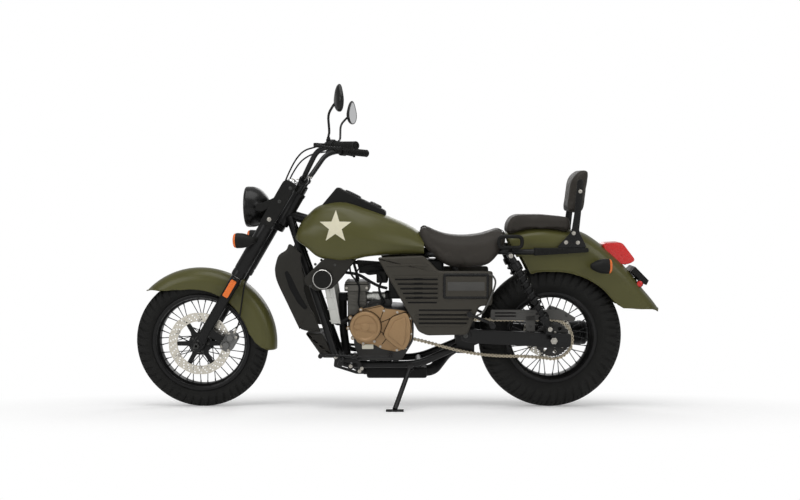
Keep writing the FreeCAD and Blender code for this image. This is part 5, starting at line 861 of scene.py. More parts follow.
# %% Tank skin
TANK_START, TANK_LENGTH, TANK_HALF, TANK_FLOOR, TANK_HEIGHT = 430, 555, 151, 655, 257
TANK_STATIONS = np.array([(0, 0.50, 0.37, 0.44), (0.03, 0.68, 0.31, 0.62), (0.09, 0.79, 0.22, 0.78),
                          (0.19, 0.91, 0.06, 0.94), (0.37, 1, 0, 1), (0.56, 0.96, 0.08, 0.88),
                          (0.74, 0.82, 0.105, 0.74), (0.90, 0.67, 0.11, 0.58), (1, 0.56, 0.115, 0.42)])
TANK_SECTION = np.array([(0, 0), (0.55, 0), (0.93, 0.07), (1, 0.32), (0.93, 0.62), (0.70, 0.87),
                         (0.36, 0.98), (0, 1)])
CREASE_FRONT, CREASE_REAR = (470, 822), (985, 716)


def lofted(stations, section, start, length, half, floor, height, steps=(12, 8)):
    """Sections along the machine. A station is (share of length, of half width, of height at the foot and at
    the top), and the section is (share across, share up) from the middle of the foot to the middle of the
    top."""
    rows = spline(stations, steps[0])
    right = spline(section, steps[1])
    loop = np.vstack([right, (right * [-1, 1])[::-1][1:-1]])
    x = np.broadcast_to(start + rows[:, :1] * length, (len(rows), len(loop)))
    y = rows[:, 1:2] * half * loop[:, 0]
    z = floor + height * (rows[:, 2:3] + (rows[:, 3:4] - rows[:, 2:3]) * loop[:, 1])
    return np.stack([x, y, z], -1)


def creased(grid, front, rear, push, reach):
    """Pushes the skin outwards along a line in side view: fully on the line, fading quickly below it and
    slowly above it, and from nothing at the front to the whole push by the middle."""
    t = np.clip((grid[..., 0] - front[0]) / (rear[0] - front[0]), 0, 1)
    line = front[1] + (rear[1] - front[1]) * t - 14 * np.sin(math.pi * t)
    above = grid[..., 2] - line
    share = np.exp(-np.where(above > 0, above / (2.6 * reach), -above / reach))
    grown = grid.copy()
    grown[..., 1] += np.sign(grid[..., 1]) * push * share * step(t, 0, 0.35)
    return grown


tank_grid = lofted(TANK_STATIONS, TANK_SECTION, TANK_START, TANK_LENGTH, TANK_HALF, TANK_FLOOR, TANK_HEIGHT)
tank_grid = creased(tank_grid, CREASE_FRONT, CREASE_REAR, 5.5, 16)
tank_grid[..., 1] = np.clip(tank_grid[..., 1], -TANK_HALF - 1, TANK_HALF + 1)
piece("fuel_tank_skin", surface(tank_grid), "olive_paint", "fuel_tank", paint="olive_star", crease=50)
print("tank skin points", tank_grid.size // 3)


# %% [markdown]
# ## Console on the tank
# The wedge carries the speedometer on the slope that faces the rider. It is moulded with soft edges, so its
# side outline is eased and inset towards each side. The dial is a turned ring and glass standing on that slope.

# %% Outlines that shrink towards the sides
def outward(outline):
    """Unit directions square to a closed outline, away from its inside."""
    way = np.roll(outline, -1, 0) - np.roll(outline, 1, 0)
    square = np.stack([way[:, 1], -way[:, 0]], -1)
    square /= np.linalg.norm(square, axis=1, keepdims=True)
    x, z = outline[:, 0], outline[:, 1]
    turning = np.sum(x * np.roll(z, -1) - np.roll(x, -1) * z)
    return square * np.sign(turning)


def moulded(outline, y0, y1, edge, steps=6, both_sides=True):
    """A flat moulding with rounded rims: the outline is carried from y0 to y1, and within edge of a face it is
    drawn inwards by edge minus the root of edge squared minus the distance past squared, a quarter circle."""
    a = np.linspace(0, math.pi / 2, steps)
    lead = edge * (1 - np.cos(a)), edge * (1 - np.sin(a))
    side = 1 if y1 > y0 else -1
    far = list(zip(y1 - side * lead[0][::-1], lead[1][::-1]))
    near = list(zip(y0 + side * lead[0], lead[1])) if both_sides else [(y0, 0)]
    square = outward(outline)
    loops = [np.insert(outline - square * inset, 1, y, axis=1) for y, inset in near + far]
    return surface(np.stack(loops))


def cast(outline, easing, y0, y1, edge, steps=6, both_sides=True):
    """A moulding whose outline has its corners eased first."""
    return moulded(eased(outline, easing), y0, y1, edge, steps, both_sides)


CONSOLE_OUTLINE = [(536, 878), (540, 893), (607, 971), (618, 972), (636, 961), (738, 912), (819, 872),
                   (819, 840), (590, 858)]
console = cast(CONSOLE_OUTLINE, 10, -50, 50, 9)
slope_way = np.array([738.0 - 636.0, 0.0, 912.0 - 961.0])
slope_way /= np.linalg.norm(slope_way)
slope_up = np.array([-slope_way[2], 0, slope_way[0]])
dial_middle = np.array([676, 0, 941.5])
piece("tank_console_moulded", console, "matte_black", "tank_console", crease=28)
dial_ring = turned([(-3, 0), (-3, 37), (3, 37.5), (6, 36), (6.6, 34), (5.5, 32), (2.5, 31.5), (2, 0)],
                   dial_middle, slope_up, 64)
piece("dial_ring", dial_ring, "matte_black", paint="gloss_black", crease=35)
ticks = np.linspace(-2.3, 2.3, 13)[:, None]
tick_way = np.cos(ticks) * -slope_way + np.sin(ticks) * ACROSS
tick_starts = dial_middle + slope_up * 2.3 + tick_way * 24
piece("dial_ticks", bars(tick_starts, tick_starts + tick_way * 5, 0.7, 5)
      + bars(dial_middle + slope_up * 3, dial_middle + slope_up * 3 + tick_way[3] * 22, 0.9, 6), "matte_black",
      paint="cream_face", crease=35)
lock = np.array([775, 0, 897])
piece("fuel_cap", turned([(-6, 0), (-6, 27), (1, 28), (5, 26), (6, 22), (4.5, 20), (4.5, 8), (6, 7), (6, 0)],
                         lock, slope_up, 48), "matte_black", paint="bolt_dark", crease=35)

# %% [markdown]
# ## Saddle, pillion pad and backrest
# The covers are sewn vinyl over foam, so each pad is first a plain form a little too small, and then cloth
# under pressure: the skin swells between its corners and pulls in at them, as a stuffed cover does. A cap on
# how far any point may move keeps the pad inside the room that its frame leaves. The welt is a thin tube
# along the seam.

# %% Stuff a cover
SWELL_FRAMES = 20
SWELL_PRESSURE = 4.0


def stuffed(name, shape, cap, voxel=0.006):
    """Remeshes a form evenly, lets it swell for SWELL_FRAMES frames as cloth under pressure with no weight, and
    limits each point's travel to cap millimetres."""
    made = placed(name, shape)
    even = made.modifiers.new("even", "REMESH")
    even.mode = "VOXEL"
    even.voxel_size = voxel
    apply_all(made)
    before = points_of(made.data)
    cloth = made.modifiers.new("cover", "CLOTH")
    cloth.settings.use_pressure = True
    cloth.settings.uniform_pressure_force = SWELL_PRESSURE
    cloth.settings.effector_weights.gravity = 0
    for number in range(1, SWELL_FRAMES + 1):
        bpy.context.scene.frame_set(number)
    apply_all(made)
    travel = points_of(made.data) - before
    size = np.linalg.norm(travel, axis=1, keepdims=True)
    kept = before + travel * np.minimum(1, cap / 1000 / np.maximum(size, 1e-9))
    made.data.vertices.foreach_set("co", kept.ravel())
    bpy.context.scene.frame_set(1)
    print(name, "swelled by up to", round(float(np.minimum(size, cap / 1000).max()) * 1000, 1), "mm")
    return made


def apply_all(made):
    """Replaces the mesh by what its modifiers make of it."""
    solved = bpy.data.meshes.new_from_object(made.evaluated_get(bpy.context.evaluated_depsgraph_get()))
    made.modifiers.clear()
    made.data = solved


def points_of(mesh):
    """A mesh's points as an array."""
    flat = np.empty(len(mesh.vertices) * 3)
    mesh.vertices.foreach_get("co", flat)
    return flat.reshape(-1, 3)


def sewn(made, node):
    """Finishes a pad: smooth shading, one subdivision, its body, slot, finish and stand-in."""
    made.data.materials.clear()
    made.data.materials.append(PAINTS["seat_vinyl"])
    made.data.shade_smooth()
    finer = made.modifiers.new("finer", "SUBSURF")
    finer.levels = finer.render_levels = 1
    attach(made, "chassis")
    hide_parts(node)


SADDLE_STATIONS = np.array([(0.005, 0.46, 0.74, 0.92), (0.06, 0.60, 0.50, 0.985), (0.17, 0.72, 0.26, 0.865),
                            (0.31, 0.84, 0.06, 0.765), (0.50, 0.94, 0.012, 0.725), (0.69, 0.98, 0.032, 0.76),
                            (0.82, 0.95, 0.10, 0.835), (0.93, 0.84, 0.39, 0.915), (0.995, 0.72, 0.62, 0.845)])
SADDLE_SECTION = np.array([(0, 0), (0.6, 0), (0.94, 0.08), (1, 0.42), (0.94, 0.76), (0.70, 0.955), (0.35, 0.99),
                           (0, 0.98)])
saddle_grid = lofted(SADDLE_STATIONS, SADDLE_SECTION, 966, 370, 143, 634, 173, (8, 6))
sewn(stuffed("rider_seat_sewn", surface(saddle_grid), 7), "rider_seat")

PILLION_OUTLINE = [(1343, 768), (1343, 812), (1359, 840), (1384, 851), (1495, 851), (1560, 845), (1612, 840),
                   (1622, 800), (1608, 780), (1558, 796), (1494, 801), (1430, 797), (1385, 786)]
pillion = cast(PILLION_OUTLINE, 12, -88, 88, 20, 8)
sewn(stuffed("pillion_seat_sewn", pillion, 5), "pillion_seat")

BACKREST_OUTLINE = [(1604, 868), (1668, 868), (1688, 1040), (1676, 1046), (1652, 1042), (1632, 1026),
                    (1620, 1005)]
backrest = cast(BACKREST_OUTLINE, 12, -88, 88, 24, 8)
sewn(stuffed("backrest_pad_sewn", backrest, 4, 0.005), "backrest_pad")


# %% Welts along the seams
def welt(grid, share):
    """The line on a loft's skin at that share of the way round, on both sides."""
    column = int(round(share * (grid.shape[1] / 2)))
    line = grid[1:-1, column]
    return tube(line, 1.6, 8).both()


piece("rider_seat_welt", welt(saddle_grid * [1, 1.02, 1] + [0, 0, 1], 0.78), "seat_vinyl", crease=35)

# %% [markdown]
# ## Mudguards
# Both mudguards are steel sheets that follow a wheel, so each is drawn in the wheel's own terms: an angle
# rearwards from straight up, a distance from the axle, and a share of the half width. The arch across is one
# row of points, and the lower edge is a limit on how near the axle a point may come. Solidify then gives the
# sheet its thickness, and a rolled bead stiffens the rim.

# %% Mudguard surfaces
REAR_GUARD_R, REAR_GUARD_HALF = 478, 101
REAR_GUARD = np.array([(-24, 1.052, 0.86), (-8, 1.03, 0.95), (3, 1.003, 0.98), (15, 1.005, 1), (26, 0.972, 1),
                       (37, 0.944, 1), (53, 0.942, 0.96), (63, 0.963, 0.92), (75, 1.031, 0.85)])
REAR_ARCH = np.array([(1, 0.80), (0.985, 0.88), (0.86, 0.945), (0.5, 0.985), (0, 1)])
REAR_EDGE = np.array([(-24, 392), (-21, 390), (-18.9, 301), (-14.3, 302), (-1.2, 296), (18.8, 299), (32.8, 303),
                      (43, 307), (54.3, 310), (61.5, 320), (66.1, 337), (70.5, 396), (73.5, 464), (75, 474)])
FRONT_GUARD_R, FRONT_GUARD_HALF = 329, 66.5
FRONT_ARCH = np.array([(0.78, 1), (0.86, 0.985), (0.94, 0.80), (0.985, 0.45), (1, 0)])[:, ::-1]
FRONT_EDGE = np.array([(-43.5, 0.985), (-40.5, 0.955), (-36, 0.88), (-30, 0.826), (-17, 0.757), (0, 0.726),
                       (12, 0.714), (22, 0.699), (47, 0.678), (61, 0.666), (78, 0.677), (88, 0.737),
                       (93.2, 0.82), (95.3, 0.92)])


def wheel_sheet(axle, angles, radius, half, arch, edge):
    """A sheet over a wheel. angles, radius, half and edge give for each row its angle, its distance from the
    axle at the middle, its half width and the distance at which its sides end. arch is (share across, share of
    the radius) from the side's top to the middle. Below the arch the sides hang straight to the edge."""
    side = spline(arch, 6)
    hang = np.linspace(0, 1, 8)[:, None]
    rows = []
    for turn, reach, width, low in zip(np.radians(angles), radius, half, edge):
        far = np.maximum(side[:, 1], low / reach) * reach
        wall = low + (far[0] - low) * hang[:-1, 0]
        out = np.concatenate([wall, far])
        y = np.concatenate([np.full(len(wall), width), side[:, 0] * width])
        out, y = np.concatenate([out, out[-2::-1]]), np.concatenate([y, -y[-2::-1]])
        rows.append(np.stack([axle[0] + out * math.sin(turn), y, axle[2] + out * math.cos(turn)], -1))
    return np.stack(rows)


def rim_bead(grid, radius):
    """A rolled bead all along a sheet's open edge: down one side, across the end and up the other side."""
    loop = np.vstack([grid[:, 0], grid[-1, 1:], grid[-2::-1, -1], grid[0, -2:0:-1]])
    loop = np.vstack([loop, loop[:1]])
    keep = np.concatenate([[True], np.linalg.norm(np.diff(loop, axis=0), axis=1) > 0.5])
    return tube(loop[keep], radius, 8)


angles = np.linspace(-24, 75, 100)
spans = spline(REAR_GUARD, 12)
rear_rows = [np.interp(angles, spans[:, 0], spans[:, k]) for k in (1, 2)]
rear_low = np.interp(angles, REAR_EDGE[:, 0], REAR_EDGE[:, 1])
rear_sheet = wheel_sheet(REAR_AXLE, angles, rear_rows[0] * REAR_GUARD_R, rear_rows[1] * REAR_GUARD_HALF,
                         REAR_ARCH, np.minimum(rear_low, 0.97 * rear_rows[0] * REAR_GUARD_R))
piece("rear_mudguard_pressed", surface(rear_sheet, close_columns=False, caps=False), "olive_paint",
      "rear_mudguard", crease=40, wall=2.6)
piece("rear_mudguard_bead", rim_bead(rear_sheet * [1, 0.99, 1], 2.4), "olive_paint", crease=35)

angles = np.linspace(-43.5, 95.3, 120)
front_low = np.interp(angles, FRONT_EDGE[:, 0], FRONT_EDGE[:, 1]) * FRONT_GUARD_R
full = np.ones_like(angles)
front_sheet = wheel_sheet(FRONT_AXLE, angles, full * FRONT_GUARD_R, full * FRONT_GUARD_HALF, FRONT_ARCH,
                          np.minimum(front_low, 0.99 * FRONT_GUARD_R))
fork_piece("front_mudguard_pressed", surface(front_sheet, close_columns=False, caps=False), "olive_paint",
           crease=40, wall=2.2)
fork_piece("front_mudguard_bead", rim_bead(front_sheet * [1, 0.99, 1], 2.2), "olive_paint", crease=35)
stays = join(fork_slab(eased(oblong(-13, 27, 256, 324), 8), side * 64.5, side * 74.5) for side in (-1, 1))
stay_bolts = join(bolts([on_fork(s, 16, side * 74.5) for s in (272, 308)], (0, side, 0), 5, 3.5)
                  for side in (-1, 1))
fork_piece("front_mudguard_stays", stays, "olive_paint", "front_mudguard", bevel=1, crease=35)
fork_piece("front_mudguard_bolts", stay_bolts, "olive_paint", paint="bolt_dark", crease=35)

# %% [markdown]
# ## Cowls beside the radiator
# Each cowl is a plastic moulding in three parts: a long front blade with a recess let into it, a plate
# behind with the round cap, and a lower piece. The recess is not cut: a thin black moulding lies on the blade
# there, and its dark is painted shade. The blade is crowned, so it is drawn as a ribbon between its front and
# rear edges whose middle stands proud; a flat plate would look cut from sheet. The cap's disc is bare here
# inside its thin bright ring.

# %% Blades, caps and rings
BLADE_FRONT = [(458, 690), (412, 731), (395, 707), (363, 684), (349, 647), (345, 615), (355, 566), (398, 470),
               (446, 364)]
BLADE_REAR = [(461, 689), (456, 668), (458, 645), (463, 610), (472, 575), (466, 542), (474, 505), (488, 465),
              (510, 427)]
PLATE_OUTLINE = [(545, 660), (611, 700), (612, 697), (685, 664), (686, 658), (611, 563), (590, 541), (521, 531),
                 (474, 560), (468, 585)]
MIDDLE_OUTLINE = [(512, 427), (537, 352), (476, 356), (447, 366), (466, 408), (470, 432)]
RECESS_OUTLINE = [(386, 611), (399, 619), (413, 598), (448, 520), (484, 457), (470, 449), (440, 480),
                  (405, 545)]


def ribbon(front, rear, y, crown, wall, rows=9, steps=8):
    """A crowned strip between two edge lines with as many points. Its height over y is crown times one minus
    the distance from the middle to the fourth power, and it is closed behind at y minus wall."""
    one, two = spline(np.array(front, float), steps), spline(np.array(rear, float), steps)
    share = np.linspace(0, 1, rows)[None, :, None]
    flat = one[:, None] * (1 - share) + two[:, None] * share
    rise = crown * (1 - np.abs(2 * share[..., 0] - 1) ** 4) * np.ones((len(one), 1))
    ends = np.clip(np.minimum(np.arange(len(one)), np.arange(len(one))[::-1]) / 5, 0, 1)[:, None] ** 0.5
    outer = np.stack([flat[..., 0], y + rise * ends, flat[..., 1]], -1)
    inner = outer[:, ::-1].copy()
    inner[..., 1] = y - wall
    return surface(np.concatenate([outer, inner], 1))


def cowl_side():
    """One cowl, on the right side."""
    blade = ribbon(BLADE_FRONT, BLADE_REAR, 117, 7, 8)
    plate = cast(PLATE_OUTLINE, 9, 110, 128, 6, both_sides=False)
    lower = cast(MIDDLE_OUTLINE, 9, 110, 122, 6, both_sides=False)
    return blade + plate + lower


CAP_MIDDLE = np.array([550, 0, 582])
cap = turned([(110, 0), (110, 44.5), (134, 45), (138, 43), (139, 40), (137.5, 37.5), (138.5, 20), (139, 0)],
             CAP_MIDDLE, steps=72)
ring = turned([(137.4, 37.6), (139.6, 38.6), (139.9, 40.2), (138.9, 41.6), (137, 41.2)], CAP_MIDDLE, steps=72,
              closed=True)
# The recess is a thin black moulding whose dark is painted shade.
recess = cast(RECESS_OUTLINE, 7, 118, 125.6, 2.5, both_sides=False)
cowl_bolts = join(bolts([(520, y, 646), (604, y, 643), (498, y, 552)], (0, y, 0), 4.5, 3) for y in (128, -128))
piece("side_cowls_moulded", cowl_side().both(), "cowl_plastic", "side_cowls")
piece("cowl_caps", cap.both(), "cowl_plastic", paint="matte_black", crease=25)
piece("cowl_rings", ring.both(), "cowl_plastic", paint="ring_chrome", crease=35)
piece("cowl_recesses", recess.both(), "cowl_plastic", paint="lining_and_painted_shade")
piece("cowl_bolts", cowl_bolts, "cowl_plastic", paint="bolt_dark", crease=35)
CHIN_OUTLINE = [(466, 341), (540, 341), (600, 232), (541, 232)]
chin = cast(CHIN_OUTLINE, 9, -90, 90, 10)
chin_ribs = join(cast([(492 + 15 * k, 322 - 24 * k), (541 + 12 * k, 322 - 24 * k), (544 + 12 * k, 314 - 24 * k),
                       (497 + 15 * k, 314 - 24 * k)], 3, side * 88, side * 92, 1.2, 3) for k in range(4)
                 for side in (-1, 1))
piece("chin_cowl", chin + chin_ribs, "cowl_plastic")

# %% [markdown]
# ## Side covers
# The covers under the saddle are one moulding a side: level ribs above and below, short vent slots between
# them, and a raised frame round a bare panel. The outline is carried outwards with a rounded rim, and the ribs
# are slim mouldings of their own that end where the outline does, worked out from its two slanting sides.

# %% Cover, ribs, slots and bare panel
COVER_OUTLINE = [(785, 676), (983, 684), (1047, 618), (1279, 618), (1278, 471), (1222, 467), (1171, 343),
                 (998, 340), (961, 357), (936, 405)]
PANEL_OUTLINE = oblong(1066, 1262, 609, 500)
COVER_FACE = 151


def edge_at(first, last, z):
    """The x at which the line from first to last has the height z."""
    return first[0] + (last[0] - first[0]) * (first[1] - z) / (first[1] - last[1])


def cover_front(z):
    """Where the cover's front edge is at the height z."""
    return edge_at(COVER_OUTLINE[0], COVER_OUTLINE[-1], z)


def cover_rear(z):
    """Where the cover's rear edge is at the height z."""
    return edge_at(COVER_OUTLINE[5], COVER_OUTLINE[6], z)


def cover_rib(x0, x1, z, height=8):
    """A level rib with rounded ends."""
    outline = eased(oblong(x0, x1, z, z + height), 3.5)
    return moulded(outline, COVER_FACE - 2, COVER_FACE + 4, 2.5, 4, both_sides=False)


def cover_side():
    """The right cover with its ribs."""
    cover = cast(COVER_OUTLINE, 14, 132, COVER_FACE, 10, 7, both_sides=False)
    back = cast(COVER_OUTLINE, 14, 131, 136, 1, 3)
    upper = [cover_rib(cover_front(z) + 18, 1046, z) for z in (490, 510, 530, 550, 570, 590)]
    lower = [cover_rib(edge_at((936, 405), (961, 357), z) + 16 if z < 405 else 946, cover_rear(z) - 18, z)
             for z in (381, 399, 417, 435)]
    top = [cover_rib(cover_front(640) + 20, 1000, 640)]
    return cover + back + join(upper + lower + top)


badge_outline = eased(PANEL_OUTLINE, 12)
badge = moulded(badge_outline, 148, 158, 5, 5, both_sides=False)
inner = badge_outline - outward(badge_outline) * 11
panel = moulded(inner, 152, 159.4, 1.2, 3, both_sides=False)
bare = cast(oblong(1085, 1243, 573, 536), 4, 158, 160.4, 0.8, 3, both_sides=False)
# The vent slots are not cut: thin black slabs stand on the face there, and their dark is painted shade.
slots = join(cast(oblong(940, 980, z, z + 9), 3, 150, 151.4, 0.4, 3)
             for z in (499.5, 519.5, 539.5, 559.5, 579.5))
# Thin black slabs between and beside the ribs are painted shade, where the ribs' own shadow falls.
painted_rib_shade_lines = [(cover_front(z) + 22, 1044, z) for z in (500, 520, 540, 560, 580)]
painted_rib_shade_lines += [(962, cover_rear(z) - 22, z) for z in (391.5, 409.5, 427.5)]
painted_rib_shade_lines += [(cover_front(480.5) + 22, 1040, 480.5), (962, 1190, 448)]
painted_rib_shade = join(cast(oblong(x0, x1, z, z + 6.5), 3, 150, 151.3, 0.4, 3) for x0, x1, z in painted_rib_shade_lines)
piece("cover_rib_shadows", painted_rib_shade.both(), "cover_plastic", paint="lining_and_painted_shade")
drain = hose([(1258, -150, 606), (1280, -158, 595), (1288, -160, 562), (1260, -160, 486), (1238, -156, 444),
              (1206, -150, 424)], 4, 12)
piece("drain_hose", drain, "cover_plastic", paint="guard_grey", crease=35)
piece("side_covers_moulded", cover_side().both(), "cover_plastic", "side_covers")
piece("cover_badge_frames", badge.both(), "cover_plastic", paint="gloss_black")
piece("cover_panels", panel.both(), "cover_plastic")
piece("cover_bare_plates", bare.both(), "cover_plastic", paint="guard_grey")
piece("cover_slots", slots.both(), "cover_plastic", paint="lining_and_painted_shade")

# %% [markdown]
# ## Fork
# Every part of a telescopic fork is turned or milled: sliders, covers and tubes are profiles carried round the
# leg, and the yokes are plates whose corners a cutter has eased. The axle lug, the pinch bolts and the arm of
# the caliper are what makes a slider look cast rather than drawn.

# %% Sliders, covers, tubes and yokes
def leg(profile, y=LEG_Y, steps=40):
    """A profile of (s, radius) pairs turned about a fork leg."""
    return turned(profile, on_fork(0, 0, y), UP, steps)


slider = leg([(-30, 0), (-30, 15), (-27, 20), (-22, 23.5), (18, 24.5), (46, 22.5), (290, 23), (308, 24.8),
              (338, 24.8), (342, 23.5), (346, 22), (346, 0)])
lug = turned([(-25, 9.4), (-25, 21), (-22, 24), (22, 24), (25, 21), (25, 9.4)], FRONT_AXLE + LEG_Y * ACROSS,
             steps=40, closed=True)
caliper_arm = fork_slab(eased([(4, 58), (30, 60), (78, 58), (80, 92), (44, 92), (4, 96)], 6), -108, -73)
sliders = (slider + lug).both() + caliper_arm
fork_piece("fork_sliders_cast", sliders, "fork_black", "fork_sliders", bevel=0.8)
pinch = [on_fork(s, -6, side * 124) for side in (-1, 1) for s in (-14, 22)]
fork_piece("slider_bolts", join(bolts([place], (0, np.sign(place[1]), 0), 4, 3) for place in pinch),
           "fork_black", paint="bolt_dark", crease=35)

cover = leg([(348, 20.3), (348, 27), (352, 30), (372, 30), (376, 28.5), (380, 28.5), (384, 30), (590, 30),
             (604, 29), (604, 20.3)])
fork_piece("fork_covers_turned", cover.both(), "fork_black", "fork_shrouds")
tubes = leg([(346, 0), (346, 20), (822, 20), (826, 18), (827, 12), (830, 11), (830, 0)])
fork_piece("fork_tubes_turned", tubes.both(), "fork_chrome", "fork_tubes")

YOKE = [(-18, -62), (-25, -98), (-25, -127), (25, -127), (25, -69), (62, -26), (62, 26), (25, 69), (25, 127),
        (-25, 127), (-25, 98), (-18, 62)]
RISER_Y, BAR_W, CLAMP_S = 42, 34, 850
yoke = join(fork_plate(eased(YOKE, 11), s, s + 26) for s in (604, 792))
stem = turned([(604, 0), (604, 14), (818, 14), (818, 21), (826, 21), (829, 18), (829, 0)],
              on_fork(0, 42), UP, 32)
risers = join(turned([(792, 0), (792, 17), (846, 17), (848, 16), (848, 0)], on_fork(0, BAR_W, y), UP, 32)
              for y in (-RISER_Y, RISER_Y))
clamps = join(turned([(-19, 11.2), (-19, 18), (-17, 20), (17, 20), (19, 18), (19, 11.2)],
                     on_fork(CLAMP_S, BAR_W, y), steps=32, closed=True) for y in (-RISER_Y, RISER_Y))
fork_piece("fork_yokes_milled", yoke + stem + risers + clamps, "fork_black", "fork_yokes",
           paint="bar_black", bevel=2)
clamp_bolts = [on_fork(CLAMP_S + 19.5, BAR_W + w, y) for w in (-13, 13) for y in (-RISER_Y, RISER_Y)]
yoke_bolts = [on_fork(830, 0, side * LEG_Y) for side in (-1, 1)]
fork_piece("yoke_bolts", bolts(clamp_bolts, UP, 4, 5) + bolts(yoke_bolts, UP, 8, 5), "fork_black",
           paint="bolt_steel", crease=35)

# %% [markdown]
# ## Headlight, its plates and the indicators
# Tall flat plates stand outside the yokes and carry the lamp by an ear each. The lamp is a bowl with a rolled
# rim, a silver reflector inside and a domed glass, so light really passes through it. The indicators are small
# bullets, each with a moulded amber lens at its open end.

# %% Plates and lamp
FORK_PLATE = [(-29, 606), (27, 606), (27, 812), (20, 821), (-18, 821), (-29, 806)]
LAMP_FRONT = np.array([208, 0, 888])
REARWARDS = np.array([1, 0, 0])
plate = fork_slab(eased(FORK_PLATE, 12), 127.5, 135.5)
ear_points = [(270, 874), (272, 902), (300, 907), (352, 930), (364, 912), (300, 870)]
ear = slab(eased(ear_points, 7), 127.5, 131.5)
fork_piece("fork_plates_pressed", (plate + ear).both(), "matte_black", "fork_plates", bevel=2)
plate_spots = [(796, 12), (724, 0), (636, 0)]
dark = [on_fork(s, w, 135.5) for s, w in plate_spots[:2]]
pale = [on_fork(s, w, 135.5) for s, w in plate_spots[2:]]
fork_piece("plate_bolts_dark", bolts(dark, ACROSS, 6, 4).both(), "matte_black", paint="bolt_dark", crease=35)
fork_piece("plate_bolts_pale", bolts(pale, ACROSS, 7, 4.5).both(), "matte_black", paint="bolt_steel", crease=35)

bowl_line = spline([(10, 84), (14, 87.4), (40, 86), (70, 72), (94, 46), (106, 20), (108, 0)], 6)
bowl = turned(np.vstack([[(16, 0), (12, 76), (8, 80)], bowl_line]), LAMP_FRONT, REARWARDS, 80)
LAMP_HINGE = (288, 0, 888)
arms = turned([(-127, 0), (-127, 9), (127, 9), (127, 0)], LAMP_HINGE, steps=24)
arm_cups = turned([(70, 0), (70, 17), (75, 15), (79, 12), (79, 0)], LAMP_HINGE, steps=32).both()
fork_piece("headlight_bowl", bowl + arms + arm_cups, "gloss_black", "headlight")
trim = turned([(1, 78), (0.5, 83), (3, 86.5), (10, 88), (16, 88), (18, 86.8), (12, 84), (4, 80)], LAMP_FRONT,
              REARWARDS, 80, closed=True)
fork_piece("headlight_rim", trim, "gloss_black", crease=40)
reflector = turned(np.vstack([[(11.5, 76)], spline([(9, 77), (11.5, 60), (13.5, 40), (14.5, 18), (15, 0)], 4)]),
                   LAMP_FRONT, REARWARDS, 64)
fork_piece("headlight_reflector", reflector, "clear_lens", paint="bowl_silver", crease=35)
glass_line = spline([(7, 0), (6.6, 30), (5, 60), (2.5, 78)], 5)
glass = turned(np.vstack([glass_line, (glass_line + [2.2, 0])[::-1]]), LAMP_FRONT, REARWARDS, 80)
fork_piece("headlight_glass", glass, "clear_lens", "headlight_lens", crease=35)


# %% Indicators and side reflectors
def bullet(place, ahead):
    """A shell and its lens. ahead is -1 where the lens faces the front and 1 where it faces the rear."""
    way = (ahead, 0, 0)
    line = spline([(-78, 0), (-77, 9), (-62, 19), (-36, 29.5), (-12, 32), (-1, 32)], 5)
    shell = turned(np.vstack([line, [(0, 31), (0, 0)]]), place, way, 44)
    dome = spline([(1.5, 30.3), (6, 29.5), (10, 25), (13, 14), (14, 0)], 4)
    glass = turned(np.vstack([[(0, 0), (0, 29.5)], dome]), place, way, 44)
    return shell, glass


front_place = np.array([192, 168, 749])
front_leg_x = on_fork((749 - 292) / UP[2])[0]
shell, front_lens = bullet(front_place, -1)
stalk = turned([(-48, 0), (-48, 10), (-44, 11), (-4, 8.5), (2, 8), (2, 0)], (front_leg_x - 10, 168, 749),
               steps=24)
neck = bars((225, 168, 749), (front_leg_x - 10, 168, 749), 8, 20)
fork_piece("front_indicator_shells", (shell + stalk + neck).both(), "matte_black", "front_indicators")
# The amber strips are reflectors, and the lens material gives them a painted glow.
strip = fork_slab(eased(oblong(-12.5, 12.5, 249, 331), 6), 123, 130)
fork_piece("front_indicator_lenses", front_lens.both() + strip.both(), "amber_lens", "amber_lenses",
           bevel=1)
base = fork_slab(eased(oblong(-14.5, 14.5, 246, 334), 7), 117, 124)
fork_piece("reflector_bases", base.both(), "amber_lens", paint="matte_black", bevel=0.8, crease=35)

# %% [markdown]
# ## Front caliper
# Two halves clasp the disc and a bridge joins them beyond its rim. Each half is cast, so it is a slab with an
# eased outline, and the pistons' bosses stand on the outer one. The gap beside the disc is a real one.

# %% Caliper halves and bridge
HALF = [(80, 42), (92, 32), (120, 32), (135, 46), (135, 108), (122, 121), (90, 121), (79, 108)]
arc = np.radians(np.linspace(23, 55, 8))
BRIDGE = np.vstack([np.stack([147 * np.cos(arc), 147 * np.sin(arc)], -1),
                    [(88, 121), (122, 121), (135, 108), (135, 62)]])
halves = fork_slab(eased(HALF, 8), -88, -73.5) + fork_slab(eased(HALF, 8), -54.5, -40)
bridge = fork_slab(BRIDGE, -74, -54)
bosses = join(turned([(-9, 0), (-9, 13), (-7, 15), (0, 17), (0, 0)], on_fork(s, 104, -88), steps=32)
              for s in (58, 95))
fork_piece("front_caliper_cast", halves + bridge + bosses, "caliper_grey", "front_caliper", bevel=1.6)
caliper_bolts = [on_fork(s, w, -88.5) for s, w in ((44, 90), (110, 90), (112, 124), (44, 124))]
fork_piece("caliper_bolts", bolts(caliper_bolts, -ACROSS, 4.5, 4), "caliper_grey", paint="bolt_steel",
           crease=35)

# %% [markdown]
# ## Handlebar and its fittings
# The bar is one bent tube. Its bends are eased lines, and each end is bored for its end weight. Grips, pods and
# perches are turned about the grip's own line, and the levers are tubes that thin towards a ball at the tip.

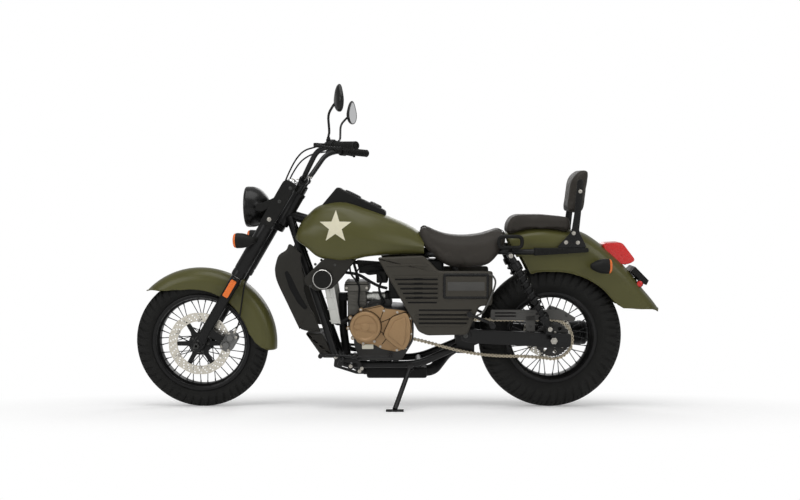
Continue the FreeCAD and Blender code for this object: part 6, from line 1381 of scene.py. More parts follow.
# %% Bar, grips and switch pods
CLAMP = on_fork(CLAMP_S, BAR_W)
SHOULDER = np.array([600, 238, 1140])
BAR_END = np.array([718, 385, 1133])
GRIP_WAY = (BAR_END - SHOULDER) / np.linalg.norm(BAR_END - SHOULDER)
GRIP_LENGTH = np.linalg.norm(BAR_END - SHOULDER)
FORWARD = np.array([-GRIP_WAY[1], GRIP_WAY[0], 0]) / np.hypot(GRIP_WAY[0], GRIP_WAY[1])


def on_grip(reach, forward=0, rise=0):
    """A point on the right grip's line: reach along it from the shoulder, then forwards and up."""
    return SHOULDER + reach * GRIP_WAY + forward * FORWARD + rise * ABOVE


def grip_turned(profile, steps=36):
    """A profile of (distance from the shoulder, radius) pairs turned about the right grip's line."""
    return turned(profile, SHOULDER, GRIP_WAY, steps)


right_line = [CLAMP + [0, 95, 0], (540, 190, CLAMP[2] + 118), SHOULDER, on_grip(GRIP_LENGTH - 60)]
left_line = [np.array(p) * [1, -1, 1] for p in reversed(right_line)]
bar_line = eased(np.array(left_line + right_line), 62, closed=False, steps=9)
bar_end = grip_turned([(GRIP_LENGTH - 61, 0), (GRIP_LENGTH - 61, 11), (GRIP_LENGTH, 11), (GRIP_LENGTH, 8),
                       (GRIP_LENGTH - 40, 8), (GRIP_LENGTH - 40, 0)])
fork_piece("handlebar_bent", tube(bar_line, 11, 24) + bar_end.both(), "bar_black", "handlebar", crease=35)
ridges = ribbed(44, 6.5, 20, [(0, 16.8), (4, 16.8), (4.6, 15.6), (6, 15.6)])
grip_end = [(178, 16.8), (182, 17.5), (184.5, 16), (184.5, 11.3)]
grip = grip_turned([(41.5, 11.3), (41.5, 19), (43.5, 19)] + ridges + grip_end)
fork_piece("grips_ribbed", grip.both(), "grip_rubber", "grips", crease=40)

pod = grip_turned([(5.7, 11.3), (5.7, 20), (8, 22), (21, 22), (21.6, 20.8), (22.2, 22), (35, 22), (37.5, 20),
                   (37.5, 11.3)])
housing = cast([(-16, -16), (18, -16), (20, 6), (8, 20), (-14, 20)], 7, 8, 35, 3)


def beside_grip(shape):
    """Stands a shape drawn as (forwards, along, up) beside the right grip."""
    p = shape.points
    return Shape(SHOULDER + p[:, :1] * FORWARD + p[:, 1:2] * GRIP_WAY + p[:, 2:] * ABOVE, shape.faces)


perch = grip_turned([(-26, 11.3), (-26, 15), (-24, 16), (0, 16), (2, 15), (2, 11.3)])
arm = bars(on_grip(-11, 8), on_grip(-11, 58), 9, 20)
knuckle = turned([(-9, 0), (-9, 10), (-7, 11.5), (7, 11.5), (9, 10), (9, 0)], on_grip(-11, 60), ABOVE, 28)
blade_line = spline([on_grip(-11, 60), on_grip(18, 67, -2), on_grip(57, 60, -6), on_grip(110, 59, -9),
                     on_grip(160, 62, -12)], 7)
blade = tube(blade_line, np.linspace(7.2, 4.4, len(blade_line)), 16, flat=0.75)
ball = turned(np.array([(7 * math.sin(a), 7 * math.cos(a)) for a in np.linspace(-1.57, 1.57, 9)]),
              on_grip(163, 62, -12), GRIP_WAY, 20)
side = pod + beside_grip(housing) + perch + arm + knuckle + blade + ball
cup = cast(oblong(12, 48, -22, 22), 7, 0, 26, 3)
cup = Shape(SHOULDER + cup.points[:, :1] * FORWARD + (cup.points[:, 2:] - 11) * GRIP_WAY
            + (cup.points[:, 1:2] + 4) * ABOVE, cup.faces)
lid = [on_grip(-11 + a, 30 + f, 30) for a in (-14, 14) for f in (-11, 11)]
fork_piece("hand_controls_moulded", side.both() + cup, "matte_black", "hand_controls")
fork_piece("cup_screws", bolts(lid, ABOVE, 2.6, 2), "matte_black", paint="bolt_steel", crease=35)
kill = beside_grip(cast(oblong(-8, 8, 0, 5), 2, 14, 24, 1).moved((-2, 0, 20)))
left_keys = beside_grip(cast(oblong(-7, 7, 0, 4), 2, 12, 20, 1).moved((-14, 0, 8)))
fork_piece("kill_switch", kill, "matte_black", paint="switch_red", crease=35)
fork_piece("left_switches", left_keys.mirrored() + kill.mirrored(), "matte_black",
           paint="guard_grey", crease=35)

# %% [markdown]
# ## Mirrors
# A teardrop is a circle whose top is drawn out: the reach upwards grows with the cube of the cosine, so its
# foot stays round. Rings of that outline, each a little smaller and deeper, make the shell, and the glass sits
# in its mouth behind a narrow lip.

# %% Shells, glasses and stems
MIRROR = np.array([655, 352, 1308])
MIRROR_TURN = math.radians(-22)


def teardrop(depth, scale, steps=56):
    """The outline at a depth ahead of the glass, before it is turned and placed."""
    turn = np.linspace(0, 2 * math.pi, steps, endpoint=False)
    reach = 42 + 24 * np.maximum(np.cos(turn), 0) ** 3
    return np.stack([np.full(steps, -depth), scale * 42 * np.sin(turn), scale * reach * np.cos(turn)], -1)


def placed_mirror(rings):
    """Rings of the mirror turned to the rider and moved to the right mirror's place."""
    c, s = math.cos(MIRROR_TURN), math.sin(MIRROR_TURN)
    turn = np.array([[c, -s, 0], [s, c, 0], [0, 0, 1]])
    return surface(np.stack(rings) @ turn.T + MIRROR)


shell_rings = [teardrop(2.5, 0.86), teardrop(0.5, 0.90), teardrop(0, 0.95), teardrop(2, 0.99), teardrop(6, 1),
               teardrop(11, 0.965), teardrop(16, 0.87), teardrop(20.5, 0.70), teardrop(23, 0.48),
               teardrop(24, 0.2)]
glass_rings = [teardrop(1.6, 0.885), teardrop(1.2, 0.88), teardrop(1.1, 0.5)]
root = on_grip(-11.3)
span = MIRROR - root
shares = ((0.12, 0.30, 0.30), (0.10, 0.62, 0.72), (0.55, 0.92, 0.93))
stem_line = [root + [0, 0, 15], root + [0, 0, 40]] + [root + span * share for share in shares]
stem_line += [MIRROR - [12, 0, 0]]
stem = bent(stem_line, 26, 5, 16, steps=7)
foot = turned([(0, 0), (0, 10), (3, 11), (12, 11), (14, 9), (22, 7), (22, 0)], root + [0, 0, 13], ABOVE, 6)
fork_piece("mirror_shells", (placed_mirror(shell_rings) + stem + foot).both(), "gloss_black",
           "mirrors", crease=40)
fork_piece("mirror_glass_panes", placed_mirror(glass_rings).both(), "mirror_glass", "mirror_glasses", crease=35)

# %% [markdown]
# ## Cables and hose
# The clutch cable and its like on the right run from the levers in front of the bar and down to the lower yoke,
# and the brake hose goes on from there behind the left leg to the caliper. They are held at both ends and turn
# with the fork, so each is a smooth tube on a line through its clips.

# %% Cables
grip_root = on_grip(-11.3, 45) - GRIP_WAY * 9.6 - [0, 0, 3.8]
cable_route = ((905, -36, 84), (815, -34, 52), (665, -6, 48), (630.3, -6, 48))
cable_points = [grip_root, (482, 165, 1124)] + [on_fork(s, w, y) for s, w, y in cable_route]
hose_points = [on_fork(s, w, y) for s, w, y in ((603.7, 26, -60), (575, 26, -60), (520, 38, -82),
                                                (346, 38, -98), (165, 107, -85), (122.3, 107, -85))]
cable = bent(cable_points, 55, 3.4, 12)
brake_hose = bent(hose_points, 40, 3.4, 12)
fitting = turned([(0, 3.5), (0, 6), (9, 6), (11, 5), (24, 4.4), (24, 3.5)], on_fork(122.5, 107, -85), UP, 16,
                 closed=True)
fork_piece("control_cables_smooth", cable.both() + brake_hose, "cable_black", "control_cables", crease=35)
fork_piece("hose_fitting", fitting, "cable_black", paint="bolt_steel", crease=35)

# %% [markdown]
# ## Engine
# The crankcase is one casting with painted covers bolted to its left face: a dished round one over the
# generator and a triangular one over the sprocket. Each cover is a moulding with a rounded rim, as a casting
# leaves its die. The dark joint lines between them are thin beads let into the face, because a painted line
# would vanish in a view from the side.

# %% Case and bronze face
CASE_OUTLINE = [(681, 297), (707, 229), (889, 229), (941, 317), (936, 425), (905, 450), (816, 458), (800, 475),
                (711, 455), (681, 421)]
FACE_OUTLINE = [(683, 334), (698, 303), (768, 300), (800, 279), (868, 266), (912, 286), (934, 330), (932, 423),
                (903, 447), (817, 455), (800, 471), (713, 452), (683, 419)]
SPROCKET_COVER = [(807, 341), (843, 419), (912, 443), (929, 395), (926, 324), (902, 273), (858, 293)]
GENERATOR = np.array([733, 0, 378])
CLUTCH = np.array([850, 0, 345])


def shrunk(outline, by):
    """An outline drawn in by a number of millimetres."""
    outline = np.asarray(outline, float)
    return outline - outward(outline) * by


case = cast(CASE_OUTLINE, 18, -126, 129, 4, 4)
sump = cast([(735, 240), (868, 240), (852, 214), (752, 214)], 12, -58, 60, 4)
piece("crankcase_cast", case + sump, "case_bronze", paint="case_dark")
face = cast(FACE_OUTLINE, 16, 118, 131, 3, 4, both_sides=False).mirrored()
right_face = cast(FACE_OUTLINE, 16, 118, 132, 3, 4, both_sides=False)
piece("crankcase_painted_faces", face + right_face, "case_bronze", "engine_case")

# %% Covers and joint lines
generator_line = [(128, 0), (128, 67), (152, 67), (157, 65.5), (160, 62), (161, 58), (160.6, 54), (157, 50.5),
                  (155.4, 48), (155, 44), (155.4, 20), (157, 17), (159, 14), (159.6, 0)]
generator = turned(generator_line, GENERATOR, steps=88).mirrored()
cover_outline = eased(SPROCKET_COVER, 20, steps=9)
raised_outline = eased(shrunk(SPROCKET_COVER, 21), 12, steps=8)
sprocket_cover = (moulded(cover_outline, 128, 151, 4.5, 5, both_sides=False)
                  + moulded(raised_outline, 144, 156, 3, 4, both_sides=False)).mirrored()
clutch = turned([(130, 0), (130, 82), (149, 82), (155, 80), (158.5, 75), (160, 68), (158, 62), (158, 24),
                 (159.5, 20), (159.5, 0)], CLUTCH, steps=88)
rib_ends = [((690, 389), (776, 398)), ((688, 369), (779, 352))]
ribs = join(tube(spline([(x0, -156, z0), ((x0 + x1) / 2, -156.5, (z0 + z1) / 2 + 2), (x1, -156, z1)], 6), 2.2,
                 8) for (x0, z0), (x1, z1) in rib_ends)
piece("engine_covers_cast", generator + sprocket_cover + clutch + ribs, "case_bronze",
      "engine_covers", crease=25)
SEAMS = [[(796, 408), (812, 450), (816, 456)], [(800, 396), (868, 424), (924, 442)],
         [(798, 356), (836, 326), (884, 284)], [(803, 300), (824, 330), (806, 345)],
         [(700, 446), (742, 454), (799, 466)]]
seams = join(hose([(x, -131, z) for x, z in line], 1.5, 8) for line in SEAMS)
gen_seam = tube(round_wheel(GENERATOR, 68.5, -131.3, np.linspace(0, 2 * math.pi, 73)), 1.6, 8)
loop = cover_outline + outward(cover_outline) * 1.2
cover_seam = tube(np.insert(np.vstack([loop, loop[:1]]), 1, -131.2, axis=1), 1.6, 8)
piece("engine_joint_lines", seams + gen_seam + cover_seam, "case_bronze", paint="lining_and_painted_shade", crease=35)

case_block = cast(oblong(717, 766, 279, 299), 3, 126, 130, 0.8, 3).mirrored()
piece("pale_case_block", case_block, "case_bronze", paint="cream_face")

# %% Cover bolts
gen_angles = np.radians([105, 150, 186, 222, 262, 300])
gen_bolts = round_wheel(GENERATOR, 75, -131, gen_angles)
face_bolts = [(812, -131, 446), (870, -131, 439), (925, -131, 412), (929, -131, 345), (905, -131, 284),
              (868, -131, 274), (796, -131, 290)]
clutch_angles = np.arange(8) * math.pi / 4 + 0.3
clutch_bolts = round_wheel(CLUTCH, 88, 131.5, clutch_angles[:5])
ear = [(118, 0), (118, 8.5), (133, 8.5), (135, 7), (135, 0)]
ears = join(turned(ear, place * [1, 0, 1], steps=20) for place in gen_bolts)
piece("cover_bolt_ears", ears.mirrored(), "case_bronze")
heads = bolts(gen_bolts - [0, 4, 0], -ACROSS, 4.2, 4) + bolts(face_bolts, -ACROSS, 4, 3.5)
piece("cover_bolts", heads + bolts(clutch_bolts, ACROSS, 4, 3.5), "case_bronze", paint="bolt_steel", crease=35)

# %% [markdown]
# ## Cylinder, intake and radiator
# The barrel stands on the case with a deeper head above it. Rounded vertical corners and a dark gasket line
# between barrel and head make one block read as three castings. The throttle body is turned, with its clamps
# and a butterfly lever, and a hose and a plug lead cross the gap under the tank, as on any such engine.

# %% Barrel, head and their joint
def block(x0, x1, half, z0, z1, edge):
    """A box with rounded upright corners and rims: its plan outline carried upwards, drawn in near its ends."""
    plan = eased(oblong(x0, x1, -half, half), 2.2 * edge)
    flat = moulded(plan, z0, z1, edge)
    return Shape(flat.points[:, [0, 2, 1]], flat.faces)


barrel = block(651, 733, 61.5, 352, 528, 3)
flutes = join(block(650.5, 733.5, 66.5, z, z + 4.5, 1.2) for z in (464, 479, 494, 509))
head = block(638, 746, 74, 524.5, 553, 4)
lid = block(641, 743, 71, 553.5, 565.5, 4)
piece("cylinder_cast", barrel + flutes + head + lid, "cylinder_alloy", "cylinder")
gaskets = block(638.5, 745.5, 73.4, 552.2, 554.4, 0.6) + block(649.8, 734.2, 62.6, 523, 526, 0.6)
piece("cylinder_gaskets", gaskets, "cylinder_alloy", paint="lining_and_painted_shade", crease=35)
lid_bolts = [(x, y, 564.5) for x in (650, 734) for y in (-60, 0, 60)]
side_bolts = [(x, -74, 539) for x in (648, 736)]
piece("head_bolts", bolts(lid_bolts, ABOVE, 4, 3) + bolts(side_bolts, -ACROSS, 4, 3), "cylinder_alloy",
      paint="bolt_steel", crease=35)

# %% Throttle body, airbox and hoses
throttle_line = [(0, 0), (0, 21), (6, 22), (10, 22), (11, 20), (24, 20), (25, 24), (62, 24), (63, 19.5),
                 (74, 19.5), (75, 22), (88, 22), (96, 21), (96, 0)]
throttle = turned(throttle_line, (734, -30, 497), REARWARDS, 44)
lever = cast([(772, 488), (790, 484), (806, 500), (792, 516), (774, 508)], 5, -62, -55, 1.5)
piece("throttle_body_turned", throttle + lever, "matte_black", paint="radiator_alloy")
airbox = block(831, 1071, 77, 491, 659, 9)
duct = turned([(0, 0), (0, 25), (3, 27), (14, 27), (17, 25), (17, 0)], (815, -30, 497), REARWARDS, 40)
piece("airbox_moulded", airbox + duct, "matte_black", "intake")
hose_line = spline([(640, -60, 606), (700, -66, 596), (752, -70, 566), (790, -66, 546), (824, -58, 536)], 8)
lead_line = spline([(692, -40, 566), (690, -52, 604), (720, -60, 632), (790, -58, 640), (850, -60, 636)], 8)
loom_line = spline([(560, -40, 640), (640, -34, 650), (740, -44, 640), (830, -50, 610), (850, -60, 590)], 8)
cap = turned([(0, 0), (0, 9), (18, 9), (20, 7), (30, 6), (30, 0)], (692, -40, 560), (0, -0.3, 1), 20)
piece("breather_hose", tube(hose_line, 6.5, 14), "matte_black", paint="cable_black", crease=35)
piece("plug_lead", tube(lead_line, 3.6, 10) + cap, "matte_black", paint="cable_black", crease=35)
piece("wiring_loom", tube(loom_line, 8, 12), "matte_black", paint="lining_and_painted_shade", crease=35)

# %% Coil, relay and brackets under the tank
coil_box = block(700, 772, 40, 600, 640, 5)
relay_box = block(778, 826, 70, 560, 612, 5)
bracket = cast([(690, 660), (830, 650), (812, 600), (742, 592), (700, 618)], 10, -52, -46, 1.5)
steady = bars([(676, -46, 655), (790, -70, 520)], [(700, -60, 575), (812, -70, 470)], 6, 14)
piece("coil_and_relays", coil_box + relay_box + bracket + steady, "matte_black")
clip_line = [(742, -58, 604), (762, -70, 606), (790, -78, 596), (800, -80, 570), (790, -82, 540),
             (800, -84, 500)]
branch = [(660, -50, 640), (668, -66, 600), (690, -74, 570), (704, -76, 540), (700, -74, 470), (716, -80, 440)]
piece("wiring_branches", hose(clip_line, 5, 10) + hose(branch, 4, 10), "matte_black",
      paint="cable_black", crease=35)
filler = cast([(744, 452), (838, 448), (846, 470), (838, 492), (760, 484), (738, 470)], 8, -66, 40, 4)
piece("gearbox_top", filler, "case_bronze", paint="case_dark")

# %% Radiator end tanks
def sloped(thick, y0, y1, edge):
    """A slab on the radiator's slope."""
    outline = [(540.5, 639), (540 + thick, 639), (581.5 + thick, 385), (582.5, 385)]
    return cast(outline, 3, y0, y1, edge)


core = sloped(19.5, -88, 88, 1)
tanks = sloped(43.5, 88.5, 107.5, 4).both()
beads = join(cast([(543 + k * 8.2, 602 - k * 50), (583 + k * 8.2, 602 - k * 50), (584 + k * 8.2, 596 - k * 50),
                   (544 + k * 8.2, 596 - k * 50)], 2, 106, 109, 1.2, 3) for k in range(5)).both()
piece("radiator_brazed", core + tanks + beads, "radiator_alloy", "radiator")
neck = turned([(0, 0), (0, 15), (14, 15), (15, 20), (20, 20), (22, 17), (22, 0)], (566, -96, 636),
              (0.16, 0, 1), 28)
coolant = hose([(590, -96, 400), (612, -94, 388), (640, -90, 396), (662, -84, 410), (676, -76, 410)], 11, 18)
piece("radiator_hoses", coolant + neck, "radiator_alloy", paint="cable_black")

# %% [markdown]
# ## Frame, exhaust, pegs and controls
# Every tube of the frame is one bent line with a round section. The lines are the construction's own: a
# start, its bends and its end, eased at each bend, so the tube lies where the welded one does. Lugs and plates
# are mouldings with a filed edge.

# %% Frame tubes and plates
top = on_fork(680, 56, 22)
down = bent([top, (612, 95, 205), (960, 95, 205), (1130, 70, 280)], 62, 16, 24)
rail = bent([(1000, 0, 684), (1000, 82, 684), (1290, 82, 698), (1351, 118, 698), (1455.5, 118, 698)], 26, 12,
            20, steps=7)
strut = tube([(1165, 70, 440), (1133, 76, 569), (1101.5, 82, 698)], 12, 20)
stays = bars([(546, 62, 600), (569, 80, 430)], [(539, 62, 600), (574, 80, 430)], 6, 16)
plates = cast(oblong(1123.5, 1206.5, 252, 450), 12, 62.5, 77.5, 2)
mounts = join(cast([(x - 16, 206), (x + 16, 206), (x + 12, 227), (x - 12, 227)], 4, 87.5, 102.5, 1.5)
              for x in (760, 862))
head_tube = turned([(631, 15), (631, 27), (633, 28.5), (642, 28.5), (645, 27), (775, 27), (778, 28.5),
                    (789, 28.5), (791, 27), (791, 15)], on_fork(0, 42), UP, 40, closed=True)
backbone = tube([on_fork(684, 42), (1000, 0, 684)], 22, 28)
crosses = bars([(1123, -62, 436), (960, -95, 205)], [(1123, 62, 436), (960, 95, 205)], 16, 24)
side_parts = down + rail + strut + plates + mounts
lug = bars((925, -95, 205), (925, -131, 200.5), 12, 20)
piece("frame_welded", side_parts.both() + head_tube + backbone + crosses + lug, "frame_black", "frame")

# %% Exhaust
header = bent([(626, 0, 494), (626, 0, 352), (644, 12, 205), (712, 12, 158), (748, 12, 158)], 50, 18, 24)
port = block(608.5, 649.5, 23.5, 477, 511, 2.5)
chamber = cast(oblong(731, 999, 133, 183), 13, -45.5, 69.5, 9)
link = bent([(950, 12, 158), (1025, 12, 158), (1100, 124, 233), (1305, 198, 303), (1355, 198, 303)], 50, 25, 28)
can_line = [(0, 22), (0, 26.4), (18, 36), (40.5, 47.3), (60, 52), (89, 54.5), (140, 55), (398, 55), (400, 53.4),
            (402, 55), (408, 52), (417, 40), (417, 38), (414, 36), (410, 22), (390, 20), (360, 20), (360, 0)]
CAN_START = (1330, 198, 303)
can = turned(can_line, CAN_START, REARWARDS, 72)
piece("exhaust_system", header + port + chamber + link + can, "exhaust_black", "exhaust")
bands = join(turned([(a, 55), (a, 57), (a + 2, 58), (a + 12, 58), (a + 14, 57), (a + 14, 55)], CAN_START,
                    REARWARDS, 56, closed=True) for a in (104, 372))
piece("silencer_bands", bands, "exhaust_black", paint="gloss_black")

# %% Pegs and pedals
BRACKET = [(601, 260), (594, 204), (693, 172), (726, 172), (708, 230)]
HOLE = [(625, 206), (690, 186), (704, 188), (696, 219), (640, 226)]
peg_plate = pierced([eased(BRACKET, 8), eased(HOLE, 6)], 138.5, 145.5, 1.2)
peg_arm = bars((668, 111.5, 205), (668, 146, 205), 13.5, 28)


def rubber_peg(x, root_y, z, slot_y=250):
    """A peg with ribs round it on a thin root."""
    start = root_y + 12
    count = int((slot_y - start - 16) // 6.5)
    ribs_of = ribbed(start + 6, 6.5, count, [(0, 12), (3.5, 12), (4.3, 10.4), (5.7, 10.4)])
    foot = [(root_y, 0), (root_y, 6), (start, 6), (start, 11), (start + 2, 12)]
    line = foot + ribs_of + [(slot_y - 5, 12), (slot_y - 1, 11), (slot_y, 8), (slot_y, 0)]
    return turned(line, (x, 0, z), steps=32)


rear_root = bars((1180, 78.3, 434), (1180, 166, 434), 12, 28)
rear_strut = bars((1180, 160, 434), (1273, 160, 395), 6.5, 20)
pegs = peg_plate + peg_arm + rubber_peg(632, 138.5, 235) + rear_root + rear_strut + rubber_peg(1273, 160, 395)
piece("footpegs_ribbed", pegs.both(), "bar_black", "footpegs")
peg_bolts = [(604, 146, 246), (668, 146.5, 206), (706, 146, 184), (716, 146, 196)]
piece("peg_bolts", bolts(peg_bolts, ACROSS, 6, 4).both(), "bar_black", paint="bolt_steel", crease=35)
PAD_PLACE, LEVER_BEND, SHAFT_END = (545, 172, 262), (690, 172, 252), (841, 172, 252)
pad_ribs = ribbed(4, 6, 7, [(0, 10), (3, 10), (3.6, 8.8), (5.2, 8.8)])
pad = turned([(0, 0), (0, 9), (2, 10)] + pad_ribs + [(46, 10), (48, 8), (48, 0)], PAD_PLACE, steps=28)
ball = turned([(-9, 0), (-7, 6), (-3, 9), (3, 9), (7, 6), (9, 0)], LEVER_BEND, steps=24)
gear = join([bars((841, 128.3, 252), SHAFT_END, 6, 20), bars(SHAFT_END, LEVER_BEND, 4.5, 16),
             tube([LEVER_BEND, (620, 172, 256), PAD_PLACE], 6, 16), pad, ball, ball.moved((151, 0, 0))])
pedal = join([bars((690, 146.3, 246), (690, 172, 246), 6, 20),
              tube([(690, 172, 246), (620, 172, 253), PAD_PLACE], 6, 16), pad])
piece("foot_controls_forged", gear.mirrored() + pedal, "bar_black", "foot_controls")

# %% [markdown]
# ## Swingarm and dampers
# The arms are welded box tubes, so each is a moulding with a generous edge. A damper is a rod in a body with a
# coil spring round it: the coil is a helix, a circle that climbs evenly while it turns, carried as a tube.

# %% Swingarm
ARM_OUTLINE = [(1165, 368.5), (1134.5, 338), (1165, 307.5), (1545, 286.5), (1620.5, 286.5), (1620.5, 347.5),
               (1545, 347.5)]
ARM_PIVOT = (1165, 0, 338)
arm = cast(ARM_OUTLINE, 16, 118.5, 139.5, 5)
pivot_ring = turned([(117.8, 0), (117.8, 25), (140.5, 25), (143, 23), (143, 14), (141, 12), (141, 0)],
                    ARM_PIVOT, steps=40)
damper_web = cast([(1509, 372), (1510, 384), (1536, 384), (1537, 372), (1537, 320), (1509, 320)], 9,
                  118.5, 139.5, 3)
stud = bars((1523, 118.5, 372), (1523, 180.5, 372), 8, 24)
tail_block = cast(oblong(1560, 1608, 302, 332), 5, 137, 142, 1.5)
pivot_tube = turned([(-61, 0), (-61, 26), (61, 26), (61, 0)], ARM_PIVOT, steps=36)
arms = arm + pivot_ring + damper_web + stud + tail_block
piece("swingarm_welded", arms.both() + pivot_tube, "frame_black", "swingarm")
adjust = bolts([(1612, 129, 317)], (1, 0, 0), 6, 6) + bolts([(1165, 141, 338)], ACROSS, 8, 3)
piece("swingarm_bolts", adjust.both(), "frame_black", paint="bolt_dark", crease=35)

# %% Dampers
SHOCK_TOP = np.array([1351.0, 168.0, 685.0])
SHOCK_LOW = np.array([1523.0, 168.0, 372.0])
shock_way = SHOCK_LOW - SHOCK_TOP
shock_length = float(np.linalg.norm(shock_way))
shock_way /= shock_length
COIL_START, COIL_END, COIL_TURNS = 58, shock_length - 62, 10


def coil(start, end, turns, radius, wire):
    """A spring along the damper: closed end turns, an even climb between, its wire a round tube."""
    t = np.linspace(0, 1, int(turns * 22) + 1)
    climb = start + (end - start) * np.clip((t * turns - 0.7) / (turns - 1.4), 0, 1)
    side = np.cross(shock_way, ACROSS)
    angle = 2 * math.pi * turns * t
    ring = np.cos(angle)[:, None] * side + np.sin(angle)[:, None] * ACROSS
    return tube(SHOCK_TOP + climb[:, None] * shock_way + radius * ring, wire, 10)


def on_shock(profile, steps=40):
    """A turned piece along the damper from its upper eye."""
    return turned(profile, SHOCK_TOP, shock_way, steps)


spring = coil(COIL_START, COIL_END, COIL_TURNS, 19.6, 4.2)
body_line = [(11, 0), (11, 14), (30, 15), (34, 22), (50, 23.6), (54, 23.6), (57, 21), (57, 15), (200, 15),
             (203, 13.5), (COIL_END, 13.5), (COIL_END + 2, 22), (COIL_END + 5, 23.6), (COIL_END + 10, 23.6),
             (COIL_END + 14, 20), (COIL_END + 28, 17), (COIL_END + 40, 12), (shock_length - 11, 12),
             (shock_length - 11, 0)]
body = on_shock(body_line)
eyes = join(turned([(-13, 6), (-13, 13), (-11, 15), (11, 15), (13, 13), (13, 6)], eye, steps=32, closed=True)
            for eye in (SHOCK_TOP, SHOCK_LOW))
upper_stud = bars((1351, 127, 685), (1351, 181, 685), 7.8, 24)
piece("shock_bodies", (body + eyes + upper_stud).both(), "shock_black", "shocks")
piece("shock_springs", spring.both(), "shock_black", paint="gloss_black", crease=60)
ends = bolts([SHOCK_TOP + [0, 12.6, 0], SHOCK_LOW + [0, 12.6, 0]], ACROSS, 7.5, 6)
piece("shock_bolts", ends.both(), "shock_black", paint="bolt_steel", crease=35)

# %% [markdown]
# ## Chain and rear sprocket
# A roller chain is one link repeated: two plates with round ends and a waist, and a roller at each pin. The
# pins are stepped along one line, a tangent run, an arc round the rear sprocket, the lower run with its sag
# and an arc round the front one. Outer plates stand on every second link, so the chain reads as links from
# the side. The shape of one link is drawn once and turned onto all of them at a time.

# %% Pins on the pitch line
DRIVE = np.array([892, 366])
DRIVEN = REAR_AXLE[[0, 2]]
DRIVE_R, DRIVEN_R, CHAIN_SAG, CHAIN_PITCH = 38, 86, 26, 15.875
CHAIN_Y = -100
run_way = DRIVEN - DRIVE
run_length = float(np.linalg.norm(run_way))
tilt = math.atan2(run_way[1], run_way[0])
spread = math.acos((DRIVE_R - DRIVEN_R) / run_length)
upper_angle, lower_angle = tilt + spread, tilt - spread
upper = rim_of(DRIVE, DRIVE_R, np.array([upper_angle]))[0], rim_of(DRIVEN, DRIVEN_R, np.array([upper_angle]))[0]
lower = rim_of(DRIVEN, DRIVEN_R, np.array([lower_angle]))[0], rim_of(DRIVE, DRIVE_R, np.array([lower_angle]))[0]
t = np.linspace(0, 1, 240)[:, None]
upper_run = upper[0] + (upper[1] - upper[0]) * t
lower_run = lower[0] + (lower[1] - lower[0]) * t - np.hstack([0 * t, CHAIN_SAG * np.sin(math.pi * t) ** 2])
rear_arc = rim_of(DRIVEN, DRIVEN_R, np.linspace(upper_angle, lower_angle, 120))
front_arc = rim_of(DRIVE, DRIVE_R, np.linspace(lower_angle, upper_angle - 2 * math.pi, 120))
pitch_line = np.vstack([upper_run, rear_arc[1:], lower_run[1:], front_arc[1:]])
steps_along = np.r_[0, np.cumsum(np.linalg.norm(np.diff(pitch_line, axis=0), axis=1))]
LINKS = 2 * round(steps_along[-1] / CHAIN_PITCH / 2)
stations = np.arange(LINKS) * steps_along[-1] / LINKS
pins = np.stack([np.interp(stations, steps_along, pitch_line[:, k]) for k in (0, 1)], -1)
print("chain links", LINKS, "pitch", round(steps_along[-1] / LINKS, 3))

# %% Plates and rollers
PLATE_HALF = 7.2
bow = np.radians([90, 130, 180, 230, 270])
one_end = np.stack([PLATE_HALF * np.cos(bow), PLATE_HALF * np.sin(bow)], -1)


def link_plates(numbers, y0, y1):
    """The chosen links' plates: end bow, waist, end bow, waist, turned from one pin to the next."""
    start, end = pins[numbers], pins[(numbers + 1) % LINKS]
    way = end - start
    length = np.linalg.norm(way, axis=1, keepdims=True)
    way = way / length
    across = np.stack([-way[:, 1], way[:, 0]], -1)
    local_start = one_end[None] + np.zeros((len(numbers), 1, 1))
    local_end = one_end[::-1][None] * [-1, 1] + np.stack([length, 0 * length], -1).reshape(-1, 1, 2)
    middle = length[:, None] / 2
    low = np.concatenate([middle, 0 * middle - 3.6], -1)
    high = np.concatenate([middle, 0 * middle + 3.6], -1)
    outline = np.concatenate([local_start, low, local_end, high], 1)
    flat = start[:, None] + outline[..., :1] * way[:, None] + outline[..., 1:] * across[:, None]
    shapes = (moulded(loop, y0, y1, 0.5, 2) for loop in flat)
    return join(shapes)


every = np.arange(LINKS)
outer, inner = every[::2], every[1::2]
plates = join([link_plates(outer, CHAIN_Y - 8.4, CHAIN_Y - 6.2),
               link_plates(outer, CHAIN_Y + 6.2, CHAIN_Y + 8.4),
               link_plates(inner, CHAIN_Y - 5.9, CHAIN_Y - 3.7),
               link_plates(inner, CHAIN_Y + 3.7, CHAIN_Y + 5.9)])
piece("chain_plates", plates, "chain_steel", "chain", crease=40)
pins_low = np.insert(pins, 1, CHAIN_Y - 8.5, axis=1)
pins_high = np.insert(pins, 1, CHAIN_Y + 8.5, axis=1)
rollers = bars(pins_low + [0, 4.6, 0], pins_high - [0, 4.6, 0], 5, 12)
rivets = bars(pins_low, pins_high, 2.6, 8)
piece("chain_rollers", rollers + rivets, "chain_steel", paint="case_dark", crease=40)

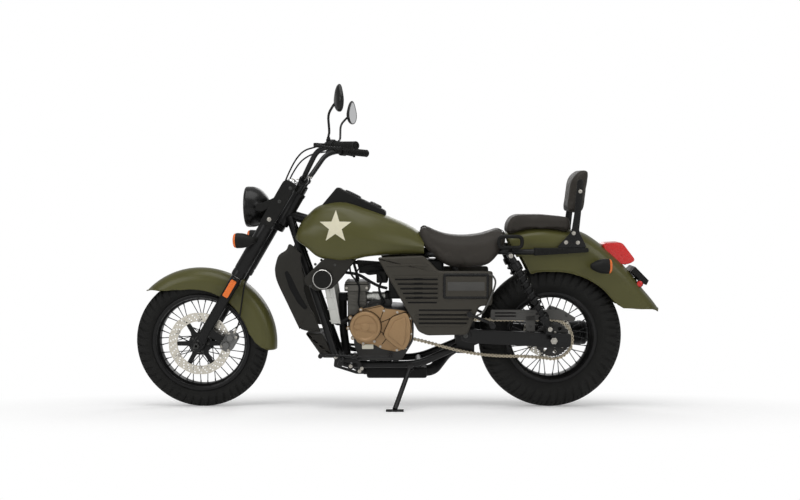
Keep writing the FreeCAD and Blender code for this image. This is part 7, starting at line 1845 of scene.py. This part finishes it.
# %% Rear sprocket
TEETH = 34
tooth = np.linspace(0, 2 * math.pi, TEETH * 8, endpoint=False)
wave = 0.5 - 0.5 * np.cos(TEETH * tooth)
radius_of = 72 + 5 * wave ** 0.7
teeth_line = rim_of(DRIVEN, radius_of[:, None], tooth)
holes = [circle(*middle, 8.5, 20) for middle in rim_of(DRIVEN, 55, np.arange(8) * math.pi / 4 + 0.2)]
sprocket = pierced([teeth_line[::-1]] + holes + [circle(*DRIVEN, 20, 32)], -103, -97, 0.5)
sprocket_boss = turned([(-96.8, 20), (-96.8, 40), (-94, 42), (-78, 42), (-75, 38), (-75, 20)], REAR_AXLE,
                       steps=48, closed=True)
piece("rear_sprocket_cut", sprocket + sprocket_boss, "chain_steel", "rear_sprocket", body="rear_wheel",
      paint="case_dark", crease=35)
sprocket_bolts = round_wheel(REAR_AXLE, 32, -103, np.arange(5) * 2 * math.pi / 5)
piece("sprocket_bolts", bolts(sprocket_bolts, -ACROSS, 4.5, 4), "chain_steel", body="rear_wheel",
      paint="bolt_steel", crease=35)
DRIVE_TEETH = 15
front_teeth = np.linspace(0, 2 * math.pi, DRIVE_TEETH * 8, endpoint=False)
front_radius = 27 + 5 * (0.5 - 0.5 * np.cos(DRIVE_TEETH * front_teeth))
drive_line = rim_of(DRIVE, front_radius[:, None], front_teeth)
piece("drive_sprocket_teeth", moulded(drive_line, -103, -97, 0.5, 2), "chain_steel",
      paint="bolt_dark", crease=35)

# %% Chain guard
GUARD = [(1273, 406), (1273, 449), (1583, 449), (1641, 413), (1634, 399), (1527, 407), (1457, 401)]
guard_slots = [eased(oblong(1291, 1383, z0, z0 + 6), 2.9, steps=4) for z0 in (418.5, 432)]
guard_plate = pierced([eased(GUARD, 7)] + guard_slots, -121.8, -116.2, 0.8)
guard_leg = cast([(1424, 424), (1425, 356), (1465, 353), (1466, 424)], 4, -121.8, -116.4, 1)
piece("chain_guard_pressed", guard_plate + guard_leg, "guard_grey", "chain_guard")
guard_bolts = bolts([(1444, -122, 377), (1290, -122, 410), (1600, -122, 425)], -ACROSS, 5, 3)
piece("chain_guard_bolts", guard_bolts, "guard_grey", paint="bolt_dark", crease=35)

# %% [markdown]
# ## Rear caliper, rails and backrest
# The caliper sits on the disc at the front upper quarter, turned to the radius of its pistons. Rails and loops
# are bent tubes and bars. The backrest's two flats are cut from plate, and the bolts that hold them to the
# rail show from the side.

# %% Rear caliper
CAL_TURN = math.radians(68)


def beside_disc(shape):
    """A shape drawn above the axle turns back to the caliper's place: its up runs along the radius."""
    c, s = math.sin(CAL_TURN), math.cos(CAL_TURN)
    x, y, z = shape.points.T
    return Shape(np.stack([c * x + s * z, y, c * z - s * x], -1) + REAR_AXLE, shape.faces)


CAL_HALF = [(-42, 77), (-34, 79), (34, 79), (42, 77), (44, 98), (38, 121), (22, 124), (-22, 124),
            (-38, 121), (-44, 98)]
cal_halves = cast(CAL_HALF, 8, 53, 70.5, 4) + cast(CAL_HALF, 8, 81.5, 99, 4)
cal_bridge = cast([(-34, 115), (34, 115), (30, 124), (-30, 124)], 3, 68, 84, 2)
cal_arm = cast(oblong(-13, 13, 20, 92), 5, 82.5, 90.5, 1.5)
cal_eye = turned([(82.5, 14.5), (82.5, 24), (84, 25.5), (89, 25.5), (90.5, 24), (90.5, 14.5)], (0, 0, 0),
                 steps=40, closed=True)
cal_piston = turned([(98, 0), (98, 14), (101, 14), (102, 12), (102, 0)], (0, 0, 100), steps=30)
caliper = beside_disc(cal_halves + cal_bridge + cal_arm + cal_eye + cal_piston)
piece("rear_caliper_cast", caliper, "caliper_grey", "rear_caliper")

# %% Rails and grab loops
rail_bar = cast([(1456.3, 682.6), (1688, 697.3), (1688, 714.7), (1456.3, 714.7)], 4, 90.3, 127.7, 3)
rail_ribs = join(cast(oblong(x - 3, x + 3, 690, 710), 2, 126, 130.5, 1.2, 3) for x in np.arange(1478, 1610, 20))
grab_loop = eased([(1303, 717), (1303, 765), (1402, 765), (1402, 717)], 24, steps=8)
closed_loop = np.insert(np.vstack([grab_loop, grab_loop[:1]]), 1, 140, axis=1)
grab = tube(closed_loop, 8, 16)
grab_foot = bars((1352.5, 140, 715), (1352.5, 118, 698), 8, 20)
rails = rail_bar + rail_ribs + grab + grab_foot
piece("rear_rails_bent", rails.both(), "matte_black", "mudguard_rails", crease=35)

# %% Backrest flats
shares = np.array([(0, 0), (1, 0), (.73, .24), (.78, .50), (.84, 1), (.64, 1), (.56, .50), (.48, .24)])
flat_line = shares * [130, 290] + [1552, 715.3]
flat_plate = cast(flat_line, 12, 112.3, 117.7, 1.5)
piece("backrest_flats", flat_plate.both() + bars((1645, -112.5, 955), (1645, 112.5, 955), 7, 20), "matte_black",
      "backrest_frame", paint="gloss_black")
flat_bolts = bolts([(1592, 117.8, 739), (1643, 117.8, 738), (1624, 117.8, 778), (1648, 117.8, 955)],
                   ACROSS, 6.5, 4.5)
piece("backrest_bolts", flat_bolts.both(), "matte_black", paint="bolt_steel", crease=35)

# %% [markdown]
# ## Rear lamps
# The tail light is a long lens that tapers to the rear, and the dark seal that it rests on is a slim moulding
# of its own. The indicators are the front ones turned about. The plate's bracket and the side stand are the
# construction's own meshes, and only take their finish here.

# %% Tail light
TAIL = np.array([(0, .95), (.59, 1), (1, .18), (.80, 0), (.30, 0)]) * [150, 96] + [1758, 640]
tail_lens = moulded(eased(TAIL, 18, steps=8), -51.5, 51.5, 4)
piece("tail_light_lens", tail_lens, "red_lens", "tail_light", crease=28)
tail_seal = cast([(1762, 722), (1776, 730), (1872, 645), (1862, 636)], 5, -50, 50, 2)
piece("tail_light_seal", tail_seal, "red_lens", paint="lining_and_painted_shade")

# %% Rear indicators
rear_shell, rear_lens = bullet(np.array([1770, 158, 640]), 1)
rear_stem = bars((1731, 103.3, 640), (1731, 150, 640), 9, 24)
piece("rear_indicator_shells", (rear_shell + rear_stem).both(), "matte_black", "rear_indicators")
piece("rear_indicator_lenses", rear_lens.both(), "amber_lens", "rear_lenses")

# %% Round reflectors
REFLECTOR = (1925, 0, 556)
reflector = turned([(60, 0), (60, 15.5), (65, 15.5), (66, 14.5), (66, 0)], REFLECTOR, steps=36)
# The red lens material gives these reflectors a painted glow, though no lamp is behind them.
glow = turned([(65.5, 0), (65.5, 13), (68.5, 12), (69.5, 9), (70, 0)], REFLECTOR, steps=36)
piece("reflector_cups", reflector.both(), "matte_black")
piece("round_reflectors", glow.both(), "red_lens")

# %% Carried-over construction pieces
for subpart in frame["record"]["subparts"]:
    carried = frame["nodes"][subpart["node"]]
    if carried.type == "MESH":
        carried.data.materials.clear()
        carried.data.materials.append(PAINTS[subpart["material_slot"]])

# %% [markdown]
# ## Floor, light and camera
# The machine stands on a pale studio floor. The floor keeps its shadow near the wheels and fades to the
# backdrop's white further out, by its own distance from the machine, and the world is white wherever the
# camera, a reflection or a clear piece looks at it.

# %% Floor and backdrop
FLOOR_REACH = 9.0
FLOOR_PALE = (0.86, 0.86, 0.86, 1)
FLOOR_GLOW = 0.22
FADE_FROM = 0.42
FADE_TO = 1.25


def floor_finish():
    """Pale paint that turns into plain white with the distance from the middle."""
    material = bpy.data.materials.new("studio_floor")
    material.use_nodes = True
    tree = material.node_tree
    shader = tree.nodes["Principled BSDF"]
    shader.inputs["Base Color"].default_value = FLOOR_PALE
    shader.inputs["Roughness"].default_value = 0.9
    flat = place_of(tree, (0.55, 1.0, 1.0))
    far = node(tree, "ShaderNodeVectorMath", {"operation": "LENGTH"}, {0: flat}, 1).band(FADE_FROM, FADE_TO)
    path = node(tree, "ShaderNodeLightPath")
    seen = Wire(tree, path.socket.node.outputs["Is Camera Ray"])
    shader.inputs["Emission Color"].default_value = (1, 1, 1, 1)
    shader.inputs["Emission Strength"].default_value = FLOOR_GLOW
    white = node(tree, "ShaderNodeEmission", {}, {"Strength": 1.0})
    mixed = node(tree, "ShaderNodeMixShader", {}, {0: far * seen, 1: Wire(tree, shader.outputs[0]), 2: white})
    tree.links.new(mixed.socket, tree.nodes["Material Output"].inputs[0])
    return material


corners = np.array([[-1, -1], [1, -1], [1, 1], [-1, 1]]) * FLOOR_REACH
floor_mesh = bpy.data.meshes.new("studio_floor")
floor_mesh.from_pydata([(x, y, 0.0) for x, y in corners], [], [(0, 1, 2, 3)])
floor_mesh.materials.append(floor_finish())
floor = bpy.data.objects.new("studio_floor", floor_mesh)
bpy.context.scene.collection.objects.link(floor)

# %% World and lamps
world = bpy.data.worlds.new("studio")
bpy.context.scene.world = world
world.use_nodes = True
sky = world.node_tree
rays = sky.nodes.new("ShaderNodeLightPath")
seen = Wire(sky, rays.outputs["Is Camera Ray"])
shown = seen.maths("MAXIMUM", seen, Wire(sky, rays.outputs["Is Glossy Ray"]) * GLOSS_SKY)
shown = shown.maths("MAXIMUM", shown, Wire(sky, rays.outputs["Is Transmission Ray"]))
sky.links.new((shown * (1 - WORLD_LIGHT) + WORLD_LIGHT).socket, sky.nodes["Background"].inputs["Strength"])
sky.nodes["Background"].inputs["Color"].default_value = (1, 1, 1, 1)


def soft_lamp(name, place, aim, size, power):
    """A square lamp at a place, turned towards the point it is aimed at."""
    lamp = bpy.data.lights.new(name, "AREA")
    lamp.size = size
    lamp.energy = power
    holder = bpy.data.objects.new(name, lamp)
    bpy.context.scene.collection.objects.link(holder)
    way = Vector(aim) - Vector(place)
    holder.matrix_world = Matrix.Translation(place) @ way.to_track_quat("-Z", "Y").to_matrix().to_4x4()
    return holder


soft_lamp("lamp_above", (-0.2, -1.2, 3.4), (0, 0, 0.4), 2.6, 60)
soft_lamp("lamp_front_left", (-2.8, -3.2, 1.9), (0, 0, 0.5), 1.8, 36)
soft_lamp("lamp_rear_left", (2.6, -3.0, 1.6), (0.2, 0, 0.5), 1.6, 25)
soft_lamp("lamp_behind", (0.4, 3.0, 2.4), (0, 0, 0.6), 2.0, 28)

# %% Camera
CAMERA_PLACE = (0.1, -4.115, 0.36)
camera = bpy.data.cameras.new("camera")
camera.lens = 42.72
camera.sensor_width = 36.0
camera.shift_x = -0.0241
camera.shift_y = 0.0944
holder = bpy.data.objects.new("camera", camera)
holder.matrix_world = Matrix.Translation(CAMERA_PLACE) @ Matrix.Rotation(math.pi / 2, 4, "X")
bpy.context.scene.collection.objects.link(holder)
bpy.context.scene.camera = holder
bpy.context.scene.view_settings.view_transform = "Standard"
